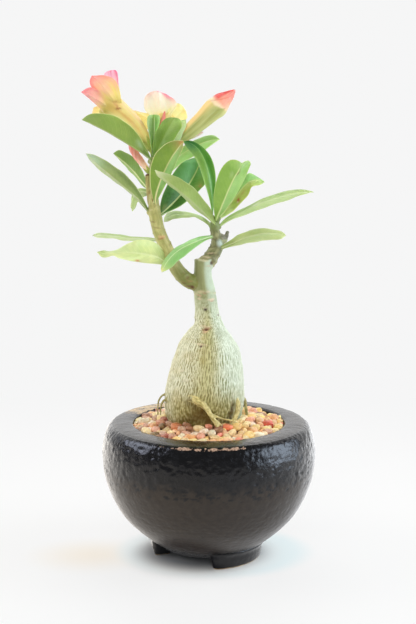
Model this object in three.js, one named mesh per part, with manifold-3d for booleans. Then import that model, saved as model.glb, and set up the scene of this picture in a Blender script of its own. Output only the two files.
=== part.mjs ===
// Potted desert rose (Adenium) in a squat stoneware bowl.
// Millimetres, +Z up. While the pieces are built, x = y = 0 is the bowl's turning
// axis and z = 0 is the plane of the feet. At the end the whole group is moved so
// that the origin is the bottom centre of the object's bounding box.
import * as THREE from 'three';
import { mergeVertices } from 'three/addons/utils/BufferGeometryUtils.js';
import Module from 'manifold-3d';

const wasm = await Module();
wasm.setup();

// ---------------------------------------------------------------- dimensions
const GAP = 0.3;                 // clearance between pieces that touch
const TIDY = 0.02;               // faces smaller than this are merged after a cut
const POT_SIDES = 38;            // facets round the bowl
const DRAIN_R = 6;               // drain hole radius
const FOOT_OUT = 37.7;           // foot ring outer radius
const FOOT_IN = 28.5;            // foot ring inner radius
const FOOT_TOP = 11;             // feet run up into the bowl to this height
const FEET = [[2, 80], [-146, -78], [122, 172]]; // start and end azimuth, degrees from -Y towards +X
const LEAF_T = 0.9;              // leaf thickness
const PETAL_T = 0.7;             // petal and corolla wall thickness
const SOIL_TOP = 86;             // top of the potting soil
const BED_RIM = 94.6;            // gravel level beside the rim
const BED_MOUND = 98.6;          // gravel level against the caudex
const BED_R = 53.2;              // gravel bed radius at its top

// Outer profile of the bowl, [radius, height], from the underside to the rim's inner edge.
const POT_OUT = [[33.5, 7.6], [35.8, 8.4], [43.1, 14], [52.5, 22], [61.7, 32], [68.6, 44], [73.7, 58],
  [75.3, 70], [74.8, 80], [72.6, 88], [70.2, 93.2], [68.4, 95.6], [66.2, 96.5], [60, 96.9], [54.6, 96.7]];
// Inner profile, from under the rim's inner edge down to the drain hole.
const POT_IN = [[53.6, 95.6], [54.6, 93.6], [58, 90.4], [62.4, 86], [65.4, 80], [66.6, 70], [65.1, 58],
  [60.2, 45], [53.6, 34], [44, 25], [33, 18.8], [20, 16.4], [DRAIN_R, 16]];

// Swollen base and trunk up to the flat cut, [x, y, z, radius].
const CAUDEX = [[-3.73, 0, 78.19, 19], [-3.73, 0, 85.52, 23.2], [-3.72, 0, 92.83, 25.2], [-3.72, 0, 100.84, 26.7], [-3.57, 0, 108.11, 27.6], [-2.86, 0, 115.35, 27.9], [-2.15, 0, 124.02, 27.2], [-1.45, 0, 133.17, 25.7], [-0.81, 0, 142.28, 23.7], [-0.67, 0, 151.3, 20.6], [-0.6, 0, 159.49, 15.3], [-0.39, 0, 165.96, 10.4], [-1.09, 0, 171.43, 8.9], [-1.72, 0, 178.64, 7.95], [-2.55, 0, 185.84, 7.8], [-3.53, 0, 193.09, 7.2], [-4.08, 0, 199.41, 6.2], [-4.22, 0, 205.71, 5.95], [-4.14, 0, 211.79, 5.95]];
// Grown branches and the dead stubs on them, [x, y, z, radius].
const BRANCHES = {
  branch_left: [[-4.08, 0, 193.09, 4.6], [-9.65, -1, 194.98, 5.1], [-15.19, -2, 197.91, 5.2], [-20.35, -3, 202.92, 5], [-24.12, -3.5, 208.9, 4.7], [-27.66, -4, 216.94, 4.5], [-31.62, -4, 224.55, 4.5], [-34.15, -3.5, 231.07, 4.4], [-35.99, -3, 237.92, 4.35], [-37.36, -2, 244.73, 4.2], [-37.91, -1, 251.53, 3.6], [-38.1, 0, 259.71, 3.2], [-38.14, 0.5, 267.9, 3], [-37.97, 1, 275.39, 2.8], [-37.67, 1.5, 281.51, 2.3]],
  twig_cut: [[-37.82, -1, 244.66, 2.6], [-40.42, -0.5, 250.82, 1.9], [-41.49, 0, 257.65, 1.7], [-42.07, 0.3, 264.49, 1.55], [-42.38, 0.5, 270.63, 1.5]],
  branch_right: [[-4.08, 1, 206.99, 4.4], [-0.6, 2.5, 210.68, 5], [2.53, 3, 214.82, 4.9], [5.32, 3, 219.37, 4.7], [6.01, 3, 223.55, 4.3], [4.96, 3, 227.73, 3.6], [4.12, 3, 231.91, 3.3], [3.98, 3, 236.07, 3.1], [4.46, 3, 239.54, 2.6]],
  stub_1: [[6.35, 2, 222.95, 2.6], [9.12, 2, 224.69, 1.9], [9.53, 2, 227.82, 1.35], [9.53, 2, 228.66, 1.2]],
  stub_2: [[7.05, 3, 222.16, 2.4], [11.23, 3.5, 224.9, 1.7], [12.33, 3.5, 228.04, 1.2], [13.02, 3.5, 230.75, 1.35]],
};
// Surface roots at the foot of the caudex, [x, y, z, radius].
const ROOTS = {
  root_front: [[-13.97, -24.8, 118.58, 1.6], [-10.85, -27.3, 118.53, 2.4], [-7.43, -28.3, 117.23, 2.35], [-4.01, -28.9, 114.64, 2.1], [-0.94, -29.3, 111.38, 1.9], [1.45, -30, 108.05, 1.75], [3.83, -31.5, 104.43, 1.6], [6.21, -33, 100.61, 1.4]],
  root_front_thin: [[1.11, -29.7, 108.74, 0.9], [4.86, -29.9, 107.32, 0.85], [9.65, -29.3, 105.35, 0.8], [14.46, -28.2, 104.09, 0.75], [18.6, -27, 102.59, 0.75], [22.06, -26.5, 98.94, 0.7]],
  root_front_fork: [[2.81, -31, 105.71, 0.9], [5.88, -31.5, 104.08, 0.8], [8.94, -32.5, 101.19, 0.7]],
  root_right: [[20.54, -16.5, 116.3, 1.3], [21.26, -18.2, 113.86, 2.1], [21.12, -19, 109.8, 2.2], [20.56, -20, 105.79, 2.1], [19.57, -21.5, 101.9, 1.9], [18.36, -23.5, 98.16, 1.5]],
  root_right_back: [[23.87, 2, 113.81, 0.9], [25.65, 2, 111.27, 1.2], [26.09, 2, 107.63, 1.25], [26.58, 1, 103.51, 1.2], [27.07, 0, 98.66, 1]],
  root_left_loop: [[-29.44, -4, 117.57, 0.75], [-32.12, -4, 116.41, 0.75], [-34.37, -4.5, 114.08, 0.75], [-35.57, -5, 111.1, 0.75], [-35.92, -5.5, 107.25, 0.7], [-35.79, -6, 102.32, 0.7]],
  root_left_inner: [[-28.93, -9, 114.91, 0.9], [-31.39, -9, 113.62, 0.9], [-32.94, -9.2, 111.37, 0.9], [-33.64, -9.6, 107.88, 0.85], [-33.86, -10, 103.31, 0.8]],
};

// Leaves, base to tip: m = midrib, a and b = the two edges.
const LEAVES = {
  leaf_left_01: {
    m: [[-39.6, -1, 279.5], [-44.7, -4.9, 283.9], [-50, -8, 288], [-55.6, -10.4, 291.7], [-61.3, -12, 295.2], [-67, -12.7, 298.6], [-72.9, -13, 301.7], [-79, -12.8, 304.7], [-85.2, -12, 307.4]],
    a: [[-39.6, -1, 281.6], [-42.9, -4.9, 288.5], [-46.5, -8, 295.3], [-50.9, -10.4, 301.4], [-56.8, -12, 306.1], [-63.4, -12.7, 309.7], [-70.4, -17.7, 311.5], [-77.9, -19.1, 311.1], [-85.2, -12, 307.4]],
    b: [[-39.7, 0.5, 279.5], [-42.3, -4.9, 286.1], [-47.1, -4.5, 291.5], [-52.6, -4.3, 296.1], [-58.6, -3.7, 300], [-65.3, -2.5, 302.9], [-72.1, -2.6, 305.2], [-78.9, -4, 307.1], [-85.2, -12, 307.4]] },
  leaf_left_02: {
    m: [[-42, -2, 245.1], [-46, -4.8, 251.2], [-50.9, -7, 256.5], [-56.2, -8.8, 261.3], [-61.7, -10, 265.9], [-67.1, -10.7, 270.5], [-72.6, -11, 275.1], [-77.9, -10.8, 279.9], [-83.1, -10, 284.8]],
    a: [[-42, -2, 247.8], [-45, -4.8, 254.5], [-48.5, -7, 260.9], [-52.6, -11.1, 266.8], [-57.6, -14.8, 271.8], [-63.1, -17.3, 276.3], [-68.9, -18.1, 280.2], [-75.4, -17.3, 283.3], [-83.1, -10, 284.8]],
    b: [[-42.1, -1, 244.3], [-46.8, -2.4, 250], [-51.9, -2.3, 255.3], [-57.3, -2, 260.2], [-63.3, -1.8, 264.5], [-69.4, -1.6, 268.7], [-74.8, -2, 273.5], [-80.1, -3.5, 278.5], [-83.1, -10, 284.8]] },
  leaf_left_03: {
    m: [[-41.7, 0.7, 260.7], [-44.9, 6.6, 264.1], [-48.4, 12, 267.2], [-51.3, 16.8, 270.3], [-54.4, 21, 273.4], [-57.6, 24.4, 276.3], [-61, 27, 278.9], [-64.6, 28.8, 281.5], [-67.7, 30, 284.4]],
    a: [[-41.4, 0.7, 263.8], [-43.5, 6.6, 268], [-46.1, 12, 272], [-48.3, 15.3, 276], [-51, 17.3, 279.7], [-54.3, 19.1, 282.8], [-58.5, 21.1, 285], [-63, 23.8, 286.5], [-67.7, 30, 284.4]],
    b: [[-41.7, 1.3, 259.7], [-45.9, 8.4, 262.5], [-49.6, 16.2, 265.5], [-52.7, 23, 268.6], [-56.1, 28.6, 271.5], [-59.5, 33, 274.4], [-62.5, 35.6, 277.7], [-65.4, 35.9, 281], [-67.7, 30, 284.4]] },
  leaf_left_04: {
    m: [[-40.8, 2.3, 257.7], [-44.8, 8.6, 258.2], [-48.6, 14, 257.8], [-51.1, 18.4, 256.7], [-52.9, 22, 254.1], [-53.9, 24.3, 251.4], [-54.5, 26, 248.6], [-54.6, 27.2, 245.8], [-54.5, 28, 243.1]],
    a: [[-40.8, 2.3, 259.4], [-45.1, 8.6, 260.6], [-49.3, 17.3, 260], [-52.5, 23.8, 258.3], [-54.8, 28.7, 255.4], [-55.6, 32, 252.2], [-55.9, 33.6, 248.9], [-55.8, 33.5, 245.7], [-54.5, 28, 243.1]],
    b: [[-40.9, 2.3, 256], [-44.1, 8.6, 254.8], [-46.9, 14, 253.5], [-48.5, 16.2, 252.2], [-49.8, 16.8, 250.6], [-50.9, 17.5, 248.9], [-51.7, 18.9, 246.9], [-52.8, 21.1, 245.1], [-54.5, 28, 243.1]] },
  leaf_left_05: {
    m: [[-34.8, 0.2, 225], [-41.1, 7.6, 225.1], [-47.4, 14, 224.6], [-53.5, 19.5, 224.2], [-59.6, 24, 224.3], [-65.7, 27.4, 224.9], [-71.8, 30, 225.4], [-77.8, 31.8, 225.7], [-83.9, 33, 225.4]],
    a: [[-35.5, 0.2, 226.1], [-41.8, 9.5, 226.1], [-48.2, 18.1, 225.5], [-54.4, 25.4, 225.1], [-60.6, 31.3, 225.3], [-66.8, 35.7, 225.7], [-72.9, 38.1, 226.1], [-78.8, 38.4, 226.6], [-83.9, 33, 225.4]],
    b: [[-34.8, -0.2, 224], [-41.1, 5.7, 223.9], [-47.3, 9.9, 223.8], [-53.3, 13.6, 223.3], [-59.4, 16.7, 223.3], [-65.4, 19.3, 223.9], [-71.4, 21.9, 224.6], [-77.6, 25.4, 224.5], [-83.9, 33, 225.4]] },
  leaf_left_06: {
    m: [[-29.9, -4.2, 209.6], [-34.3, -11.3, 213.6], [-39.2, -17, 216.4], [-45, -21.5, 217.9], [-50.9, -25, 218.6], [-56.9, -27.8, 218.9], [-62.8, -30, 219], [-68.7, -31.7, 218.9], [-74.4, -33, 220.2]],
    a: [[-30.6, -4.2, 215.1], [-33.5, -11.3, 221.5], [-38.3, -17, 226], [-44.6, -21.5, 227.5], [-50.9, -24.7, 226.6], [-57.2, -20.4, 223.4], [-63, -21.3, 220.2], [-69, -24.6, 219.6], [-74.4, -33, 220.2]],
    b: [[-30, -4.2, 208.2], [-35.1, -11.3, 209.3], [-40.5, -17, 210.8], [-46.3, -24.2, 212.4], [-52.1, -30.9, 214], [-57.8, -35.8, 215.8], [-63.3, -38.7, 218.4], [-69.2, -38.5, 217.4], [-74.4, -33, 220.2]] },
  leaf_left_07: {
    m: [[-37, -5.2, 251], [-35.9, -9.7, 257.1], [-34, -14, 263], [-31.8, -18.1, 268.6], [-29.3, -22, 274], [-26.6, -25.3, 279.2], [-23.6, -28, 284.2], [-20.2, -30.2, 288.8], [-16.8, -32, 293.4]],
    a: [[-37.6, -6.3, 251.8], [-39.2, -9.7, 258.7], [-39.7, -14, 265.8], [-39.4, -18.1, 272.9], [-37.9, -22, 279.7], [-34.8, -27.3, 285.9], [-29.6, -33.8, 290.6], [-23.3, -36.9, 293.3], [-16.8, -32, 293.4]],
    b: [[-36, -4.5, 251.7], [-33, -8.8, 257], [-30.1, -10.2, 262.1], [-27.4, -11.8, 267.2], [-24.8, -13.7, 272.3], [-22.4, -15.5, 277.5], [-20.2, -18.1, 282.8], [-17.8, -22, 288], [-16.8, -32, 293.4]] },
  leaf_left_08: {
    m: [[-36.7, -1.6, 278.2], [-35.9, -4.9, 282.4], [-34.7, -8, 286.5], [-33.1, -11.1, 290.5], [-31.2, -14, 294.2], [-29.1, -16.7, 297.9], [-27.1, -19, 301.5], [-25, -20.7, 305.1], [-22.8, -22, 308.6]],
    a: [[-37.3, -2.5, 278.9], [-37.9, -6.4, 283.7], [-37.8, -11.8, 288.4], [-37.3, -16.6, 293.1], [-35.9, -21, 297.6], [-33.6, -25, 301.7], [-30.9, -27.3, 305.6], [-27.2, -27.9, 308.3], [-22.8, -22, 308.6]],
    b: [[-35.3, -1.6, 278.2], [-32.6, -4.9, 282.4], [-29.7, -6.4, 286.2], [-26.5, -7.6, 290], [-23.7, -8.8, 293.9], [-20.9, -10.7, 297.9], [-18.5, -13.8, 302.2], [-18.8, -15.6, 306.8], [-22.8, -22, 308.6]] },
  leaf_left_09: {
    m: [[-40.2, 2.9, 280.1], [-39.3, 3.7, 284], [-38.6, 5, 287.9], [-38.2, 7, 291.7], [-37.8, 9, 295.6], [-37.5, 10.6, 299.4], [-37.5, 12, 303.3], [-37.7, 13.1, 307.2], [-38, 14, 311.1]],
    a: [[-40.5, 1.8, 280.2], [-39.8, 1.4, 284.5], [-39.6, 0.7, 288.7], [-40.2, 1.1, 293], [-41, 2.1, 297.2], [-41.8, 3.4, 301.4], [-42.5, 5.5, 305.7], [-41.9, 8.4, 310], [-38, 14, 311.1]],
    b: [[-39.8, 1.8, 280.2], [-38.6, 1.4, 284.5], [-37.5, 0.6, 288.8], [-36.9, 0.7, 293], [-36, 1.4, 297.2], [-34.9, 2.3, 301.4], [-33.6, 4.4, 305.5], [-33.9, 7.7, 310.1], [-38, 14, 311.1]] },
  leaf_left_10: {
    m: [[-34.8, 0.8, 278.1], [-33.3, 2.3, 281.9], [-31.5, 4, 285.7], [-29, 5.9, 289.4], [-26.5, 8, 293.1], [-24.1, 10.1, 296.9], [-21.5, 12, 300.6], [-18.9, 13.6, 304.3], [-15.9, 15, 307.7]],
    a: [[-35.2, 1.7, 278.7], [-34.9, 3.7, 283.3], [-34, 7.4, 287.6], [-32.1, 11.2, 291.8], [-29.8, 14.8, 295.8], [-27.3, 17.9, 299.8], [-24.3, 19.9, 303.4], [-20.6, 20.3, 306.4], [-15.9, 15, 307.7]],
    b: [[-34.1, 0.1, 277.4], [-31.5, 1.3, 280.5], [-28.6, 1, 283.7], [-25.1, 1.3, 287], [-22, 2, 290.4], [-19.4, 2.9, 294.3], [-17.6, 4.4, 298.6], [-15.9, 7.3, 303], [-15.9, 15, 307.7]] },
  leaf_left_11: {
    m: [[-35.9, 2.9, 262.3], [-32.5, 8.4, 268.2], [-28.7, 13, 273.9], [-24.2, 16.8, 279.2], [-18.7, 20, 283.6], [-12.7, 22.8, 287.3], [-6.2, 25, 290.4], [0.6, 26.7, 292.8], [7.7, 28, 294]],
    a: [[-36.5, 2.9, 264.4], [-33.7, 8.4, 271], [-30.2, 16.1, 277.3], [-25.7, 22.3, 283.1], [-19.9, 27.2, 287.7], [-13.5, 30.8, 291.9], [-6.5, 32.9, 295], [1, 33.1, 296.6], [7.7, 28, 294]],
    b: [[-34.8, 2.9, 261.6], [-30.3, 8.4, 266.3], [-25.9, 10, 271.4], [-21.1, 11.6, 276.1], [-15.6, 13.3, 279.9], [-9.3, 15.5, 282.6], [-3.6, 17.2, 286.3], [1.9, 19.8, 290.3], [7.7, 28, 294]] },
  leaf_left_12: {
    m: [[-34.6, 1.8, 241], [-30, 9.5, 245.3], [-25.3, 16, 249.4], [-20.9, 20.8, 253.8], [-16.8, 25, 258.6], [-13.2, 28.8, 263.7], [-9.9, 32, 269.2], [-7, 34.3, 274.9], [-4.2, 36, 280.8]],
    a: [[-34.7, 3.1, 241.6], [-34.3, 9.5, 248.2], [-32.7, 16, 254.8], [-30, 20.8, 261.1], [-26.9, 25, 267.3], [-23.2, 28.8, 273.4], [-18.2, 32, 278.5], [-11.5, 39.7, 280.6], [-4.2, 36, 280.8]],
    b: [[-34.2, 0.3, 240.7], [-27.9, 7.3, 244.4], [-21, 12.8, 247], [-15.2, 15.6, 251.1], [-9.6, 18.7, 255.5], [-4.3, 22.7, 260.5], [-1.7, 25, 266.9], [-1.8, 26.9, 274.2], [-4.2, 36, 280.8]] },
  leaf_right_01: {
    m: [[1.6, 5.7, 233.8], [-1.3, 10.4, 236.9], [-5.1, 15, 239.2], [-9.5, 19.8, 240.7], [-14.3, 24, 241.2], [-19.2, 27.4, 241.1], [-24.2, 30, 240.6], [-28.8, 31.8, 238.9], [-32.3, 33, 235.2]],
    a: [[1.6, 5.7, 235.2], [-1.5, 11.7, 238.6], [-5.9, 18.8, 240.1], [-10.9, 25.3, 241.3], [-16.1, 30.7, 242.1], [-21.4, 34.7, 242.8], [-26.8, 36.9, 242.6], [-31.1, 37.6, 239.9], [-32.3, 33, 235.2]],
    b: [[1.6, 5.7, 232.4], [-1.4, 9, 235.3], [-4.9, 11.3, 237.7], [-9.2, 14.2, 239.6], [-13.7, 17.2, 239.9], [-18.3, 20.1, 238.9], [-23.1, 22.9, 238.3], [-27.7, 25.9, 237.1], [-32.3, 33, 235.2]] },
  leaf_right_02: {
    m: [[2.7, 1.6, 241.6], [2.5, 0.5, 248.9], [2.2, 0, 256.2], [1.4, 0, 263.7], [0, 0, 271.1], [-2.1, 0.7, 278.2], [-5.3, 2, 285], [-10.4, 3.7, 290.4], [-17.5, 6, 292.9]],
    a: [[2.8, 0.3, 241.7], [3.3, -2.1, 249.7], [4, -4.6, 257.7], [4.7, -6.1, 265.8], [4.1, -7.4, 273.8], [1.8, -7.8, 281.4], [-2.9, -7, 287.8], [-9.4, -3.9, 292.5], [-17.5, 6, 292.9]],
    b: [[2.3, 0.3, 241.7], [1.2, -1.9, 248.5], [-0.2, -4.3, 255.3], [-2.2, -6, 262.1], [-4.2, -7.3, 268.9], [-6.4, -7.6, 275.5], [-9.5, -6, 281.8], [-13.9, -2.5, 287.2], [-17.5, 6, 292.9]] },
  leaf_right_03: {
    m: [[3.5, -0.5, 236.3], [-1, -6.5, 242], [-5.7, -12, 247.3], [-10.6, -17.3, 252.3], [-15.6, -22, 257], [-20.6, -25.9, 261.5], [-25.7, -29, 265.7], [-30.9, -31.3, 269.7], [-35.5, -33, 274.4]],
    a: [[3.5, -0.5, 240.1], [1.4, -6.5, 247.1], [-2.8, -12, 252.8], [-6.9, -17.3, 258.5], [-11.6, -24.3, 263.6], [-16.9, -31.4, 267.7], [-22.8, -35.9, 270.6], [-29, -37.7, 272.7], [-35.5, -33, 274.4]],
    b: [[3.1, 0.6, 235.9], [-1.9, -4.2, 241.1], [-7.5, -8.1, 245.3], [-12.6, -11.4, 250.2], [-17.2, -14.3, 255.3], [-22.1, -17.2, 260.1], [-27.3, -20.4, 264.4], [-32.6, -24.4, 268.7], [-35.5, -33, 274.4]] },
  leaf_right_04: {
    m: [[5.1, 0, 239.8], [7.1, -4.9, 245], [9.2, -9, 250.1], [11.3, -12.2, 255.1], [13.2, -15, 260], [15.3, -17.7, 264.8], [17.5, -20, 269.5], [20.1, -21.7, 274], [22, -23, 278.7]],
    a: [[4.4, -1.2, 239.9], [3.3, -4.9, 246.6], [3.2, -9, 253.5], [3.7, -12.2, 260.1], [5, -15, 266.6], [7.2, -17.7, 272.8], [10.7, -20, 278.2], [16.2, -24.7, 281.3], [22, -23, 278.7]],
    b: [[6.1, -1, 239.8], [10.3, -4.9, 245.3], [14.4, -11, 250.9], [18, -16, 256.5], [21, -20.1, 262.4], [23.8, -23.3, 268.3], [26.4, -23.6, 274.2], [27.9, -21.7, 280.5], [22, -23, 278.7]] },
  leaf_right_05: {
    m: [[7.2, 4.1, 240.2], [10.6, 9.4, 244.1], [14, 14, 248], [17.5, 17.8, 252.1], [21, 21, 256.3], [24.6, 23.7, 260.4], [28.9, 26, 263.9], [34.3, 28.1, 265.2], [39.8, 30, 263.8]],
    a: [[6.9, 5, 240.8], [9.7, 10.6, 246], [13, 17.2, 250.9], [16.7, 22.8, 255.9], [20.5, 27.2, 260.9], [24.1, 30.2, 266.1], [28.8, 31.7, 270.2], [34.8, 34.8, 267.4], [39.8, 30, 263.8]],
    b: [[7.9, 3.4, 239.6], [12.5, 9.4, 241.5], [16.9, 14, 244.1], [20.6, 14.4, 247.8], [24.3, 16, 251.4], [27.6, 17.3, 255.5], [30, 18.3, 260.4], [34.8, 22.2, 261.7], [39.8, 30, 263.8]] },
  leaf_right_06: {
    m: [[7.6, 3, 234.7], [14.2, 5.3, 239.4], [21.6, 7, 243.3], [29.8, 8.3, 246.9], [38, 9, 250.5], [46.4, 8.7, 253.4], [55, 8, 255.9], [63.7, 6.8, 257.5], [72.5, 5, 258.1]],
    a: [[7.6, 3, 236.1], [14, 7, 241.1], [21.4, 11.2, 245.1], [29.7, 14.5, 249], [38.1, 16.6, 252.7], [46.6, 17.2, 255.9], [55.4, 16.4, 258.4], [64.3, 13.8, 259.1], [72.5, 5, 258.1]],
    b: [[7.6, 3, 233.4], [14.2, 3.3, 238], [21.9, 3.1, 241], [30.1, 2.4, 244.5], [38.5, 1.7, 247.5], [46.8, 0.5, 250.2], [55.2, -0.3, 253.1], [63.4, -0.2, 256.2], [72.5, 5, 258.1]] },
  leaf_right_07: {
    m: [[9, -0.6, 219.7], [14.8, -6.8, 222.8], [20.3, -12, 225.7], [25.3, -15.8, 227.9], [30.5, -19, 229.8], [35.7, -21.8, 231.2], [41, -24, 231.7], [46.3, -25.7, 231.5], [51.6, -27, 230.6]],
    a: [[8.7, -0.6, 221.1], [14, -6.8, 225.6], [19.4, -9.4, 229.1], [24.7, -11, 231.7], [30.3, -12.4, 233.6], [36, -13.8, 234.5], [41.8, -15.9, 234.2], [47.3, -19, 233.2], [51.6, -27, 230.6]],
    b: [[9.3, -1, 218.7], [15.2, -8.7, 221.4], [21, -15.6, 223.2], [26, -21.2, 224.9], [31.1, -25.7, 226.4], [36.2, -29.4, 227.5], [41.4, -31.5, 228.1], [46.6, -31.9, 228.7], [51.6, -27, 230.6]] },
  leaf_right_08: {
    m: [[2.3, 0, 227.4], [-3.4, -7.5, 226.4], [-8.7, -14, 225], [-13.5, -19.4, 223.4], [-18.2, -24, 221.5], [-22.4, -27.9, 218.8], [-26, -31, 215.4], [-28.9, -33.3, 211.3], [-31.3, -35, 206.9]],
    a: [[2, 0.4, 228.4], [-4.3, -6.4, 228.5], [-10.1, -10.2, 227.2], [-15.3, -13.2, 225.2], [-20.3, -16.1, 222.7], [-24.8, -18.9, 219.6], [-28.6, -22.2, 215.8], [-31.3, -26.2, 211.3], [-31.3, -35, 206.9]],
    b: [[2.3, -0.7, 226.4], [-3, -9.8, 225.3], [-7.4, -18, 222.9], [-11.5, -25, 220.7], [-15.3, -30.7, 218], [-19.1, -35.6, 215.5], [-22.7, -38.7, 212.5], [-26.6, -40.1, 209.6], [-31.3, -35, 206.9]] },
};

// Corolla and bud tubes, [x, y, z, radius], base to mouth (or tip).
const TUBES = {
  flower_left: [[-39.91, 6, 287.57, 2.1], [-42.36, 7.5, 292.33, 3.2], [-45.88, 9.5, 297.79, 4.3], [-50.1, 11.5, 302.92, 5.4], [-55.03, 13.5, 307.72, 6.2], [-60.63, 15, 312.19, 7], [-66.22, 16, 316.1, 8.2]],
  flower_centre: [[-35.55, 9, 288.21, 2], [-34.2, 10.5, 292.31, 2.9], [-32.87, 12.5, 296.41, 4.2], [-31.55, 14.8, 300.19, 5.5], [-30.58, 17.5, 304.33, 6.8], [-30.31, 20, 307.1, 7.8]],
  bud_right: [[-30.69, 8, 284.8, 1.8], [-26.57, 9.5, 288.55, 2.3], [-21.39, 11, 292.99, 3.4], [-16.2, 12, 297.24, 4.6], [-10.3, 12.5, 302.44, 5.5], [-4.41, 12.5, 307.5, 6.2], [0.78, 12.5, 312.42, 7], [5.28, 12.5, 316.3, 7.4], [9.07, 12.5, 319.77, 6.3], [12.52, 12.5, 322.83, 4.5], [15.48, 12.5, 325.48, 2.7], [17.89, 12.5, 327.58, 0.8]],
  bud_left_small: [[-41.11, 7, 271.78, 1.5], [-43.96, 9, 275.16, 2], [-47.4, 11.5, 279.23, 2.5], [-50.41, 13.5, 282.98, 2.65], [-52.7, 15, 286.55, 2.4], [-54.54, 16, 289.64, 1.7], [-55.74, 16.5, 292.05, 0.5]],
  bud_right_small: [[-26.45, 17, 290.18, 1.1], [-21.94, 18.5, 292.52, 1.4], [-17.41, 19.5, 294.32, 1.65], [-13.21, 20, 295.7, 1.75], [-9.36, 20.5, 297.08, 1.6], [-6.21, 21, 298.19, 1.1], [-4.1, 21, 299.02, 0.4]],
  bud_centre_small: [[-35.46, 3.5, 286.24, 1], [-34.34, 5.5, 292.35, 1.35], [-33.14, 7.5, 299.15, 1.7], [-32.13, 9, 304.61, 1.7], [-31.24, 10, 309.18, 1.3], [-30.48, 10.5, 313.2, 0.4]],
};
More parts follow.
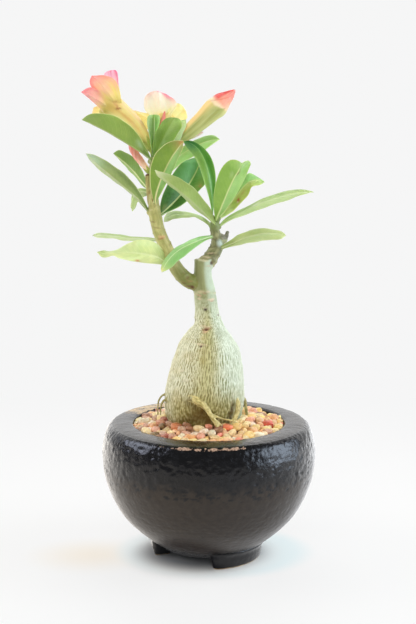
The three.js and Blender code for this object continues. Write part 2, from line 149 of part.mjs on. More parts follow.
// Corolla lobes of the two open flowers, set out like leaves.
const LOBES = {
  flower_left: [
    { m: [[-69.5, 10, 315.8], [-72, 7.1, 318.1], [-74.7, 5.2, 320.1], [-77.6, 4, 321.8], [-80.6, 2.6, 323.4], [-83.7, 1.6, 324.8], [-87, 1, 326]],
      a: [[-66.7, 10, 320.2], [-70, 11.3, 323], [-73.4, 11.2, 325.3], [-76.8, 10, 327.5], [-80.4, 8.6, 329.4], [-84.2, 7.6, 328.6], [-87, 1, 326]],
      b: [[-72.1, 11.3, 311.8], [-74.7, 12.1, 314.4], [-77.4, 13, 316.9], [-80, 13, 319.4], [-82.6, 11.6, 321.8], [-85.3, 10.6, 324], [-87, 1, 326]] },
    { m: [[-64.9, 9, 319.9], [-66.8, 5.9, 323.1], [-69, 4.5, 326.2], [-71.5, 4, 329.1], [-74.3, 4.6, 331.9], [-77.2, 5.3, 334.6], [-80.2, 6, 337.2]],
      a: [[-69.2, 11.1, 318.2], [-71.9, 10.3, 321.3], [-74.9, 11.1, 324.2], [-78, 11.5, 326.9], [-81.2, 12.1, 329.8], [-82.2, 12.8, 333.7], [-80.2, 6, 337.2]],
      b: [[-60.2, 10.1, 319.9], [-60.6, 7.4, 325.1], [-62, 7.1, 330.3], [-64.8, 8.9, 334.9], [-70, 12.9, 337.5], [-75.6, 14.2, 337.9], [-80.2, 6, 337.2]] },
    { m: [[-65.6, 22, 319.2], [-66.3, 24.1, 323], [-66.9, 26, 326.8], [-67.4, 27.6, 330.7], [-68, 29, 334.5], [-68.6, 30.1, 338.3], [-69.2, 31, 342.1]],
      a: [[-69.6, 19.5, 318.4], [-70.9, 21.1, 322.7], [-72.1, 23, 326.9], [-73.1, 24.6, 331.3], [-73.4, 26, 335.8], [-72.9, 27.1, 340], [-69.2, 31, 342.1]],
      b: [[-61.2, 19.5, 319.8], [-61.7, 21.1, 324.1], [-62.3, 23, 328.5], [-63, 24.6, 332.8], [-63.5, 26, 337.2], [-64.7, 27.1, 341.5], [-69.2, 31, 342.1]] },
    { m: [[-71.8, 20, 314.3], [-73.8, 22.6, 313.9], [-75.7, 25, 313.4], [-77.8, 27.1, 312.9], [-79.6, 29, 312.3], [-81.1, 30.6, 311.2], [-82.5, 32, 309.7]],
      a: [[-69.9, 22.8, 317.8], [-73.1, 25.6, 317.7], [-76.3, 28, 317.5], [-79.4, 30.1, 317.2], [-82, 32, 315.6], [-82.5, 33.6, 313.1], [-82.5, 32, 309.7]],
      b: [[-71.6, 17.3, 310.2], [-73.5, 19.6, 309.4], [-75.3, 22, 308.6], [-77.2, 24.1, 307.6], [-79, 26, 307.2], [-80.7, 27.6, 307.9], [-82.5, 32, 309.7]] },
    { m: [[-69.3, 24, 318.2], [-71.5, 28.3, 320.3], [-73.6, 32, 322.4], [-75.8, 35.3, 324.5], [-77.8, 38, 326.6], [-79.9, 40.2, 328.6], [-82.1, 42, 330.6]],
      a: [[-65, 23.1, 320.6], [-66.6, 25.3, 324.1], [-68.9, 29, 327.2], [-71.8, 32.3, 330.1], [-75.2, 35, 332.1], [-78.9, 37.2, 333.2], [-82.1, 42, 330.6]],
      b: [[-72.7, 22.5, 315.1], [-75.5, 24.1, 317.1], [-78.3, 26, 319.3], [-81.5, 29.3, 321.4], [-83.2, 32, 324.3], [-83.7, 34.2, 327.6], [-82.1, 42, 330.6]] },
  ],
  flower_centre: [
    { m: [[-31.8, 14, 308.8], [-32.6, 15.5, 311.9], [-33.3, 17, 315], [-34, 18.7, 318.2], [-34.6, 20, 321.3], [-35.1, 20.7, 324.5], [-35.5, 21, 327.7]],
      a: [[-36.5, 16.9, 308.1], [-40.1, 15.5, 311.2], [-43.5, 17, 314.9], [-45.1, 20.2, 319.2], [-44.5, 26.8, 324.1], [-40.8, 29.5, 327.2], [-35.5, 21, 327.7]],
      b: [[-26.3, 14, 310.8], [-24.1, 15.5, 314.4], [-22.3, 17, 318.2], [-24.1, 22.1, 321.9], [-28.1, 29.5, 324.4], [-31.9, 30.5, 326.4], [-35.5, 21, 327.7]] },
    { m: [[-27, 15, 306.7], [-25.4, 17.1, 308.5], [-23.8, 19, 310.3], [-22.2, 20.6, 312.1], [-20.4, 22, 313.8], [-18.5, 23.1, 315.3], [-16.4, 24, 316.6]],
      a: [[-27.7, 17.4, 311.5], [-26.7, 21.8, 314.3], [-25.3, 26.1, 316.7], [-23.5, 29.3, 319.2], [-21.1, 31, 320.2], [-18.5, 32.1, 319], [-16.4, 24, 316.6]],
      b: [[-27.1, 17.5, 301.9], [-23.8, 21.9, 303.2], [-20.6, 25.9, 304.7], [-17.7, 29.2, 306.7], [-15.7, 32.1, 309.8], [-15.5, 33, 313.4], [-16.4, 24, 316.6]] },
    { m: [[-35.4, 16, 304.7], [-39.2, 18.1, 306.7], [-42.9, 19.8, 308.8], [-46.7, 21, 310.9], [-50.5, 21.8, 312.8], [-54.2, 22, 314.8], [-57.9, 22, 316.8]],
      a: [[-34, 16.8, 309.8], [-38.2, 23.8, 311.4], [-42.3, 25.8, 312.2], [-46.5, 27, 312.8], [-50.6, 27.8, 313.9], [-54.5, 28, 315.3], [-57.9, 22, 316.8]],
      b: [[-36.9, 18, 299.8], [-41.9, 21.2, 300.5], [-46.3, 25.8, 302.3], [-50, 27, 305.5], [-53.5, 27.8, 308.9], [-56.2, 28, 312.7], [-57.9, 22, 316.8]] },
    { m: [[-29.3, 21, 304.7], [-28.2, 25, 303.5], [-27.2, 29, 302.4], [-26.1, 33.1, 301.2], [-25, 37, 300], [-24, 40.6, 298.7], [-22.9, 44, 297.4]],
      a: [[-25.9, 24, 307.5], [-23.4, 28, 306.9], [-21.2, 32, 305.8], [-19.2, 36.1, 303.9], [-19.5, 40, 301.3], [-20.6, 43.6, 299], [-22.9, 44, 297.4]],
      b: [[-32.9, 24, 303.3], [-32.6, 28, 300.7], [-31.8, 32, 298.1], [-30.2, 36.1, 296.1], [-27.7, 40, 295], [-25.3, 43.6, 295.4], [-22.9, 44, 297.4]] },
    { m: [[-32.8, 21, 304], [-34.1, 25.1, 303.1], [-35.3, 29, 302.3], [-36.6, 32.6, 301.4], [-37.8, 36, 300.4], [-38.9, 39.1, 299.3], [-39.8, 42, 298.1]],
      a: [[-30.1, 24, 301.9], [-30.8, 28.1, 299.7], [-31.9, 32, 297.6], [-33.7, 35.6, 296], [-36.1, 39, 295.7], [-38.3, 42.1, 296], [-39.8, 42, 298.1]],
      b: [[-35.7, 24, 306.5], [-38.5, 28.1, 306.4], [-41.1, 32, 305.9], [-43, 35.6, 304.1], [-43, 39, 301.5], [-42.3, 42.1, 299.5], [-39.8, 42, 298.1]] },
  ],
};
// Flower stalks, [x, y, z, radius], shoot to calyx.
const STALKS = {
  flower_left: [[-38.82, 3.79, 282.5, 1.2], [-39.11, 4.52, 283.98, 1.25], [-39.47, 5.2, 285.8, 1.5]],
  flower_centre: [[-36.9, 4.08, 282.04, 1.2], [-36.34, 6.13, 283.9, 1.25], [-35.86, 7.8, 286.17, 1.5]],
  bud_right: [[-35.9, 3.58, 281.82, 1.2], [-34.03, 5.53, 282.45, 1.2], [-32.39, 7, 283.52, 1.4]],
  bud_left_small: [[-39.45, 3.74, 269.48, 0.9], [-40.16, 5.41, 270.45, 1]],
  bud_right_small: [[-36.42, 3.81, 282.3, 0.9], [-32.35, 10.05, 286.14, 0.9], [-28.16, 15.8, 289.23, 1]],
  bud_centre_small: [[-34.92, 1.53, 281.09, 0.8], [-35.26, 2.71, 283.84, 0.85]],
};

// ------------------------------------------------------------------- helpers
// A closed solid from a closed geometry.
function solid(geometry) {
  const g = geometry.clone();
  g.deleteAttribute('normal');
  g.deleteAttribute('uv');
  const m = mergeVertices(g, 1e-4);
  const triVerts = Uint32Array.from(m.index.array);
  const vertProperties = Float32Array.from(m.attributes.position.array);
  return new wasm.Manifold(new wasm.Mesh({ numProp: 3, vertProperties, triVerts }));
}

// The biggest body of a solid, so that a trim never leaves a loose sliver.
function main(s) {
  const parts = s.decompose();
  parts.sort((p, q) => volume(q) - volume(p));
  return parts[0];
}
function volume(s) {
  return s.volume();
}

function geometryOf(s) {
  const m = s.getMesh();
  const g = new THREE.BufferGeometry();
  g.setAttribute('position', new THREE.BufferAttribute(Float32Array.from(m.vertProperties), 3));
  g.setIndex(new THREE.BufferAttribute(Uint32Array.from(m.triVerts), 1));
  g.computeVertexNormals();
  return g;
}

const V = (p) => new THREE.Vector3(p[0], p[1], p[2]);

// A round, tapered limb along a centre line of [x, y, z, radius] stations.
// `grow` widens it, and `flat` leaves its far end cut square.
function limb(stations, sides, rings, { grow = 0, flat = false } = {}) {
  const line = new THREE.CatmullRomCurve3(stations.map(V), false, 'catmullrom', 0.5);
  const radius = new THREE.CatmullRomCurve3(stations.map((p, i) => new THREE.Vector3(i, p[3], 0)), false, 'catmullrom', 0.5);
  const g = new THREE.CylinderGeometry(1, 1, 1, sides, rings - 1);
  const frames = [];
  let normal = new THREE.Vector3(0, 1, 0);
  for (let i = 0; i < rings; i += 1) {
    const t = i / (rings - 1);
    const tangent = line.getTangent(t);
    normal = normal.clone().addScaledVector(tangent, -normal.dot(tangent)).normalize();
    frames.push({ p: line.getPoint(t), r: radius.getPoint(t).y + grow, tangent, normal, side: tangent.clone().cross(normal) });
  }
  if (grow) {
    frames[0].p.addScaledVector(frames[0].tangent, -grow);
    frames[rings - 1].p.addScaledVector(frames[rings - 1].tangent, grow);
  }
  const a = g.attributes.position;
  for (let i = 0; i < a.count; i += 1) {
    const v = new THREE.Vector3().fromBufferAttribute(a, i);
    const ring = Math.round((0.5 - v.y) * -(rings - 1) + (rings - 1));
    const k = rings - 1 - Math.round((0.5 - v.y) * (rings - 1));
    const f = frames[Math.max(0, Math.min(rings - 1, k))];
    const rho = Math.hypot(v.x, v.z);
    const c = rho > 0 ? v.x / rho : 0;
    const s = rho > 0 ? v.z / rho : 0;
    const bulge = rho > 0 || (flat && k === rings - 1) || ring < -1 ? 0 : 0.35 * f.r;
    const q = f.p.clone()
      .addScaledVector(f.side, s * f.r * Math.min(1, rho))
      .addScaledVector(f.normal, c * f.r * Math.min(1, rho));
    if (bulge) q.addScaledVector(f.tangent, k === 0 ? -bulge : bulge);
    a.setXYZ(i, q.x, q.y, q.z);
  }
  const out = solid(g);
  return out.volume() < 0 ? solid(flip(g)) : out;
}

function flip(g) {
  const h = g.clone();
  const ix = h.index.array;
  for (let i = 0; i < ix.length; i += 3) [ix[i], ix[i + 1]] = [ix[i + 1], ix[i]];
  return h;
}

// A thin blade through a midrib and two edges; `grow` fattens it all round.
function blade(def, thickness, along, { grow = 0, tip = 0.35, from = 0 } = {}) {
  const m = new THREE.CatmullRomCurve3(def.m.map(V));
  const e = [new THREE.CatmullRomCurve3(def.a.map(V)), new THREE.CatmullRomCurve3(def.b.map(V))];
  const g = new THREE.BoxGeometry(1, 1, 1, 2, along, 1);
  const a = g.attributes.position;
  const h = thickness / 2 + grow;
  const stations = [];
  for (let k = 0; k <= along; k += 1) {
    const t = from + (1 - from) * (k / along);
    const M = m.getPoint(t);
    const A = e[0].getPoint(t);
    const B = e[1].getPoint(t);
    const tangent = m.getTangent(t);
    // at the very tip the two edges meet: use the directions just before it
    const q = Math.min(t, 0.96);
    const toA = e[0].getPoint(q).sub(m.getPoint(q));
    const toB = e[1].getPoint(q).sub(m.getPoint(q));
    const outA = toA.addScaledVector(tangent, -toA.dot(tangent)).normalize();
    const outB = toB.addScaledVector(tangent, -toB.dot(tangent)).normalize();
    const upA = outA.clone().cross(tangent).normalize();
    const upB = tangent.clone().cross(outB).normalize();
    const upM = upA.clone().add(upB).normalize();
    const spread = Math.max(0.55, upM.dot(upA));
    stations.push({ M, A, B, tangent, outA, outB, upA, upB, upM, spread });
  }
  for (let i = 0; i < a.count; i += 1) {
    const v = new THREE.Vector3().fromBufferAttribute(a, i);
    const s = stations[Math.round((v.y + 0.5) * along)];
    const w = v.z > 0 ? 1 : -1;
    let p;
    if (v.x < -0.25) p = s.A.clone().addScaledVector(s.outA, tip + grow).addScaledVector(s.upA, w * h);
    else if (v.x > 0.25) p = s.B.clone().addScaledVector(s.outB, tip + grow).addScaledVector(s.upB, w * h);
    else p = s.M.clone().addScaledVector(s.upM, (w * h) / s.spread);
    if (v.y > 0.49) p.addScaledVector(s.tangent, grow);
    if (v.y < -0.49) p.addScaledVector(s.tangent, -grow);
    a.setXYZ(i, p.x, p.y, p.z);
  }
  let s = solid(g);
  if (s.volume() < 0) s = solid(flip(g));
  return s;
}

const group = new THREE.Group();
function add(name, s, color, roughness) {
  const mesh = new THREE.Mesh(geometryOf(s), new THREE.MeshStandardMaterial({ color, roughness, metalness: 0 }));
  mesh.name = name;
  group.add(mesh);
  return mesh;
}

// ----------------------------------------------------------------------- pot
// One fired piece: turned bowl with an inward rim, drain hole and three feet.
const rimTop = [[DRAIN_R, 7.6], ...POT_OUT, ...POT_IN];
const bowlProfile = [...rimTop, [DRAIN_R, 7.6]].map((p) => new THREE.Vector2(p[0], p[1]));
let pot = solid(new THREE.LatheGeometry(bowlProfile, POT_SIDES).rotateX(Math.PI / 2));
if (pot.volume() < 0) pot = solid(flip(new THREE.LatheGeometry(bowlProfile, POT_SIDES).rotateX(Math.PI / 2)));
for (const [from, to] of FEET) {
  // azimuth is counted from -Y, so the drawing angle is azimuth - 90 degrees
  const a0 = THREE.MathUtils.degToRad(from - 90);
  const a1 = THREE.MathUtils.degToRad(to - 90);
  const shape = new THREE.Shape();
  shape.absarc(0, 0, FOOT_OUT, a0, a1, false);
  shape.absarc(0, 0, FOOT_IN, a1, a0, true);
  const foot = new THREE.ExtrudeGeometry(shape, { depth: FOOT_TOP, steps: 1, bevelEnabled: false, curveSegments: 7 });
  const a = foot.attributes.position;
  for (let i = 0; i < a.count; i += 1) {
    if (a.getZ(i) > 1) { // the foot narrows a little where it meets the bowl
      const r = Math.hypot(a.getX(i), a.getY(i));
      const k = (r > 33 ? r - 1.6 : r + 0.8) / r;
      a.setXYZ(i, a.getX(i) * k, a.getY(i) * k, a.getZ(i));
    }
  }
  pot = pot.add(solid(foot));
}
pot = main(pot).setTolerance(TIDY);

// --------------------------------------------------------------------- plant
// Caudex, cut trunk, branches, stubs and surface roots grew as one piece.
function plantSolid(grow) {
  let s = limb(CAUDEX, 24, 18, { grow, flat: true });
  for (const [name, line] of Object.entries(BRANCHES)) {
    const big = name.startsWith('branch');
    s = s.add(limb(line, big ? 10 : 6, big ? 12 : 4, { grow, flat: !big }));
  }
  for (const line of Object.values(ROOTS)) s = s.add(limb(line, 6, 6, { grow }));
  return s;
}
const plant = main(plantSolid(0)).setTolerance(TIDY);
const plantClear = plantSolid(GAP);

// ------------------------------------------------------------ soil and gravel
const soilIn = [...POT_IN].reverse().filter((p) => p[1] < SOIL_TOP - 0.5);
const soilProfile = [[0, 16.3], ...soilIn.map((p) => [p[0] - GAP * 1.3, p[1] + GAP]), [61.9, SOIL_TOP], [0, SOIL_TOP]];
soilProfile[1][0] = DRAIN_R;
soilProfile[1][1] = 16.3;
let soil = solid(new THREE.LatheGeometry(soilProfile.map((p) => new THREE.Vector2(...p)), POT_SIDES).rotateX(Math.PI / 2));
if (soil.volume() < 0) soil = solid(flip(new THREE.LatheGeometry(soilProfile.map((p) => new THREE.Vector2(...p)), POT_SIDES).rotateX(Math.PI / 2)));
soil = main(soil.subtract(plantClear)).setTolerance(TIDY);

// A bed of small stones, as one lumpy layer.
const bedGeometry = (() => {
  const top = [];
  for (let r = BED_R; r > 0.5; r -= 4.4) {
    const k = THREE.MathUtils.smoothstep(50 - r, 0, 24);
    top.push([r, BED_RIM + (BED_MOUND - BED_RIM) * k]);
  }
  const profile = [[0, SOIL_TOP + GAP], [61.4, SOIL_TOP + GAP], [57.3, 90.3], [BED_R + 0.5, 93.6], ...top, [0, BED_MOUND]];
  const g = new THREE.LatheGeometry(profile.map((p) => new THREE.Vector2(...p)), POT_SIDES).rotateX(Math.PI / 2);
  const a = g.attributes.position;
  for (let i = 0; i < a.count; i += 1) {
    const x = a.getX(i);
    const y = a.getY(i);
    const r = Math.hypot(x, y);
    if (a.getZ(i) > 94 && r < BED_R - 2 && r > 1) {
      const bump = 0.55 * Math.sin(x * 0.93 + 1.3) * Math.cos(y * 0.81 - 0.4) + 0.35 * Math.sin(x * 0.41 - y * 0.57);
      a.setZ(i, a.getZ(i) + bump);
    }
  }
  return g;
})();
let gravel = solid(bedGeometry);
if (gravel.volume() < 0) gravel = solid(flip(bedGeometry));
gravel = main(gravel.subtract(plantClear)).setTolerance(TIDY);

// ------------------------------------------------------------------- flowers
// An open corolla is a thin-walled funnel with five lobes round its mouth.
function corolla(name, grow) {
  const tube = TUBES[name];
  let s = limb(tube, 14, 8, { grow, flat: true });
  if (!grow) {
    const inner = tube.map((p, i) => [p[0], p[1], p[2], Math.max(0.6, p[3] - PETAL_T * 1.1)]);
    inner.shift();
    const n = inner.length;
    const end = V(inner[n - 1]).sub(V(inner[n - 2]));
    const out = V(inner[n - 1]).addScaledVector(end, 0.35);
    inner.push([out.x, out.y, out.z, inner[n - 1][3] + 0.5]);
    s = s.subtract(limb(inner, 14, 8, { flat: true }));
  }
  for (const lobe of LOBES[name]) s = s.add(blade(lobe, PETAL_T, 5, { grow, tip: 0.2 }));
  return s;
}
function bud(name, grow) {
  return limb(TUBES[name], name === 'bud_right' ? 12 : 8, name === 'bud_right' ? 12 : 8, { grow });
}

// Stalk, receptacle and five narrow sepals that hug the base of a tube.
function calyx(name, grow) {
  const stalk = STALKS[name];
  const tube = TUBES[name];
  const small = name.includes('small');
  const k = small ? 0.62 : 1;
  let s = limb(stalk, 8, 4, { grow });
  const base = V(tube[0]);
  const axis = V(tube[1]).sub(base).normalize();
  const r = tube[0][3];
  const seat = base.clone().addScaledVector(axis, -0.5 - 0.35 * r);
  const low = seat.clone().addScaledVector(axis, -1.8 * k);
  const collar = base.clone().addScaledVector(axis, 0.8);
  const cup = [[...low.toArray(), stalk[stalk.length - 1][3] * 0.9], [...seat.toArray(), r + 0.7 * k], [...collar.toArray(), r + 0.5 + 0.6 * k]];
  s = s.add(limb(cup, 10, 4, { grow, flat: true }));
  const side = new THREE.Vector3(0, 0, 1).cross(axis).normalize();
  const up = axis.clone().cross(side);
  for (let i = 0; i < 5; i += 1) {
    const t = (i / 5) * Math.PI * 2 + 0.3;
    const dir = side.clone().multiplyScalar(Math.cos(t)).addScaledVector(up, Math.sin(t));
    const tan = axis.clone().cross(dir);
    const line = [];
    for (let j = 0; j < 5; j += 1) {
      const d = -0.2 + j * 2.1 * k;
      line.push(base.clone().addScaledVector(axis, d).addScaledVector(dir, r + 0.5 + 0.45 * k + j * 0.5 * k + (j === 4 ? 0.6 * k : 0)));
    }
    const w = [1.1, 1.3, 1.1, 0.8, 0.35].map((q) => q * k);
    const def = {
      m: line.map((p) => p.toArray()),
      a: line.map((p, j) => p.clone().addScaledVector(tan, -w[j]).toArray()),
      b: line.map((p, j) => p.clone().addScaledVector(tan, w[j]).toArray()),
    };
    s = s.add(blade(def, 0.5, 3, { grow, tip: 0 }));
  }
  return s;
}

// ------------------------------------------------------------------ assembly
// Every soft piece is trimmed by what was placed before it, with a small gap.
const placed = [];
function box(s) {
  const b = s.boundingBox();
  return new THREE.Box3(new THREE.Vector3(...b.min), new THREE.Vector3(...b.max));
}
function place(name, make, color, roughness) {
  let s = make(0);
  const before = s.volume();
  const here = box(s);
  for (const other of [{ clear: plantClear, box: box(plantClear) }, ...placed]) {
    if (here.intersectsBox(other.box) && s.intersect(other.clear).volume() > 1e-6) s = s.subtract(other.clear);
  }
  if (s.numTri() > 0 && s.volume() < before - 1e-6) s = main(s).setTolerance(TIDY);
  const clear = make(GAP * 1.4);
  placed.push({ name, clear, box: box(clear) });
  const mesh = add(name, s, color, roughness);
  mesh.userData.kept = s.volume() / before;
}

add('pot', pot, 0x1d1b1c, 0.3);
add('potting_soil', soil, 0x3b2a1e, 0.95);
add('gravel_top_dressing', gravel, 0xd9a683, 0.8);
add('caudex_trunk_and_branches', plant, 0x9aa077, 0.75);

const LEAF_COLOURS = {
  leaf_left_01: 0x86a454,
  leaf_left_02: 0x97a878,
  leaf_left_03: 0x86a454,
  leaf_left_04: 0xc0d09a,
  leaf_left_05: 0xc0d09a,
  leaf_left_06: 0xd8e2a0,
  leaf_left_07: 0x7f9b42,
  leaf_left_08: 0x86a454,
  leaf_left_09: 0xa8d690,
  leaf_left_10: 0xa8d690,
  leaf_left_11: 0x94c26c,
  leaf_left_12: 0x4d7a38,
  leaf_right_01: 0x97a878,
  leaf_right_02: 0x5b9146,
  leaf_right_03: 0xb9c684,
  leaf_right_04: 0x94c26c,
  leaf_right_05: 0xa5a860,
  leaf_right_06: 0xc4d892,
  leaf_right_07: 0xb9c684,
  leaf_right_08: 0x98ca7e,
};
for (const name of ['leaf_left_01', 'leaf_left_02', 'leaf_left_03', 'leaf_left_04', 'leaf_left_05', 'leaf_left_06', 'leaf_left_07', 'leaf_left_08', 'leaf_left_09', 'leaf_left_10', 'leaf_left_11', 'leaf_left_12', 'leaf_right_01', 'leaf_right_02', 'leaf_right_03', 'leaf_right_04', 'leaf_right_05', 'leaf_right_06', 'leaf_right_07', 'leaf_right_08']) {
  place(name, (grow) => blade(LEAVES[name], LEAF_T, 8, { grow }), LEAF_COLOURS[name], 0.5);
}
place('flower_left_corolla', (grow) => corolla('flower_left', grow), 0xf7a98c, 0.6);
place('bud_right_corolla', (grow) => bud('bud_right', grow), 0xd8b36a, 0.6);
place('bud_centre_small', (grow) => bud('bud_centre_small', grow), 0xe8766c, 0.6);
place('flower_centre_corolla', (grow) => corolla('flower_centre', grow), 0xf6dca8, 0.6);
place('bud_left_small', (grow) => bud('bud_left_small', grow), 0xf5a08e, 0.6);
place('bud_right_small', (grow) => bud('bud_right_small', grow), 0xf3d3b0, 0.6);
place('flower_left_calyx', (grow) => calyx('flower_left', grow), 0x8fa04f, 0.6);
place('flower_centre_calyx', (grow) => calyx('flower_centre', grow), 0x8fa04f, 0.6);
place('bud_right_calyx', (grow) => calyx('bud_right', grow), 0x8fa04f, 0.6);
place('bud_left_small_calyx', (grow) => calyx('bud_left_small', grow), 0x8fa04f, 0.6);
place('bud_centre_small_calyx', (grow) => calyx('bud_centre_small', grow), 0x8fa04f, 0.6);
place('bud_right_small_calyx', (grow) => calyx('bud_right_small', grow), 0x8fa04f, 0.6);

// ---------------------------------------------------------------- row origin
const whole = new THREE.Box3().setFromObject(group, true);
group.position.set(-(whole.min.x + whole.max.x) / 2, -(whole.min.y + whole.max.y) / 2, -whole.min.z);

export default group;
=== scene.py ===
"""The looks of a potted desert rose: glazed bowl, gravel, caudex with its branches, leaves, flowers and buds.

All shapes are worked out in millimetres with the bowl's turning axis at x = y = 0 and the feet on z = 0,
then moved to the row frame, in metres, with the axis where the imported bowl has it.
"""
import math
import random

import bpy
import numpy as np
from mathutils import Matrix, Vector
from mathutils.kdtree import KDTree


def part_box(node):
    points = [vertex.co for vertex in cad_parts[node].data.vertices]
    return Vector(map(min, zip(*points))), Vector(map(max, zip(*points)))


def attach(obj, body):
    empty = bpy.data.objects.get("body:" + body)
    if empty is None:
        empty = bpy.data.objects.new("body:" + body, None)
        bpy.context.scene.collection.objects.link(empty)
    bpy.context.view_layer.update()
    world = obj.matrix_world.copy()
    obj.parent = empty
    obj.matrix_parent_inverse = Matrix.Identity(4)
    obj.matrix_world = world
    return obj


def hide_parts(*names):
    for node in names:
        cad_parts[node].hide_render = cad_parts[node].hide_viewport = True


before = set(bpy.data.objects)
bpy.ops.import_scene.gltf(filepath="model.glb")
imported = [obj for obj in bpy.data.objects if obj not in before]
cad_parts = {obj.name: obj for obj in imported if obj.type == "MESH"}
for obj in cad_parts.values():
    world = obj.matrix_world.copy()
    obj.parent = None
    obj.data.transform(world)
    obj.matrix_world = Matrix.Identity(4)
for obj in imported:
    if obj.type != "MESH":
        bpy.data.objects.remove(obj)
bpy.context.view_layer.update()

_lo, _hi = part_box("pot")
AX, AY = (_lo[0] + _hi[0]) / 2, (_lo[1] + _hi[1]) / 2
SC = bpy.context.scene

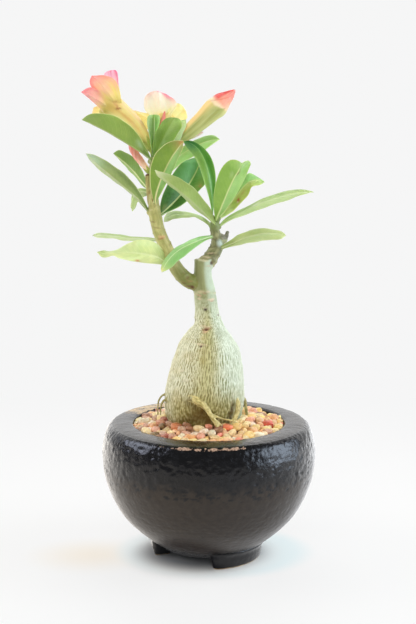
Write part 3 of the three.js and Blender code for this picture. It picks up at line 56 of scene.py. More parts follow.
# ---------------------------------------------------------------- tables, mm
LEAVES = {
    "leaf_left_01": ([[-39.6,-1,279.5],[-43,-3.7,282.5],[-46.5,-6.1,285.3],[-50,-8,288],[-53.7,-9.7,290.5],[-57.4,-11.1,292.9],[-61.3,-12,295.2],[-65.1,-12.5,297.5],[-68.9,-12.9,299.7],[-72.9,-13,301.7],[-77,-12.9,303.7],[-81,-12.6,305.7],[-85.2,-12,307.4]],
        [[-39.6,-1,281.6],[-41.8,-3.7,286.2],[-44.1,-6.1,290.8],[-46.5,-8,295.3],[-49.2,-9.7,299.5],[-52.7,-11.1,303.1],[-56.8,-12,306.1],[-61.1,-12.5,308.7],[-65.7,-14.8,310.6],[-70.4,-17.7,311.5],[-75.3,-19.1,311.4],[-80.4,-18.4,310.3],[-85.2,-12,307.4]],
        [[-39.7,0.5,279.5],[-41.1,-3.3,284.1],[-43.8,-4.9,288],[-47.1,-4.5,291.5],[-50.7,-4.4,294.6],[-54.5,-4.2,297.5],[-58.6,-3.7,300],[-63,-2.9,302.1],[-67.6,-2.3,303.7],[-72.1,-2.6,305.2],[-76.6,-3.3,306.5],[-81.2,-5.3,307.5],[-85.2,-12,307.4]]),
    "leaf_left_02": ([[-42,-2,245.1],[-44.6,-3.9,249.2],[-47.5,-5.6,253],[-50.9,-7,256.5],[-54.4,-8.2,259.7],[-58.1,-9.3,262.8],[-61.7,-10,265.9],[-65.3,-10.5,269],[-68.9,-10.9,272.1],[-72.6,-11,275.1],[-76.2,-10.9,278.2],[-79.5,-10.6,281.6],[-83.1,-10,284.8]],
        [[-42,-2,247.8],[-44,-3.9,252.3],[-46.1,-5.6,256.7],[-48.5,-7,260.9],[-51.1,-9.6,264.9],[-54.2,-12.5,268.6],[-57.6,-14.8,271.8],[-61.2,-16.6,274.8],[-64.9,-17.9,277.7],[-68.9,-18.1,280.2],[-73.2,-17.7,282.4],[-77.8,-16.2,284.1],[-83.1,-10,284.8]],
        [[-42.1,-1,244.3],[-45.1,-2.1,248.1],[-48.4,-2.5,251.8],[-51.9,-2.3,255.3],[-55.5,-2.1,258.6],[-59.3,-1.9,261.7],[-63.3,-1.8,264.5],[-67.4,-1.6,267.3],[-71.3,-1.6,270.1],[-74.8,-2,273.5],[-78.3,-2.8,276.9],[-81.5,-4.6,280.4],[-83.1,-10,284.8]]),
    "leaf_left_03": ([[-41.7,0.7,260.7],[-44.1,4.8,263],[-46.5,8.6,265.2],[-48.4,12,267.2],[-50.3,15.3,269.3],[-52.3,18.3,271.4],[-54.4,21,273.4],[-56.5,23.3,275.3],[-58.7,25.4,277.2],[-61,27,278.9],[-63.4,28.3,280.7],[-65.7,29.3,282.4],[-67.7,30,284.4]],
        [[-41.4,0.7,263.8],[-43.1,4.8,266.6],[-44.7,8.6,269.3],[-46.1,12,272],[-47.6,15.3,274.6],[-49.1,15.8,277.3],[-51,17.3,279.7],[-53.1,18.6,281.9],[-55.6,19.7,283.6],[-58.5,21.1,285],[-61.5,23,286.3],[-64.5,24.8,286.2],[-67.7,30,284.4]],
        [[-41.7,1.3,259.7],[-44.9,6,261.5],[-47.6,11,263.4],[-49.6,16.2,265.5],[-51.6,20.9,267.6],[-53.9,25.1,269.6],[-56.1,28.6,271.5],[-58.4,31.7,273.4],[-60.6,34.2,275.5],[-62.5,35.6,277.7],[-64.4,36,279.9],[-66.3,35.2,282.1],[-67.7,30,284.4]]),
    "leaf_left_04": ([[-40.8,2.3,257.7],[-43.9,6.9,258.1],[-46.5,10.9,258.1],[-48.6,14,257.8],[-50.4,17,257.2],[-51.8,19.8,256],[-52.9,22,254.1],[-53.6,23.6,252.3],[-54.1,25,250.5],[-54.5,26,248.6],[-54.6,26.8,246.7],[-54.6,27.5,244.9],[-54.5,28,243.1]],
        [[-40.8,2.3,259.4],[-44.1,6.9,260.3],[-47,12.2,260.5],[-49.3,17.3,260],[-51.5,21.7,259],[-53.4,25.7,257.4],[-54.8,28.7,255.4],[-55.3,31,253.3],[-55.7,32.8,251.1],[-55.9,33.6,248.9],[-55.9,33.7,246.7],[-55.6,32.7,244.7],[-54.5,28,243.1]],
        [[-40.9,2.3,256],[-43.4,6.9,255.2],[-45.6,10.9,254.3],[-46.9,14,253.5],[-48.1,16.1,252.6],[-49,16.3,251.7],[-49.8,16.8,250.6],[-50.6,17.2,249.5],[-51.2,17.9,248.2],[-51.7,18.9,246.9],[-52.4,20.3,245.7],[-53.3,22.5,244.5],[-54.5,28,243.1]]),
    "leaf_left_05": ([[-34.8,0.2,225],[-39.1,5.4,225.1],[-43.3,10,224.9],[-47.4,14,224.6],[-51.5,17.7,224.4],[-55.6,21.1,224.1],[-59.6,24,224.3],[-63.7,26.4,224.8],[-67.7,28.4,225.1],[-71.8,30,225.4],[-75.8,31.3,225.7],[-79.8,32.3,225.6],[-83.9,33,225.4]],
        [[-35.5,0.2,226.1],[-39.7,6.6,226.2],[-44,12.6,225.9],[-48.2,18.1,225.5],[-52.4,23.1,225.2],[-56.5,27.6,225.1],[-60.6,31.3,225.3],[-64.7,34.3,225.6],[-68.9,36.8,225.8],[-72.9,38.1,226.1],[-76.8,38.5,226.5],[-80.7,37.7,226.5],[-83.9,33,225.4]],
        [[-34.8,-0.2,224],[-39.1,4.1,223.9],[-43.3,7.4,223.8],[-47.3,9.9,223.8],[-51.3,12.3,223.5],[-55.3,14.7,223.2],[-59.4,16.7,223.3],[-63.4,18.5,223.6],[-67.4,20.1,224.2],[-71.4,21.9,224.6],[-75.5,24.1,224.5],[-79.8,27,224.4],[-83.9,33,225.4]]),
    "leaf_left_06": ([[-29.9,-4.2,209.6],[-32.4,-9,212.5],[-35.4,-13.3,214.8],[-39.2,-17,216.4],[-43.1,-20.1,217.6],[-47,-22.7,218.2],[-50.9,-25,218.6],[-54.9,-26.9,218.8],[-58.8,-28.6,219],[-62.8,-30,219],[-66.7,-31.2,219],[-70.7,-32.2,219],[-74.4,-33,220.2]],
        [[-30.6,-4.2,215.1],[-32.1,-9,219.8],[-34.6,-13.3,223.4],[-38.3,-17,226],[-42.4,-20.1,227.2],[-46.7,-22.7,227.5],[-50.9,-24.7,226.6],[-55.2,-20.7,224.5],[-59.1,-20.4,222.3],[-63,-21.3,220.2],[-66.9,-23.3,219.1],[-70.9,-26.6,220.5],[-74.4,-33,220.2]],
        [[-30,-4.2,208.2],[-33,-9,209.1],[-36.4,-13.3,210],[-40.5,-17,210.8],[-44.5,-20.1,211.6],[-48.2,-26.8,212.9],[-52.1,-30.9,214],[-55.9,-34.3,215.1],[-59.7,-37,216.5],[-63.3,-38.7,218.4],[-67.1,-38.8,217.6],[-71.2,-37.7,217.5],[-74.4,-33,220.2]]),
    "leaf_left_07": ([[-37,-5.2,251],[-36.3,-8.3,255.2],[-35.3,-11.3,259.2],[-34,-14,263],[-32.6,-16.8,266.8],[-31,-19.5,270.4],[-29.3,-22,274],[-27.5,-24.2,277.5],[-25.6,-26.2,280.9],[-23.6,-28,284.2],[-21.3,-29.5,287.3],[-19.1,-30.9,290.4],[-16.8,-32,293.4]],
        [[-37.6,-6.3,251.8],[-38.7,-8.3,256.4],[-39.5,-11.3,261.1],[-39.7,-14,265.8],[-39.6,-16.8,270.5],[-39.2,-19.5,275.2],[-37.9,-22,279.7],[-36.1,-24.2,283.9],[-33.2,-30.1,287.7],[-29.6,-33.8,290.6],[-25.4,-36.3,292.6],[-21.1,-36.8,293.8],[-16.8,-32,293.4]],
        [[-36,-4.5,251.7],[-33.9,-7.8,255.3],[-32,-9.7,258.7],[-30.1,-10.2,262.1],[-28.3,-11.2,265.5],[-26.5,-12.4,268.9],[-24.8,-13.7,272.3],[-23.1,-14.9,275.8],[-21.7,-16.2,279.3],[-20.2,-18.1,282.8],[-18.6,-20.5,286.2],[-17,-24.1,289.7],[-16.8,-32,293.4]]),
    "leaf_left_08": ([[-36.7,-1.6,278.2],[-36.2,-3.7,281],[-35.6,-5.8,283.8],[-34.7,-8,286.5],[-33.7,-10.1,289.2],[-32.5,-12.1,291.7],[-31.2,-14,294.2],[-29.8,-15.8,296.7],[-28.5,-17.6,299.1],[-27.1,-19,301.5],[-25.7,-20.2,303.9],[-24.3,-21.2,306.3],[-22.8,-22,308.6]],
        [[-37.3,-2.5,278.9],[-37.8,-4.9,282.1],[-38,-8,285.3],[-37.8,-11.8,288.4],[-37.5,-15.1,291.6],[-36.9,-18.2,294.7],[-35.9,-21,297.6],[-34.5,-23.7,300.4],[-32.8,-26.1,303],[-30.9,-27.3,305.6],[-28.6,-27.9,307.7],[-25.8,-27.4,308.4],[-22.8,-22,308.6]],
        [[-35.3,-1.6,278.2],[-33.6,-3.7,281],[-31.7,-5.8,283.7],[-29.7,-6.4,286.2],[-27.5,-7.2,288.7],[-25.6,-7.9,291.3],[-23.7,-8.8,293.9],[-21.9,-9.9,296.6],[-20.1,-11.5,299.3],[-18.5,-13.8,302.2],[-18.2,-15.4,305.2],[-19.7,-16.4,307.7],[-22.8,-22,308.6]]),
    "leaf_left_09": ([[-40.2,2.9,280.1],[-39.3,3.2,282.7],[-38.7,3.9,285.3],[-38.6,5,287.9],[-38.4,6.3,290.4],[-38,7.7,293],[-37.8,9,295.6],[-37.6,10.1,298.1],[-37.4,11.1,300.7],[-37.5,12,303.3],[-37.6,12.8,305.9],[-37.8,13.4,308.5],[-38,14,311.1]],
        [[-40.5,1.8,280.2],[-39.7,1.4,283],[-39.4,0.9,285.9],[-39.6,0.7,288.7],[-40,0.8,291.6],[-40.4,1.4,294.4],[-41,2.1,297.2],[-41.5,2.9,300],[-42.1,4,302.8],[-42.5,5.5,305.7],[-42.3,7.5,308.9],[-41.2,9.3,310.5],[-38,14,311.1]],
        [[-39.8,1.8,280.2],[-38.7,1.3,283],[-37.9,0.9,285.9],[-37.5,0.6,288.8],[-37.1,0.6,291.6],[-36.6,0.9,294.4],[-36,1.4,297.2],[-35.3,1.9,300],[-34.4,2.8,302.8],[-33.6,4.4,305.5],[-33.7,6.5,308.8],[-34.4,9,310.6],[-38,14,311.1]]),
    "leaf_left_10": ([[-34.8,0.8,278.1],[-34.1,1.8,280.6],[-33.1,2.9,283.2],[-31.5,4,285.7],[-29.9,5.2,288.1],[-28.2,6.6,290.6],[-26.5,8,293.1],[-24.9,9.4,295.6],[-23.2,10.8,298.1],[-21.5,12,300.6],[-19.8,13.1,303.1],[-17.9,14.1,305.5],[-15.9,15,307.7]],
        [[-35.2,1.7,278.7],[-35.4,2.9,281.8],[-35,4.8,284.7],[-34,7.4,287.6],[-32.8,9.9,290.4],[-31.4,12.5,293.1],[-29.8,14.8,295.8],[-28.1,16.9,298.5],[-26.4,18.8,301.1],[-24.3,19.9,303.4],[-21.9,20.3,305.6],[-19.1,19.7,307],[-15.9,15,307.7]],
        [[-34.1,0.1,277.4],[-32.6,1.1,279.5],[-30.9,1.3,281.6],[-28.6,1,283.7],[-26.3,1.1,285.9],[-24,1.5,288.1],[-22,2,290.4],[-20.2,2.6,293],[-18.7,3.3,295.7],[-17.6,4.4,298.6],[-16.5,6.1,301.6],[-15.6,8.8,304.5],[-15.9,15,307.7]]),
    "leaf_left_11": ([[-35.9,2.9,262.3],[-33.7,6.7,266.3],[-31.3,10,270.1],[-28.7,13,273.9],[-25.8,15.6,277.6],[-22.5,17.9,280.8],[-18.7,20,283.6],[-14.7,21.9,286.1],[-10.5,23.6,288.4],[-6.2,25,290.4],[-1.7,26.2,292.1],[2.9,27.2,293.3],[7.7,28,294]],
        [[-36.5,2.9,264.4],[-34.7,6.7,268.9],[-32.6,10,273.2],[-30.2,16.1,277.3],[-27.3,20.3,281.3],[-23.9,24.1,284.7],[-19.9,27.2,287.7],[-15.7,29.7,290.6],[-11.3,31.8,293.1],[-6.5,32.9,295],[-1.6,33.2,296.6],[3.6,32.4,296.6],[7.7,28,294]],
        [[-34.8,2.9,261.6],[-31.8,6.7,264.7],[-28.8,10,267.9],[-25.9,10,271.4],[-22.8,11.1,274.6],[-19.4,12,277.6],[-15.6,13.3,279.9],[-11.4,14.9,281.6],[-7.4,16,283.7],[-3.6,17.2,286.3],[0.1,18.8,288.9],[3.9,21.4,291.4],[7.7,28,294]]),
    "leaf_left_12": ([[-34.6,1.8,241],[-31.4,7.4,243.8],[-28.2,12.4,246.7],[-25.3,16,249.4],[-22.4,19.3,252.3],[-19.5,22.3,255.4],[-16.8,25,258.6],[-14.3,27.6,261.9],[-12.1,30,265.5],[-9.9,32,269.2],[-7.9,33.6,273],[-6,35,276.9],[-4.2,36,280.8]],
        [[-34.7,3.1,241.6],[-34.3,7.4,246],[-33.8,12.4,250.4],[-32.7,16,254.8],[-31,19.3,259],[-29,22.3,263.2],[-26.9,25,267.3],[-24.5,27.6,271.4],[-21.7,30,275.2],[-18.2,32,278.5],[-13.8,37.4,280.1],[-9.1,40.4,281],[-4.2,36,280.8]],
        [[-34.2,0.3,240.7],[-30,5.4,243.4],[-25.3,10.2,245.1],[-21,12.8,247],[-17.1,14.8,249.6],[-13.3,16.5,252.6],[-9.6,18.7,255.5],[-6.1,21.2,258.8],[-2.8,24.2,262.2],[-1.7,25,266.9],[-1.7,25.9,271.8],[-2.2,28.5,276.5],[-4.2,36,280.8]]),
    "leaf_right_01": ([[1.6,5.7,233.8],[-0.2,8.7,236],[-2.3,11.8,237.7],[-5.1,15,239.2],[-8,18.2,240.3],[-11.1,21.3,241],[-14.3,24,241.2],[-17.6,26.3,241.2],[-20.9,28.4,241],[-24.2,30,240.6],[-27.4,31.3,239.6],[-30,32.3,237.9],[-32.3,33,235.2]],
        [[1.6,5.7,235.2],[-0.3,9,237.7],[-2.7,14,239.2],[-5.9,18.8,240.1],[-9.2,23.2,241],[-12.6,27.3,241.6],[-16.1,30.7,242.1],[-19.6,33.5,242.5],[-23.2,35.7,242.9],[-26.8,36.9,242.6],[-30,37.4,241.5],[-31.7,37.2,238.4],[-32.3,33,235.2]],
        [[1.6,5.7,232.4],[-0.2,8,234.4],[-2.4,9.6,236.2],[-4.9,11.3,237.7],[-7.7,13.3,239],[-10.6,15.2,240],[-13.7,17.2,239.9],[-16.8,19.2,239.2],[-19.9,21,238.7],[-23.1,22.9,238.3],[-26.2,24.8,237.6],[-29.2,27.6,236.1],[-32.3,33,235.2]]),
    "leaf_right_02": ([[2.7,1.6,241.6],[2.7,0.9,246.3],[2.5,0.3,251.2],[2.2,0,256.2],[1.7,0,261.2],[1,0,266.2],[0,0,271.1],[-1.3,0.3,275.9],[-3.1,1.1,280.5],[-5.3,2,285],[-8.4,3.1,288.9],[-12.6,4.4,291.6],[-17.5,6,292.9]],
        [[2.8,0.3,241.7],[3.2,-1.2,246.9],[3.7,-2.9,252.2],[4,-4.6,257.7],[4.5,-5.7,263.1],[4.7,-6.6,268.5],[4.1,-7.4,273.8],[2.8,-7.8,279],[0.5,-7.7,283.8],[-2.9,-7,287.8],[-7.1,-5.2,291.2],[-12,-1.9,293.3],[-17.5,6,292.9]],
        [[2.3,0.3,241.7],[1.7,-1.1,246.1],[0.9,-2.7,250.6],[-0.2,-4.3,255.3],[-1.5,-5.5,259.9],[-2.9,-6.4,264.4],[-4.2,-7.3,268.9],[-5.6,-7.7,273.3],[-7.3,-7.3,277.6],[-9.5,-6,281.8],[-12.3,-3.8,285.4],[-15.5,-0.7,288.9],[-17.5,6,292.9]]),
    "leaf_right_03": ([[3.5,-0.5,236.3],[0.5,-4.4,240.1],[-2.6,-8.2,243.8],[-5.7,-12,247.3],[-9,-15.6,250.6],[-12.2,-19,253.9],[-15.6,-22,257],[-18.9,-24.7,260],[-22.3,-27,262.9],[-25.7,-29,265.7],[-29.2,-30.6,268.4],[-32.6,-32,271.2],[-35.5,-33,274.4]],
        [[3.5,-0.5,240.1],[2.4,-4.4,244.9],[0.1,-8.2,249.1],[-2.8,-12,252.8],[-5.6,-15.6,256.6],[-8.4,-19,260.2],[-11.6,-24.3,263.6],[-15.1,-29.2,266.4],[-18.8,-33.3,268.8],[-22.8,-35.9,270.6],[-26.9,-37.4,272],[-31.1,-37.3,273.3],[-35.5,-33,274.4]],
        [[3.1,0.6,235.9],[-0.1,-2.6,239.5],[-3.7,-5.5,242.5],[-7.5,-8.1,245.3],[-11,-10.4,248.4],[-14.1,-12.4,251.9],[-17.2,-14.3,255.3],[-20.5,-16.2,258.5],[-23.8,-18.2,261.6],[-27.3,-20.4,264.4],[-30.9,-23,267.2],[-34.2,-26.3,270.2],[-35.5,-33,274.4]]),
    "leaf_right_04": ([[5.1,0,239.8],[6.5,-3.5,243.3],[7.9,-6.6,246.7],[9.2,-9,250.1],[10.6,-11.2,253.4],[11.9,-13.1,256.7],[13.2,-15,260],[14.6,-16.8,263.2],[16,-18.6,266.4],[17.5,-20,269.5],[19.3,-21.2,272.5],[20.8,-22.2,275.6],[22,-23,278.7]],
        [[4.4,-1.2,239.9],[3.6,-3.5,244.3],[3.2,-6.6,248.9],[3.2,-9,253.5],[3.4,-11.2,257.9],[4.1,-13.1,262.3],[5,-15,266.6],[6.3,-16.8,270.8],[8.2,-18.6,274.7],[10.7,-20,278.2],[14.1,-21.2,280.6],[18.2,-26.5,280.8],[22,-23,278.7]],
        [[6.1,-1,239.8],[9,-3.5,243.5],[11.8,-6.6,247.1],[14.4,-11,250.9],[16.8,-14.4,254.6],[19,-17.6,258.5],[21,-20.1,262.4],[22.9,-22.4,266.3],[24.7,-24,270.3],[26.4,-23.6,274.2],[28,-21.2,278.1],[26.3,-22.2,280.3],[22,-23,278.7]]),
    "leaf_right_05": ([[7.2,4.1,240.2],[9.4,7.7,242.8],[11.7,11,245.4],[14,14,248],[16.3,16.6,250.7],[18.7,18.9,253.5],[21,21,256.3],[23.3,22.8,259.1],[25.9,24.5,261.7],[28.9,26,263.9],[32.4,27.4,265],[36.2,28.8,265],[39.8,30,263.8]],
        [[6.9,5,240.8],[8.7,8.6,244.3],[10.7,12.7,247.7],[13,17.2,250.9],[15.5,21.1,254.2],[18,24.4,257.5],[20.5,27.2,260.9],[22.9,29.4,264.4],[25.5,30.9,267.7],[28.8,31.7,270.2],[32.9,34.3,268.5],[36.6,34.5,266.2],[39.8,30,263.8]],
        [[7.9,3.4,239.6],[11,7.7,240.8],[13.9,11,242.3],[16.9,14,244.1],[19.4,14.3,246.5],[21.8,14.7,249.1],[24.3,16,251.4],[26.7,17.1,254],[28.4,17.6,257],[30,18.3,260.4],[32.8,20.7,261.5],[36.5,23.9,262.1],[39.8,30,263.8]]),
    "leaf_right_06": ([[7.6,3,234.7],[11.6,4.6,238],[16.2,5.9,240.7],[21.6,7,243.3],[27,7.9,245.7],[32.5,8.7,248.1],[38,9,250.5],[43.6,8.9,252.5],[49.3,8.5,254.3],[55,8,255.9],[60.8,7.3,257.1],[66.6,6.3,257.8],[72.5,5,258.1]],
        [[7.6,3,236.1],[11.4,5.7,239.6],[16,8.4,242.5],[21.4,11.2,245.1],[26.9,13.5,247.6],[32.5,15.4,250.2],[38.1,16.6,252.7],[43.7,17.2,254.9],[49.5,17.2,256.8],[55.4,16.4,258.4],[61.3,14.9,259.1],[67.2,12.1,258.9],[72.5,5,258.1]],
        [[7.6,3,233.4],[11.5,3,236.8],[16.3,3.4,239],[21.9,3.1,241],[27.4,2.6,243.2],[32.9,2.2,245.5],[38.5,1.7,247.5],[44.1,0.9,249.3],[49.6,0.1,251.2],[55.2,-0.3,253.1],[60.6,-0.4,255.3],[66.3,0.4,256.9],[72.5,5,258.1]]),
    "leaf_right_07": ([[9,-0.6,219.7],[13.1,-5.1,221.9],[17,-9,223.8],[20.3,-12,225.7],[23.6,-14.6,227.2],[27,-16.9,228.6],[30.5,-19,229.8],[33.9,-20.9,230.9],[37.4,-22.6,231.5],[41,-24,231.7],[44.5,-25.2,231.6],[48.1,-26.2,231.3],[51.6,-27,230.6]],
        [[8.7,-0.6,221.1],[12.5,-5.1,224.2],[16.1,-9,226.9],[19.4,-9.4,229.1],[22.9,-10.5,231],[26.5,-11.5,232.5],[30.3,-12.4,233.6],[34.1,-13.3,234.3],[38,-14.4,234.4],[41.8,-15.9,234.2],[45.5,-17.8,233.6],[49.1,-20.6,232.6],[51.6,-27,230.6]],
        [[9.3,-1,218.7],[13.5,-6.5,220.7],[17.5,-11.4,222.1],[21,-15.6,223.2],[24.4,-19.4,224.4],[27.7,-22.9,225.4],[31.1,-25.7,226.4],[34.5,-28.2,227.1],[37.9,-30.3,227.7],[41.4,-31.5,228.1],[44.9,-31.9,228.3],[48.3,-31.4,229.2],[51.6,-27,230.6]]),
    "leaf_right_08": ([[2.3,0,227.4],[-1.7,-5.3,226.7],[-5.4,-10,225.9],[-8.7,-14,225],[-11.9,-17.7,224],[-15.1,-21,222.8],[-18.2,-24,221.5],[-21,-26.7,219.8],[-23.7,-29,217.8],[-26,-31,215.4],[-28,-32.6,212.8],[-29.7,-34,209.9],[-31.3,-35,206.9]],
        [[2,0.4,228.4],[-2.4,-4.7,228.6],[-6.5,-8.1,228.2],[-10.1,-10.2,227.2],[-13.6,-12.2,226],[-17,-14.2,224.4],[-20.3,-16.1,222.7],[-23.3,-18,220.7],[-26.1,-19.9,218.4],[-28.6,-22.2,215.8],[-30.6,-24.7,212.9],[-31.9,-28.1,209.7],[-31.3,-35,206.9]],
        [[2.3,-0.7,226.4],[-1.5,-7.1,225.8],[-4.7,-12.8,224.5],[-7.4,-18,222.9],[-10.1,-22.8,221.4],[-12.7,-27.1,219.8],[-15.3,-30.7,218],[-17.9,-34.1,216.4],[-20.3,-37,214.5],[-22.7,-38.7,212.5],[-25.3,-39.8,210.5],[-28.1,-39.7,208.7],[-31.3,-35,206.9]]),
}
LOBES = {
    "flower_left": [
        ([[-69.5,10,315.8],[-72,7.1,318.1],[-74.7,5.2,320.1],[-77.6,4,321.8],[-80.6,2.6,323.4],[-83.7,1.6,324.8],[-87,1,326]],
         [[-66.7,10,320.2],[-70,11.3,323],[-73.4,11.2,325.3],[-76.8,10,327.5],[-80.4,8.6,329.4],[-84.2,7.6,328.6],[-87,1,326]],
         [[-72.1,11.3,311.8],[-74.7,12.1,314.4],[-77.4,13,316.9],[-80,13,319.4],[-82.6,11.6,321.8],[-85.3,10.6,324],[-87,1,326]]),
        ([[-64.9,9,319.9],[-66.8,5.9,323.1],[-69,4.5,326.2],[-71.5,4,329.1],[-74.3,4.6,331.9],[-77.2,5.3,334.6],[-80.2,6,337.2]],
         [[-69.2,11.1,318.2],[-71.9,10.3,321.3],[-74.9,11.1,324.2],[-78,11.5,326.9],[-81.2,12.1,329.8],[-82.2,12.8,333.7],[-80.2,6,337.2]],
         [[-60.2,10.1,319.9],[-60.6,7.4,325.1],[-62,7.1,330.3],[-64.8,8.9,334.9],[-70,12.9,337.5],[-75.6,14.2,337.9],[-80.2,6,337.2]]),
        ([[-65.6,22,319.2],[-66.3,24.1,323],[-66.9,26,326.8],[-67.4,27.6,330.7],[-68,29,334.5],[-68.6,30.1,338.3],[-69.2,31,342.1]],
         [[-69.6,19.5,318.4],[-70.9,21.1,322.7],[-72.1,23,326.9],[-73.1,24.6,331.3],[-73.4,26,335.8],[-72.9,27.1,340],[-69.2,31,342.1]],
         [[-61.2,19.5,319.8],[-61.7,21.1,324.1],[-62.3,23,328.5],[-63,24.6,332.8],[-63.5,26,337.2],[-64.7,27.1,341.5],[-69.2,31,342.1]]),
        ([[-71.8,20,314.3],[-73.8,22.6,313.9],[-75.7,25,313.4],[-77.8,27.1,312.9],[-79.6,29,312.3],[-81.1,30.6,311.2],[-82.5,32,309.7]],
         [[-69.9,22.8,317.8],[-73.1,25.6,317.7],[-76.3,28,317.5],[-79.4,30.1,317.2],[-82,32,315.6],[-82.5,33.6,313.1],[-82.5,32,309.7]],
         [[-71.6,17.3,310.2],[-73.5,19.6,309.4],[-75.3,22,308.6],[-77.2,24.1,307.6],[-79,26,307.2],[-80.7,27.6,307.9],[-82.5,32,309.7]]),
        ([[-69.3,24,318.2],[-71.5,28.3,320.3],[-73.6,32,322.4],[-75.8,35.3,324.5],[-77.8,38,326.6],[-79.9,40.2,328.6],[-82.1,42,330.6]],
         [[-65,23.1,320.6],[-66.6,25.3,324.1],[-68.9,29,327.2],[-71.8,32.3,330.1],[-75.2,35,332.1],[-78.9,37.2,333.2],[-82.1,42,330.6]],
         [[-72.7,22.5,315.1],[-75.5,24.1,317.1],[-78.3,26,319.3],[-81.5,29.3,321.4],[-83.2,32,324.3],[-83.7,34.2,327.6],[-82.1,42,330.6]]),
    ],
    "flower_centre": [
        ([[-31.8,14,308.8],[-32.6,15.5,311.9],[-33.3,17,315],[-34,18.7,318.2],[-34.6,20,321.3],[-35.1,20.7,324.5],[-35.5,21,327.7]],
         [[-37.7,14,307.7],[-41.7,15.5,310.7],[-44.6,17,314.7],[-45.3,18.7,319.3],[-44.5,26.7,324.2],[-40.8,29.5,327.2],[-35.5,21,327.7]],
         [[-26.3,14,310.8],[-24.1,15.5,314.4],[-22.3,17,318.2],[-24.1,22.1,321.9],[-28.1,29.5,324.4],[-31.9,30.5,326.4],[-35.5,21,327.7]]),
        ([[-27,15,306.7],[-25.3,17.1,308.1],[-23.6,19,309.5],[-21.9,20.6,310.8],[-20,22,312.1],[-18.1,23.1,313.1],[-16,24,314.1]],
         [[-28.4,15,312.9],[-26.9,17.1,315.5],[-25.2,23.2,318],[-23,27.9,319.4],[-20.1,31,318.6],[-17.8,32.1,316.7],[-16,24,314.1]],
         [[-27,15,301.2],[-24,21.2,302.1],[-21.1,25.8,303.5],[-18.4,29.6,305.4],[-16,32.4,307.9],[-15.5,33.1,311],[-16,24,314.1]]),
        ([[-35.4,16,304.7],[-39.2,18.1,306.7],[-42.9,19.8,308.8],[-46.7,21,310.9],[-50.5,21.8,312.8],[-54.2,22,314.8],[-57.9,22,316.8]],
         [[-34,16.8,309.8],[-38.2,23.8,311.4],[-42.3,25.8,312.2],[-46.5,27,312.8],[-50.6,27.8,313.9],[-54.5,28,315.3],[-57.9,22,316.8]],
         [[-36.9,18,299.8],[-41.9,21.2,300.5],[-46.3,25.8,302.3],[-50,27,305.5],[-53.5,27.8,308.9],[-56.2,28,312.7],[-57.9,22,316.8]]),
        ([[-29.3,21,304.7],[-28.2,25,303.5],[-27.2,29,302.4],[-26.1,33.1,301.2],[-25,37,300],[-24,40.6,298.7],[-22.9,44,297.4]],
         [[-25.9,24,307.5],[-23.4,28,306.9],[-21.2,32,305.8],[-19.2,36.1,303.9],[-19.5,40,301.3],[-20.6,43.6,299],[-22.9,44,297.4]],
         [[-32.9,24,303.3],[-32.6,28,300.7],[-31.8,32,298.1],[-30.2,36.1,296.1],[-27.7,40,295],[-25.3,43.6,295.4],[-22.9,44,297.4]]),
        ([[-32.8,21,304],[-34.1,25.1,303.1],[-35.3,29,302.3],[-36.6,32.6,301.4],[-37.8,36,300.4],[-38.9,39.1,299.3],[-39.8,42,298.1]],
         [[-30.1,24,301.9],[-30.8,28.1,299.7],[-31.9,32,297.6],[-33.7,35.6,296],[-36.1,39,295.7],[-38.3,42.1,296],[-39.8,42,298.1]],
         [[-35.7,24,306.5],[-38.5,28.1,306.4],[-41.1,32,305.9],[-43,35.6,304.1],[-43,39,301.5],[-42.3,42.1,299.5],[-39.8,42,298.1]]),
    ],
}
TUBES = {
    "flower_left": [[-39.9,6,287.6,2.1],[-42.4,7.5,292.3,3.2],[-45.9,9.5,297.8,4.3],[-50.1,11.5,302.9,5.4],[-55,13.5,307.7,6.2],[-60.6,15,312.2,7],[-66.2,16,316.1,8.2]],
    "flower_centre": [[-35.5,9,288.2,2],[-34.2,10.5,292.3,2.9],[-32.9,12.5,296.4,4.2],[-31.5,14.8,300.2,5.5],[-30.6,17.5,304.3,6.8],[-30.3,20,307.1,7.8]],
    "bud_right": [[-30.7,8,284.8,1.8],[-26.6,9.5,288.5,2.3],[-21.4,11,293,3.4],[-16.2,12,297.2,4.6],[-10.3,12.5,302.4,5.5],[-4.4,12.5,307.5,6.2],[0.8,12.5,312.4,7],[5.3,12.5,316.3,7.4],[9.1,12.5,319.8,6.3],[12.5,12.5,322.8,4.5],[15.5,12.5,325.5,2.7],[17.9,12.5,327.6,0.8]],
    "bud_left_small": [[-41.1,7,271.8,1.5],[-44,9,275.2,2],[-47.4,11.5,279.2,2.5],[-50.4,13.5,283,2.6],[-52.7,15,286.5,2.4],[-54.5,16,289.6,1.7],[-55.7,16.5,292.1,0.5]],
    "bud_right_small": [[-26.4,17,290.2,1.1],[-21.9,18.5,292.5,1.4],[-17.4,19.5,294.3,1.6],[-13.2,20,295.7,1.8],[-9.4,20.5,297.1,1.6],[-6.2,21,298.2,1.1],[-4.1,21,299,0.4]],
    "bud_centre_small": [[-35.5,3.5,286.2,1],[-34.3,5.5,292.3,1.4],[-33.1,7.5,299.2,1.7],[-32.1,9,304.6,1.7],[-31.2,10,309.2,1.3],[-30.5,10.5,313.2,0.4]],
}
STALKS = {
    "flower_left": [[-38.8,3.8,282.5,1.2],[-39.1,4.5,284,1.2],[-39.5,5.2,285.8,1.5]],
    "flower_centre": [[-36.9,4.1,282,1.2],[-36.3,6.1,283.9,1.2],[-35.9,7.8,286.2,1.5]],
    "bud_right": [[-35.9,3.6,281.8,1.2],[-34,5.5,282.5,1.2],[-32.4,7,283.5,1.4]],
    "bud_left_small": [[-39.4,3.7,269.5,0.9],[-40.2,5.4,270.5,1]],
    "bud_right_small": [[-36.4,3.8,282.3,0.9],[-32.3,10,286.1,0.9],[-28.2,15.8,289.2,1]],
    "bud_centre_small": [[-34.9,1.5,281.1,0.8],[-35.3,2.7,283.8,0.8]],
}
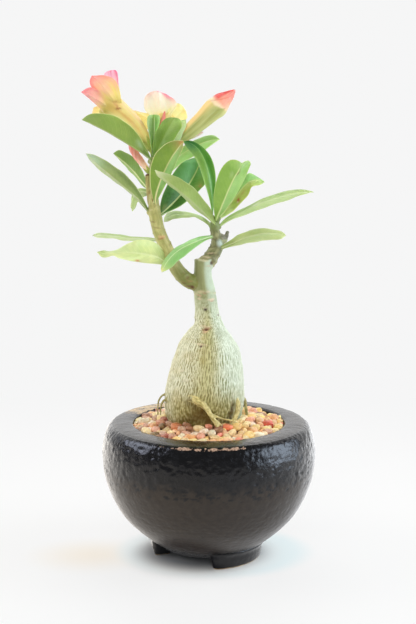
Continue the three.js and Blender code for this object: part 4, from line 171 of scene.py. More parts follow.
STEMS = {
    "caudex": [[-3.7,0,78.2,19],[-3.7,0,85.5,23.2],[-3.7,0,92.8,25.2],[-3.7,0,100.8,26.7],[-3.6,0,108.1,27.6],[-2.9,0,115.4,27.9],[-2.2,0,124,27.2],[-1.4,0,133.2,25.7],[-0.8,0,142.3,23.7],[-0.7,0,151.3,20.6],[-0.6,0,159.5,15.3],[-0.4,0,166,10.4],[-1.1,0,171.4,8.9],[-1.7,0,178.6,8],[-2.6,0,185.8,7.8],[-3.5,0,193.1,7.2],[-4.1,0,199.4,6.2],[-4.2,0,205.7,6],[-4.1,0,211.8,6]],
    "branch_left": [[-4.1,0,193.1,4.6],[-9.6,-1,195,5.1],[-15.2,-2,197.9,5.2],[-20.4,-3,202.9,5],[-24.1,-3.5,208.9,4.7],[-27.7,-4,216.9,4.5],[-31.6,-4,224.6,4.5],[-34.2,-3.5,231.1,4.4],[-36,-3,237.9,4.3],[-37.4,-2,244.7,4.2],[-37.9,-1,251.5,3.6],[-38.1,0,259.7,3.2],[-38.1,0.5,267.9,3],[-38,1,275.4,2.8],[-37.7,1.5,281.5,2.3]],
    "twig_cut": [[-37.8,-1,244.7,2.6],[-40.4,-0.5,250.8,1.9],[-41.5,0,257.7,1.7],[-42.1,0.3,264.5,1.6],[-42.4,0.5,270.6,1.5]],
    "branch_right": [[-4.1,1,207,4.4],[-0.6,2.5,210.7,5],[2.5,3,214.8,4.9],[5.3,3,219.4,4.7],[6,3,223.6,4.3],[5,3,227.7,3.6],[4.1,3,231.9,3.3],[4,3,236.1,3.1],[4.5,3,239.5,2.6]],
    "stub_1": [[6.3,2,223,2.6],[9.1,2,224.7,1.9],[9.5,2,227.8,1.4],[9.5,2,228.7,1.2]],
    "stub_2": [[7.1,3,222.2,2.4],[11.2,3.5,224.9,1.7],[12.3,3.5,228,1.2],[13,3.5,230.8,1.4]],
}
ROOTS = {
    "root_front": [[-14,-24.8,118.6,1.6],[-10.9,-27.3,118.5,2.4],[-7.4,-28.3,117.2,2.4],[-4,-28.9,114.6,2.1],[-0.9,-29.3,111.4,1.9],[1.4,-30,108,1.8],[3.8,-31.5,104.4,1.6],[6.2,-33,100.6,1.4]],
    "root_front_thin": [[1.1,-29.7,108.7,0.9],[4.9,-29.9,107.3,0.8],[9.7,-29.3,105.3,0.8],[14.5,-28.2,104.1,0.8],[18.6,-27,102.6,0.8],[22.1,-26.5,98.9,0.7]],
    "root_front_fork": [[2.8,-31,105.7,0.9],[5.9,-31.5,104.1,0.8],[8.9,-32.5,101.2,0.7]],
    "root_right": [[20.5,-16.5,116.3,1.3],[21.3,-18.2,113.9,2.1],[21.1,-19,109.8,2.2],[20.6,-20,105.8,2.1],[19.6,-21.5,101.9,1.9],[18.4,-23.5,98.2,1.5]],
    "root_right_back": [[23.9,2,113.8,0.9],[25.7,2,111.3,1.2],[26.1,2,107.6,1.2],[26.6,1,103.5,1.2],[27.1,0,98.7,1]],
    "root_left_loop": [[-29.4,-4,117.6,0.8],[-32.1,-4,116.4,0.8],[-34.4,-4.5,114.1,0.8],[-35.6,-5,111.1,0.8],[-35.9,-5.5,107.3,0.7],[-35.8,-6,102.3,0.7]],
    "root_left_inner": [[-28.9,-9,114.9,0.9],[-31.4,-9,113.6,0.9],[-32.9,-9.2,111.4,0.9],[-33.6,-9.6,107.9,0.8],[-33.9,-10,103.3,0.8]],
}

# Bowl outline, radius and height, outside from the foot upwards and then down inside.
POT_OUT = [[33.5, 7.6], [35.8, 8.4], [43.1, 14], [52.5, 22], [61.7, 32], [68.6, 44], [73.7, 58], [75.2, 70],
           [75.4, 79], [73.7, 87.6], [71.6, 92.7], [69.5, 95.3], [66.8, 96.4], [60, 96.8], [54.6, 96.6]]
POT_IN = [[53.6, 95.6], [54.4, 93.6], [57, 90.4], [60, 86.2]]
FEET = [[2, 80], [-146, -72], [122, 172]]        # azimuths in degrees, from -Y towards +X

# Stones that catch the eye: x, y, half length, kind of stone.
STONES = [
    (-22.3, -24.2, 4.4, "orange"),
    (-15.8, -34.7, 3.3, "rose"),
    (-15.1, -24.8, 3.0, "brown"),
    (-6.8, -30.4, 3.8, "cream"),
    (-0.1, -28.3, 2.7, "coral"),
    (6.7, -27.5, 3.1, "umber"),
    (13.1, -27.9, 3.5, "red_orange"),
    (18.6, -26.4, 3.9, "gold"),
    (41.3, -8.9, 4.1, "red"),
    (30.3, -26.1, 4.3, "peach"),
    (39.6, -20.3, 3.4, "yellow"),
    (-5.3, -40.7, 3.8, "pink"),
    (-12.9, -41.6, 3.8, "orange2"),
    (2.1, -37.8, 3.0, "white"),
    (12.2, -40.2, 2.9, "cream"),
    (7.0, -39.4, 2.2, "coral"),
    (19.3, -39.3, 3.4, "peach"),
    (27.0, -36.7, 3.9, "gold"),
    (-25.9, -33.1, 2.9, "cream"),
    (-37.7, 3.8, 3.0, "mauve"),
    (-38.1, 38.3, 3.6, "maroon"),
    (-32.7, -18.0, 3.0, "olive"),
    (-38.8, -14.1, 3.0, "peach"),
    (29.3, 14.0, 2.8, "coral"),
    (48.2, 34.6, 3.2, "orange2"),
    (52.2, 15.3, 3.4, "yellow"),
    (36.4, 13.0, 3.3, "cream"),
    (-49.9, 8.6, 3.1, "cream"),
    (-45.1, 12.9, 3.0, "mauve"),
]

STONE_COLOURS = {
    "orange": (232, 148, 98), "orange2": (236, 172, 120), "rose": (206, 150, 122), "brown": (158, 110, 78),
    "cream": (247, 224, 170), "coral": (238, 144, 116), "umber": (150, 88, 64), "red_orange": (242, 130, 92),
    "gold": (244, 204, 132), "red": (222, 86, 66), "peach": (244, 188, 142), "yellow": (250, 222, 146),
    "pink": (242, 176, 152), "white": (240, 224, 200), "mauve": (206, 166, 142), "maroon": (168, 98, 84),
    "olive": (132, 104, 66), "tan": (222, 190, 142),
}

# ---------------------------------------------------------------- numeric helpers


def lin(c):
    """sRGB 0-255 to linear 0-1."""
    c = np.asarray(c, float) / 255.0
    return np.where(c <= 0.04045, c / 12.92, ((c + 0.055) / 1.055) ** 2.4)


def mix(a, b, t):
    t = np.clip(np.asarray(t, float), 0, 1)
    if np.ndim(a) > 1 or np.ndim(b) > 1 or np.ndim(t) > 0:
        t = np.reshape(t, (-1, 1)) if np.ndim(t) else t
    return a * (1 - t) + b * t


def step(a, b, x):
    t = np.clip((np.asarray(x, float) - a) / (b - a), 0, 1)
    return t * t * (3 - 2 * t)


def _hash(ix, iy, iz, seed):
    m = np.int64(0xFFFFFFFF)
    n = (ix * 374761393 + iy * 668265263 + iz * 1440662683 + seed * 1274126177) & m
    n = ((n ^ (n >> 13)) * 1274126177) & m
    n = ((n ^ (n >> 16)) * 668265263) & m
    return (n ^ (n >> 15)) & m


def noise3(p, seed=0):
    """Gradient noise, about -1 to 1, at the rows of p."""
    p = np.asarray(p, float)
    i = np.floor(p).astype(np.int64)
    f = p - i
    w = f * f * f * (f * (f * 6 - 15) + 10)
    out = np.zeros(len(p))
    for dx in (0, 1):
        for dy in (0, 1):
            for dz in (0, 1):
                h = _hash(i[:, 0] + dx, i[:, 1] + dy, i[:, 2] + dz, seed)
                gx = (h & 0x3FF) / 511.5 - 1
                gy = ((h >> 10) & 0x3FF) / 511.5 - 1
                gz = ((h >> 20) & 0x3FF) / 511.5 - 1
                d = gx * (f[:, 0] - dx) + gy * (f[:, 1] - dy) + gz * (f[:, 2] - dz)
                wx = w[:, 0] if dx else 1 - w[:, 0]
                wy = w[:, 1] if dy else 1 - w[:, 1]
                wz = w[:, 2] if dz else 1 - w[:, 2]
                out += d * wx * wy * wz
    return out * 1.35


def fbm(p, seed=0, octaves=3):
    out, a, s, t = np.zeros(len(p)), 1.0, 1.0, 0.0
    for k in range(octaves):
        out += a * noise3(np.asarray(p) * s, seed + 17 * k)
        t += a
        a *= 0.5
        s *= 2.03
    return out / t


def spline(P, t):
    """Smooth curve through the rows of P, evenly spaced in t from 0 to 1."""
    P = np.asarray(P, float)
    n = len(P) - 1
    D = np.empty_like(P)
    D[1:-1] = (P[2:] - P[:-2]) / 2
    D[0] = 1.5 * (P[1] - P[0]) - 0.5 * D[1]
    D[-1] = 1.5 * (P[-1] - P[-2]) - 0.5 * D[-2]
    x = np.clip(np.asarray(t, float), 0, 1) * n
    i = np.minimum(x.astype(int), n - 1)
    f = (x - i)[:, None]
    a, b, da, db = P[i], P[i + 1], D[i], D[i + 1]
    return (2 * f**3 - 3 * f**2 + 1) * a + (f**3 - 2 * f**2 + f) * da + (3 * f**2 - 2 * f**3) * b + (f**3 - f**2) * db


def unit(v):
    v = np.asarray(v, float)
    return v / np.maximum(np.linalg.norm(v, axis=-1, keepdims=True), 1e-9)


def even(P, gap):
    """P resampled so that its points lie about gap apart."""
    P = np.asarray(P, float)
    fine = spline(P, np.linspace(0, 1, 40 * len(P)))
    d = np.r_[0, np.cumsum(np.linalg.norm(np.diff(fine[:, :3], axis=0), axis=1))]
    n = max(4, int(round(d[-1] / gap)) + 1)
    s = np.linspace(0, d[-1], n)
    return np.stack([np.interp(s, d, fine[:, k]) for k in range(fine.shape[1])], 1)


def frames(C):
    """Tangent and two side directions along the points C, without twist."""
    T = unit(np.gradient(C, axis=0))
    ref = np.array([0, -1.0, 0]) if abs(T[0][1]) < 0.9 else np.array([1.0, 0, 0])
    U = [unit(ref - T[0] * np.dot(ref, T[0]))]
    for i in range(1, len(C)):
        u = U[-1] - T[i] * np.dot(U[-1], T[i])
        U.append(unit(u))
    U = np.array(U)
    return T, U, np.cross(T, U)


def grid_faces(nv, nu, wrap=False, off=0, flip=False):
    f = []
    m = nu if wrap else nu - 1
    for j in range(nv - 1):
        for i in range(m):
            a, b = off + j * nu + i, off + j * nu + (i + 1) % nu
            c, d = b + nu, a + nu
            f.append((a, d, c, b) if flip else (a, b, c, d))
    return f


class Soup:
    """Vertices, faces and per-vertex values that grow together."""

    def __init__(self):
        self.v, self.f, self.a, self.n = [], [], {}, 0

    def add(self, v, f, **vals):
        v = np.asarray(v, float)
        self.v.append(v)
        self.f += [tuple(i + self.n for i in q) for q in f]
        for k, x in vals.items():
            x = np.asarray(x, float)
            if x.ndim == 0 or (x.ndim == 1 and len(x) == 3 and len(v) != 3):
                x = np.tile(x, (len(v), 1)) if x.ndim else np.full(len(v), float(x))
            self.a.setdefault(k, []).append(x)
        self.n += len(v)

    def verts(self):
        return np.concatenate(self.v)

    def values(self):
        return {k: np.concatenate(x) for k, x in self.a.items()}


def tube(P, ns=24, gap=1.0, tip=True, root=True):
    """A closed tube round the points [x, y, z, r], with flat ends unless a radius is near nothing."""
    Q = even(P, gap)
    C, R = Q[:, :3], Q[:, 3]
    T, U, V = frames(C)
    th = np.linspace(0, 2 * np.pi, ns, endpoint=False)
    ring = C[:, None] + R[:, None, None] * (np.cos(th)[None, :, None] * U[:, None] + np.sin(th)[None, :, None] * V[:, None])
    v = ring.reshape(-1, 3)
    f = grid_faces(len(C), ns, wrap=True)
    n = len(v)
    v = np.concatenate([v, [C[0] - (0 if root else R[0] * 0.5) * T[0]], [C[-1] + (R[-1] * 0.6 if not tip else 0) * T[-1]]])
    for i in range(ns):
        f.append((n, (i + 1) % ns, i))
        k = n - ns
        f.append((n + 1, k + i, k + (i + 1) % ns))
    s = np.r_[np.repeat(np.linspace(0, 1, len(C)), ns), 0, 1]
    return v, f, s


def mesh_of(name, verts_mm, faces, cols=None, vals=None, vecs=None, smooth=True):
    me = bpy.data.meshes.new(name)
    V = np.asarray(verts_mm, float) / 1000.0 + np.array([AX, AY, 0.0])
    me.from_pydata(V.tolist(), [], [tuple(int(i) for i in q) for q in faces])
    me.polygons.foreach_set("use_smooth", [smooth] * len(me.polygons))
    put_values(me, cols, vals, vecs)
    me.update()
    return me


def put_values(me, cols=None, vals=None, vecs=None):
    if cols is not None:
        at = me.attributes.new("col", "FLOAT_COLOR", "POINT")
        c = np.c_[np.clip(cols, 0, 1), np.ones(len(cols))]
        at.data.foreach_set("color", c.astype(np.float32).ravel())
    for k, x in (vals or {}).items():
        at = me.attributes.new(k, "FLOAT", "POINT")
        at.data.foreach_set("value", np.asarray(x, np.float32))
    for k, x in (vecs or {}).items():
        at = me.attributes.new(k, "FLOAT_VECTOR", "POINT")
        at.data.foreach_set("vector", np.asarray(x, np.float32).ravel())


def piece(name, me, mat, slot, *nodes):
    ob = bpy.data.objects.new(name, me)
    SC.collection.objects.link(ob)
    me.materials.clear()
    me.materials.append(mat)
    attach(ob, "root")
    if nodes:
        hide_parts(*nodes)
    return ob


def fused(name, verts_mm, faces, voxel_mm):
    """One skin round overlapping closed shells: vertices in mm, and faces."""
    me = mesh_of(name + "_raw", verts_mm, faces)
    ob = bpy.data.objects.new(name + "_raw", me)
    SC.collection.objects.link(ob)
    mod = ob.modifiers.new("fuse", "REMESH")
    mod.mode = "VOXEL"
    mod.voxel_size = voxel_mm / 1000.0
    mod.adaptivity = 0.0
    dg = bpy.context.evaluated_depsgraph_get()
    new = bpy.data.meshes.new_from_object(ob.evaluated_get(dg))
    bpy.data.objects.remove(ob)
    bpy.data.meshes.remove(me)
    V = np.empty(len(new.vertices) * 3)
    new.vertices.foreach_get("co", V)
    V = (V.reshape(-1, 3) - np.array([AX, AY, 0.0])) * 1000.0
    F = [tuple(p.vertices) for p in new.polygons]
    E = np.empty(len(new.edges) * 2, np.int64)
    new.edges.foreach_get("vertices", E)
    bpy.data.meshes.remove(new)
    return V, F, E.reshape(-1, 2)


def relax(V, E, times, k=0.5, keep=0.0):
    n = len(V)
    deg = np.bincount(E.ravel(), minlength=n).astype(float)[:, None]
    V = V.copy()
    for it in range(times):
        for amount in ((k, -k * 1.02) if keep else (k,)):
            S = np.zeros_like(V)
            for c in range(3):
                S[:, c] = np.bincount(E[:, 0], V[E[:, 1], c], n) + np.bincount(E[:, 1], V[E[:, 0], c], n)
            V += amount * (S / deg - V)
    return V


def normals_of(V, F):
    N = np.zeros_like(V)
    Q = np.array([q for q in F if len(q) == 4])
    Tt = np.array([q for q in F if len(q) == 3])
    for A in (Q, Tt):
        if len(A) == 0:
            continue
        n = np.cross(V[A[:, 2]] - V[A[:, 0]], V[A[:, -1]] - V[A[:, 1]]) if A.shape[1] == 4 else np.cross(V[A[:, 1]] - V[A[:, 0]], V[A[:, 2]] - V[A[:, 0]])
        for k in range(A.shape[1]):
            for c in range(3):
                N[:, c] += np.bincount(A[:, k], n[:, c], len(V))
    return unit(N)


# ---------------------------------------------------------------- materials


class Nodes:
    def __init__(self, name):
        self.mat = bpy.data.materials.new(name)
        self.mat.use_nodes = True
        self.t = self.mat.node_tree
        self.t.nodes.clear()
        self.out = self.t.nodes.new("ShaderNodeOutputMaterial")
        self.b = self.t.nodes.new("ShaderNodeBsdfPrincipled")
        self.t.links.new(self.b.outputs[0], self.out.inputs[0])

    def n(self, kind, **kw):
        x = self.t.nodes.new(kind)
        for k, v in kw.items():
            setattr(x, k, v)
        return x

    def link(self, a, b):
        self.t.links.new(a, b)

    def set(self, **kw):
        for k, v in kw.items():
            self.b.inputs[k.replace("_", " ")].default_value = v

    def attr(self, name, out="Fac"):
        return self.n("ShaderNodeAttribute", attribute_name=name).outputs[out]

    def coord(self, scale=(1, 1, 1)):
        c = self.n("ShaderNodeTexCoord").outputs["Object"]
        m = self.n("ShaderNodeMapping")
        m.inputs["Scale"].default_value = scale
        self.link(c, m.inputs["Vector"])
        return m.outputs["Vector"]

    def noise(self, scale, detail=3, rough=0.5, vec=None, distortion=0.0):
        x = self.n("ShaderNodeTexNoise")
        x.inputs["Scale"].default_value = scale
        x.inputs["Detail"].default_value = detail
        x.inputs["Roughness"].default_value = rough
        x.inputs["Distortion"].default_value = distortion
        self.link(vec if vec is not None else self.coord(), x.inputs["Vector"])
        return x.outputs["Fac"]

    def voronoi(self, scale, feature="F1", out="Distance", vec=None, randomness=1.0):
        x = self.n("ShaderNodeTexVoronoi", feature=feature)
        x.inputs["Scale"].default_value = scale
        x.inputs["Randomness"].default_value = randomness
        self.link(vec if vec is not None else self.coord(), x.inputs["Vector"])
        return x.outputs[out]

    def ramp(self, fac, lo, hi, a=0.0, b=1.0, smooth=True):
        x = self.n("ShaderNodeMapRange", interpolation_type="SMOOTHSTEP" if smooth else "LINEAR")
        x.inputs["From Min"].default_value = lo
        x.inputs["From Max"].default_value = hi
        x.inputs["To Min"].default_value = a
        x.inputs["To Max"].default_value = b
        self.link(fac, x.inputs["Value"])
        return x.outputs["Result"]

    def math(self, op, a, b=None, clamp=False):
        x = self.n("ShaderNodeMath", operation=op, use_clamp=clamp)
        for i, v in enumerate((a, b)):
            if v is None:
                continue
            if isinstance(v, (int, float)):
                x.inputs[i].default_value = v
            else:
                self.link(v, x.inputs[i])
        return x.outputs[0]

    def blend(self, fac, a, b, kind="MIX"):
        x = self.n("ShaderNodeMix", data_type="RGBA", blend_type=kind)
        for k, v in ((0, fac), (6, a), (7, b)):
            if isinstance(v, (int, float)):
                x.inputs[k].default_value = v
            elif isinstance(v, (tuple, list, np.ndarray)):
                x.inputs[k].default_value = (*[float(c) for c in v], 1.0)
            else:
                self.link(v, x.inputs[k])
        return x.outputs[2]

    def bump(self, height, distance, strength=1.0, after=None):
        x = self.n("ShaderNodeBump")
        x.inputs["Strength"].default_value = strength
        x.inputs["Distance"].default_value = distance
        self.link(height, x.inputs["Height"])
        if after is not None:
            self.link(after, x.inputs["Normal"])
        return x.outputs["Normal"]

    def use(self, name, socket):
        self.link(socket, self.b.inputs[name.replace("_", " ")])


def leaf_material():
    m = Nodes("leaf_skin")
    col = m.attr("col", "Color")
    mid = m.attr("dmid")        # mm from the midrib
    edge = m.attr("dedge")      # mm from the margin
    lv, lu = m.attr("lv"), m.attr("lu")
    under = m.attr("under")     # 1 on the lower face
    # side veins: thin lines that leave the midrib at a slant
    au = m.math("ABSOLUTE", lu)
    wig = m.math("MULTIPLY", m.noise(150, 2), 0.10)
    ph = m.math("ADD", m.math("SUBTRACT", m.math("MULTIPLY", lv, 15.0), m.math("MULTIPLY", au, 2.4)), m.math("MULTIPLY", wig, 9.0))
    vein = m.math("POWER", m.math("ABSOLUTE", m.math("SINE", m.math("MULTIPLY", ph, 3.14159))), 0.5)
    vein = m.math("MULTIPLY", m.ramp(vein, 0.62, 0.10), m.ramp(au, 0.97, 0.6))
    mottle = m.noise(46, 3, 0.55, m.coord((1.0, 1.0, 1.3)), 0.5)
    cells = m.noise(1500, 3, 0.6)
    patch = m.noise(130, 4, 0.55)
    c = m.blend(m.ramp(patch, 0.35, 0.68, 0.0, 0.34), col, m.blend(1.0, col, (0.72, 0.83, 0.62), "MULTIPLY"))
    c = m.blend(m.ramp(patch, 0.50, 0.28, 0.0, 0.30), c, m.blend(1.0, c, (1.22, 1.14, 1.10), "MULTIPLY"))
    c = m.blend(m.ramp(mottle, 0.40, 0.64, 0.0, 0.30), c, m.blend(1.0, c, (0.80, 0.88, 0.74), "MULTIPLY"))
    c = m.blend(m.ramp(mottle, 0.56, 0.34, 0.0, 0.30), c, m.blend(1.0, c, (1.16, 1.10, 1.12), "MULTIPLY"))
    c = m.blend(m.math("MULTIPLY", vein, 0.38), c, m.blend(1.0, c, (1.30, 1.20, 1.18), "MULTIPLY"))
    c = m.blend(m.ramp(cells, 0.4, 0.75, 0.0, 0.22), c, m.blend(1.0, c, (0.80, 0.86, 0.75), "MULTIPLY"))
    ribc = m.attr("rib", "Color")
    c = m.blend(m.math("MULTIPLY", m.ramp(mid, 0.85, 0.22), m.attr("ribk")), c, ribc)
    c = m.blend(m.math("MULTIPLY", m.ramp(edge, 0.50, 0.12), m.attr("edgek")), c, ribc)
    m.use("Base Color", c)
    m.use("Roughness", m.math("ADD", m.ramp(m.noise(420, 3), 0.3, 0.75, 0.42, 0.56), m.math("MULTIPLY", under, 0.12)))
    m.set(Subsurface_Weight=0.22, Subsurface_Radius=(0.9, 1.0, 0.35), Subsurface_Scale=0.0016, Specular_IOR_Level=0.42)
    h = m.math("ADD", m.math("MULTIPLY", vein, 0.55), m.math("ADD", m.math("MULTIPLY", cells, 0.28), m.math("MULTIPLY", patch, 0.8)))
    m.use("Normal", m.bump(h, 0.00022, 0.8))
    return m.mat


def petal_material():
    m = Nodes("petal_tissue")
    col = m.attr("col", "Color")
    lu, lv = m.attr("lu"), m.attr("lv")
    comb = m.n("ShaderNodeCombineXYZ")
    m.link(m.math("MULTIPLY", lu, 9.0), comb.inputs[0])
    m.link(m.math("MULTIPLY", lv, 1.6), comb.inputs[1])
    streak = m.noise(1.6, 4, 0.6, comb.outputs[0], 0.4)
    grain = m.noise(900, 3, 0.6)
    c = m.blend(m.ramp(streak, 0.44, 0.62, 0.0, 0.34), col, m.blend(1.0, col, (1.0, 0.84, 0.80), "MULTIPLY"))
    c = m.blend(m.ramp(streak, 0.48, 0.30, 0.0, 0.45), c, m.blend(0.30, c, (1.0, 0.94, 0.74)))
    c = m.blend(m.ramp(grain, 0.4, 0.8, 0.0, 0.10), c, m.blend(1.0, c, (0.9, 0.82, 0.80), "MULTIPLY"))
    m.use("Base Color", c)
    m.use("Roughness", m.ramp(grain, 0.3, 0.7, 0.46, 0.62))
    m.set(Subsurface_Weight=0.45, Subsurface_Radius=(1.0, 0.72, 0.55), Subsurface_Scale=0.0022, Specular_IOR_Level=0.35,
          Sheen_Weight=0.12, Sheen_Roughness=0.5)
    m.use("Normal", m.bump(m.math("ADD", m.math("MULTIPLY", streak, 1.0), m.math("MULTIPLY", grain, 0.3)), 0.00035, 0.7))
    return m.mat


def calyx_material():
    m = Nodes("calyx_tissue")
    col = m.attr("col", "Color")
    f = m.noise(600, 4, 0.6)
    g = m.noise(140, 3)
    c = m.blend(m.ramp(g, 0.35, 0.65, 0.0, 0.5), col, m.blend(1.0, col, (0.70, 0.80, 0.62), "MULTIPLY"))
    c = m.blend(m.ramp(f, 0.45, 0.75, 0.0, 0.35), c, m.blend(1.0, c, (1.25, 1.18, 1.1), "MULTIPLY"))
    m.use("Base Color", c)
    m.use("Roughness", m.ramp(f, 0.3, 0.7, 0.42, 0.58))
    m.set(Subsurface_Weight=0.2, Subsurface_Radius=(0.8, 1.0, 0.4), Subsurface_Scale=0.0015, Specular_IOR_Level=0.4)
    m.use("Normal", m.bump(f, 0.0002, 0.7))
    return m.mat


def bark_material():
    m = Nodes("caudex_bark")
    col = m.attr("col", "Color")
    ridge = m.attr("ridge")
    fine = m.noise(1700, 4, 0.65)
    grain = m.noise(1.0, 4, 0.6, m.attr("rc", "Vector"))
    c = m.blend(m.ramp(fine, 0.42, 0.78, 0.0, 0.40), col, m.blend(1.0, col, (0.70, 0.70, 0.60), "MULTIPLY"))
    c = m.blend(m.ramp(grain, 0.50, 0.72, 0.0, 0.45), c, m.blend(1.0, c, (1.22, 1.22, 1.26), "MULTIPLY"))
    c = m.blend(m.ramp(grain, 0.48, 0.28, 0.0, 0.40), c, m.blend(1.0, c, (0.74, 0.72, 0.60), "MULTIPLY"))
    m.use("Base Color", c)
    m.use("Roughness", m.math("SUBTRACT", m.ramp(fine, 0.3, 0.7, 0.50, 0.66), m.math("MULTIPLY", ridge, 0.12)))
    m.set(Subsurface_Weight=0.10, Subsurface_Radius=(1.0, 0.9, 0.5), Subsurface_Scale=0.0015, Specular_IOR_Level=0.42)
    m.use("Normal", m.bump(m.math("ADD", m.math("MULTIPLY", fine, 0.5), grain), 0.00028, 0.8))
    return m.mat


def glaze_material():
    """Thick black glaze that breaks to brown and thins to bare clay, from the vertex values thin, bare and wet."""
    m = Nodes("pot_black_glaze")
    thin, bare, wet = m.attr("thin"), m.attr("bare"), m.attr("wet")
    big = m.noise(60, 4, 0.6)
    mott = m.noise(260, 5, 0.62)
    pits = m.voronoi(330, "SMOOTH_F1")
    fine = m.noise(1300, 3, 0.6)
    black = m.blend(m.ramp(mott, 0.40, 0.70), (0.0014, 0.0013, 0.0020), (0.0048, 0.0048, 0.0066))
    brown = m.blend(m.ramp(mott, 0.36, 0.66), (0.0200, 0.0128, 0.0078), (0.0310, 0.0210, 0.0130))
    brown = m.blend(m.ramp(big, 0.45, 0.65, 0.0, 0.4), brown, (0.0290, 0.0215, 0.0150))
    c = m.blend(m.ramp(m.math("ADD", thin, m.math("MULTIPLY", m.math("SUBTRACT", mott, 0.5), 0.9)), 0.12, 0.92), black, brown)
    clay = m.blend(m.ramp(mott, 0.35, 0.65), (0.46, 0.31, 0.17), (0.62, 0.47, 0.29))
    rust = m.blend(m.ramp(fine, 0.35, 0.65), (0.24, 0.13, 0.085), (0.56, 0.38, 0.27))
    clay = m.blend(m.attr("rust"), clay, rust)
    bk = m.ramp(m.math("ADD", bare, m.math("MULTIPLY", m.math("SUBTRACT", fine, 0.5), 0.75)), 0.42, 0.60)
    c = m.blend(bk, c, clay)
    m.use("Base Color", c)
    r = m.math("ADD", m.ramp(mott, 0.3, 0.7, 0.26, 0.34), m.math("MULTIPLY", thin, 0.06))
    r = m.math("SUBTRACT", r, m.math("MULTIPLY", wet, 0.10))
    r = m.math("ADD", r, m.math("MULTIPLY", bk, 0.35), clamp=True)
    m.use("Roughness", r)
    m.set(Specular_IOR_Level=0.5, IOR=1.52, Coat_Weight=0.32, Coat_Roughness=0.20, Coat_IOR=1.45)
    h = m.math("ADD", m.math("MULTIPLY", m.ramp(pits, 0.0, 0.55), 0.55), m.math("ADD", m.math("MULTIPLY", mott, 1.0), m.math("MULTIPLY", fine, 0.16)))
    h = m.math("MULTIPLY", h, m.math("SUBTRACT", 1.0, m.math("MULTIPLY", thin, 0.50)))
    h = m.math("MULTIPLY", h, m.math("SUBTRACT", 1.0, m.math("MULTIPLY", m.attr("flat"), 0.72)))
    m.use("Normal", m.bump(h, 0.00050, 0.75))
    return m.mat


def stone_material():
    m = Nodes("gravel_stone")
    col = m.attr("col", "Color")
    a = m.noise(420, 5, 0.65)
    b = m.noise(1500, 3, 0.6)
    band = m.noise(240, 3, 0.5, m.coord((1, 1, 2.6)), 0.6)
    c = m.blend(m.ramp(band, 0.40, 0.66, 0.0, 0.42), col, m.blend(0.45, col, (0.86, 0.70, 0.48)))
    c = m.blend(m.ramp(a, 0.44, 0.70, 0.0, 0.70), c, m.blend(1.0, c, (0.72, 0.55, 0.40), "MULTIPLY"))
    c = m.blend(m.ramp(b, 0.55, 0.75, 0.0, 0.25), c, (0.86, 0.76, 0.60))
    m.use("Base Color", c)
    m.use("Roughness", m.ramp(a, 0.3, 0.7, 0.28, 0.50))
    m.set(Subsurface_Weight=0.05, Subsurface_Radius=(1.0, 0.7, 0.45), Subsurface_Scale=0.0012, Specular_IOR_Level=0.5)
    m.use("Normal", m.bump(m.math("ADD", a, m.math("MULTIPLY", b, 0.5)), 0.00022, 0.7))
    return m.mat


def soil_material():
    m = Nodes("soil_crumbs")
    a = m.noise(320, 6, 0.7)
    v = m.voronoi(520, "F1")
    c = m.blend(m.ramp(a, 0.35, 0.65), (0.020, 0.012, 0.008), (0.085, 0.055, 0.034))
    c = m.blend(m.ramp(v, 0.28, 0.05, 0.0, 0.5), c, (0.16, 0.11, 0.07))
    m.use("Base Color", c)
    m.use("Roughness", m.ramp(a, 0.3, 0.7, 0.8, 0.95))
    m.use("Normal", m.bump(m.math("ADD", a, m.math("MULTIPLY", v, 0.8)), 0.0012, 1.0))
    return m.mat


LEAF, PETAL, CALYX, BARK = leaf_material(), petal_material(), calyx_material(), bark_material()
GLAZE, STONE, SOIL = glaze_material(), stone_material(), soil_material()

for node in ("potting_soil",):
    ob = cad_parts[node]
    for s in ob.material_slots:
        s.material = SOIL

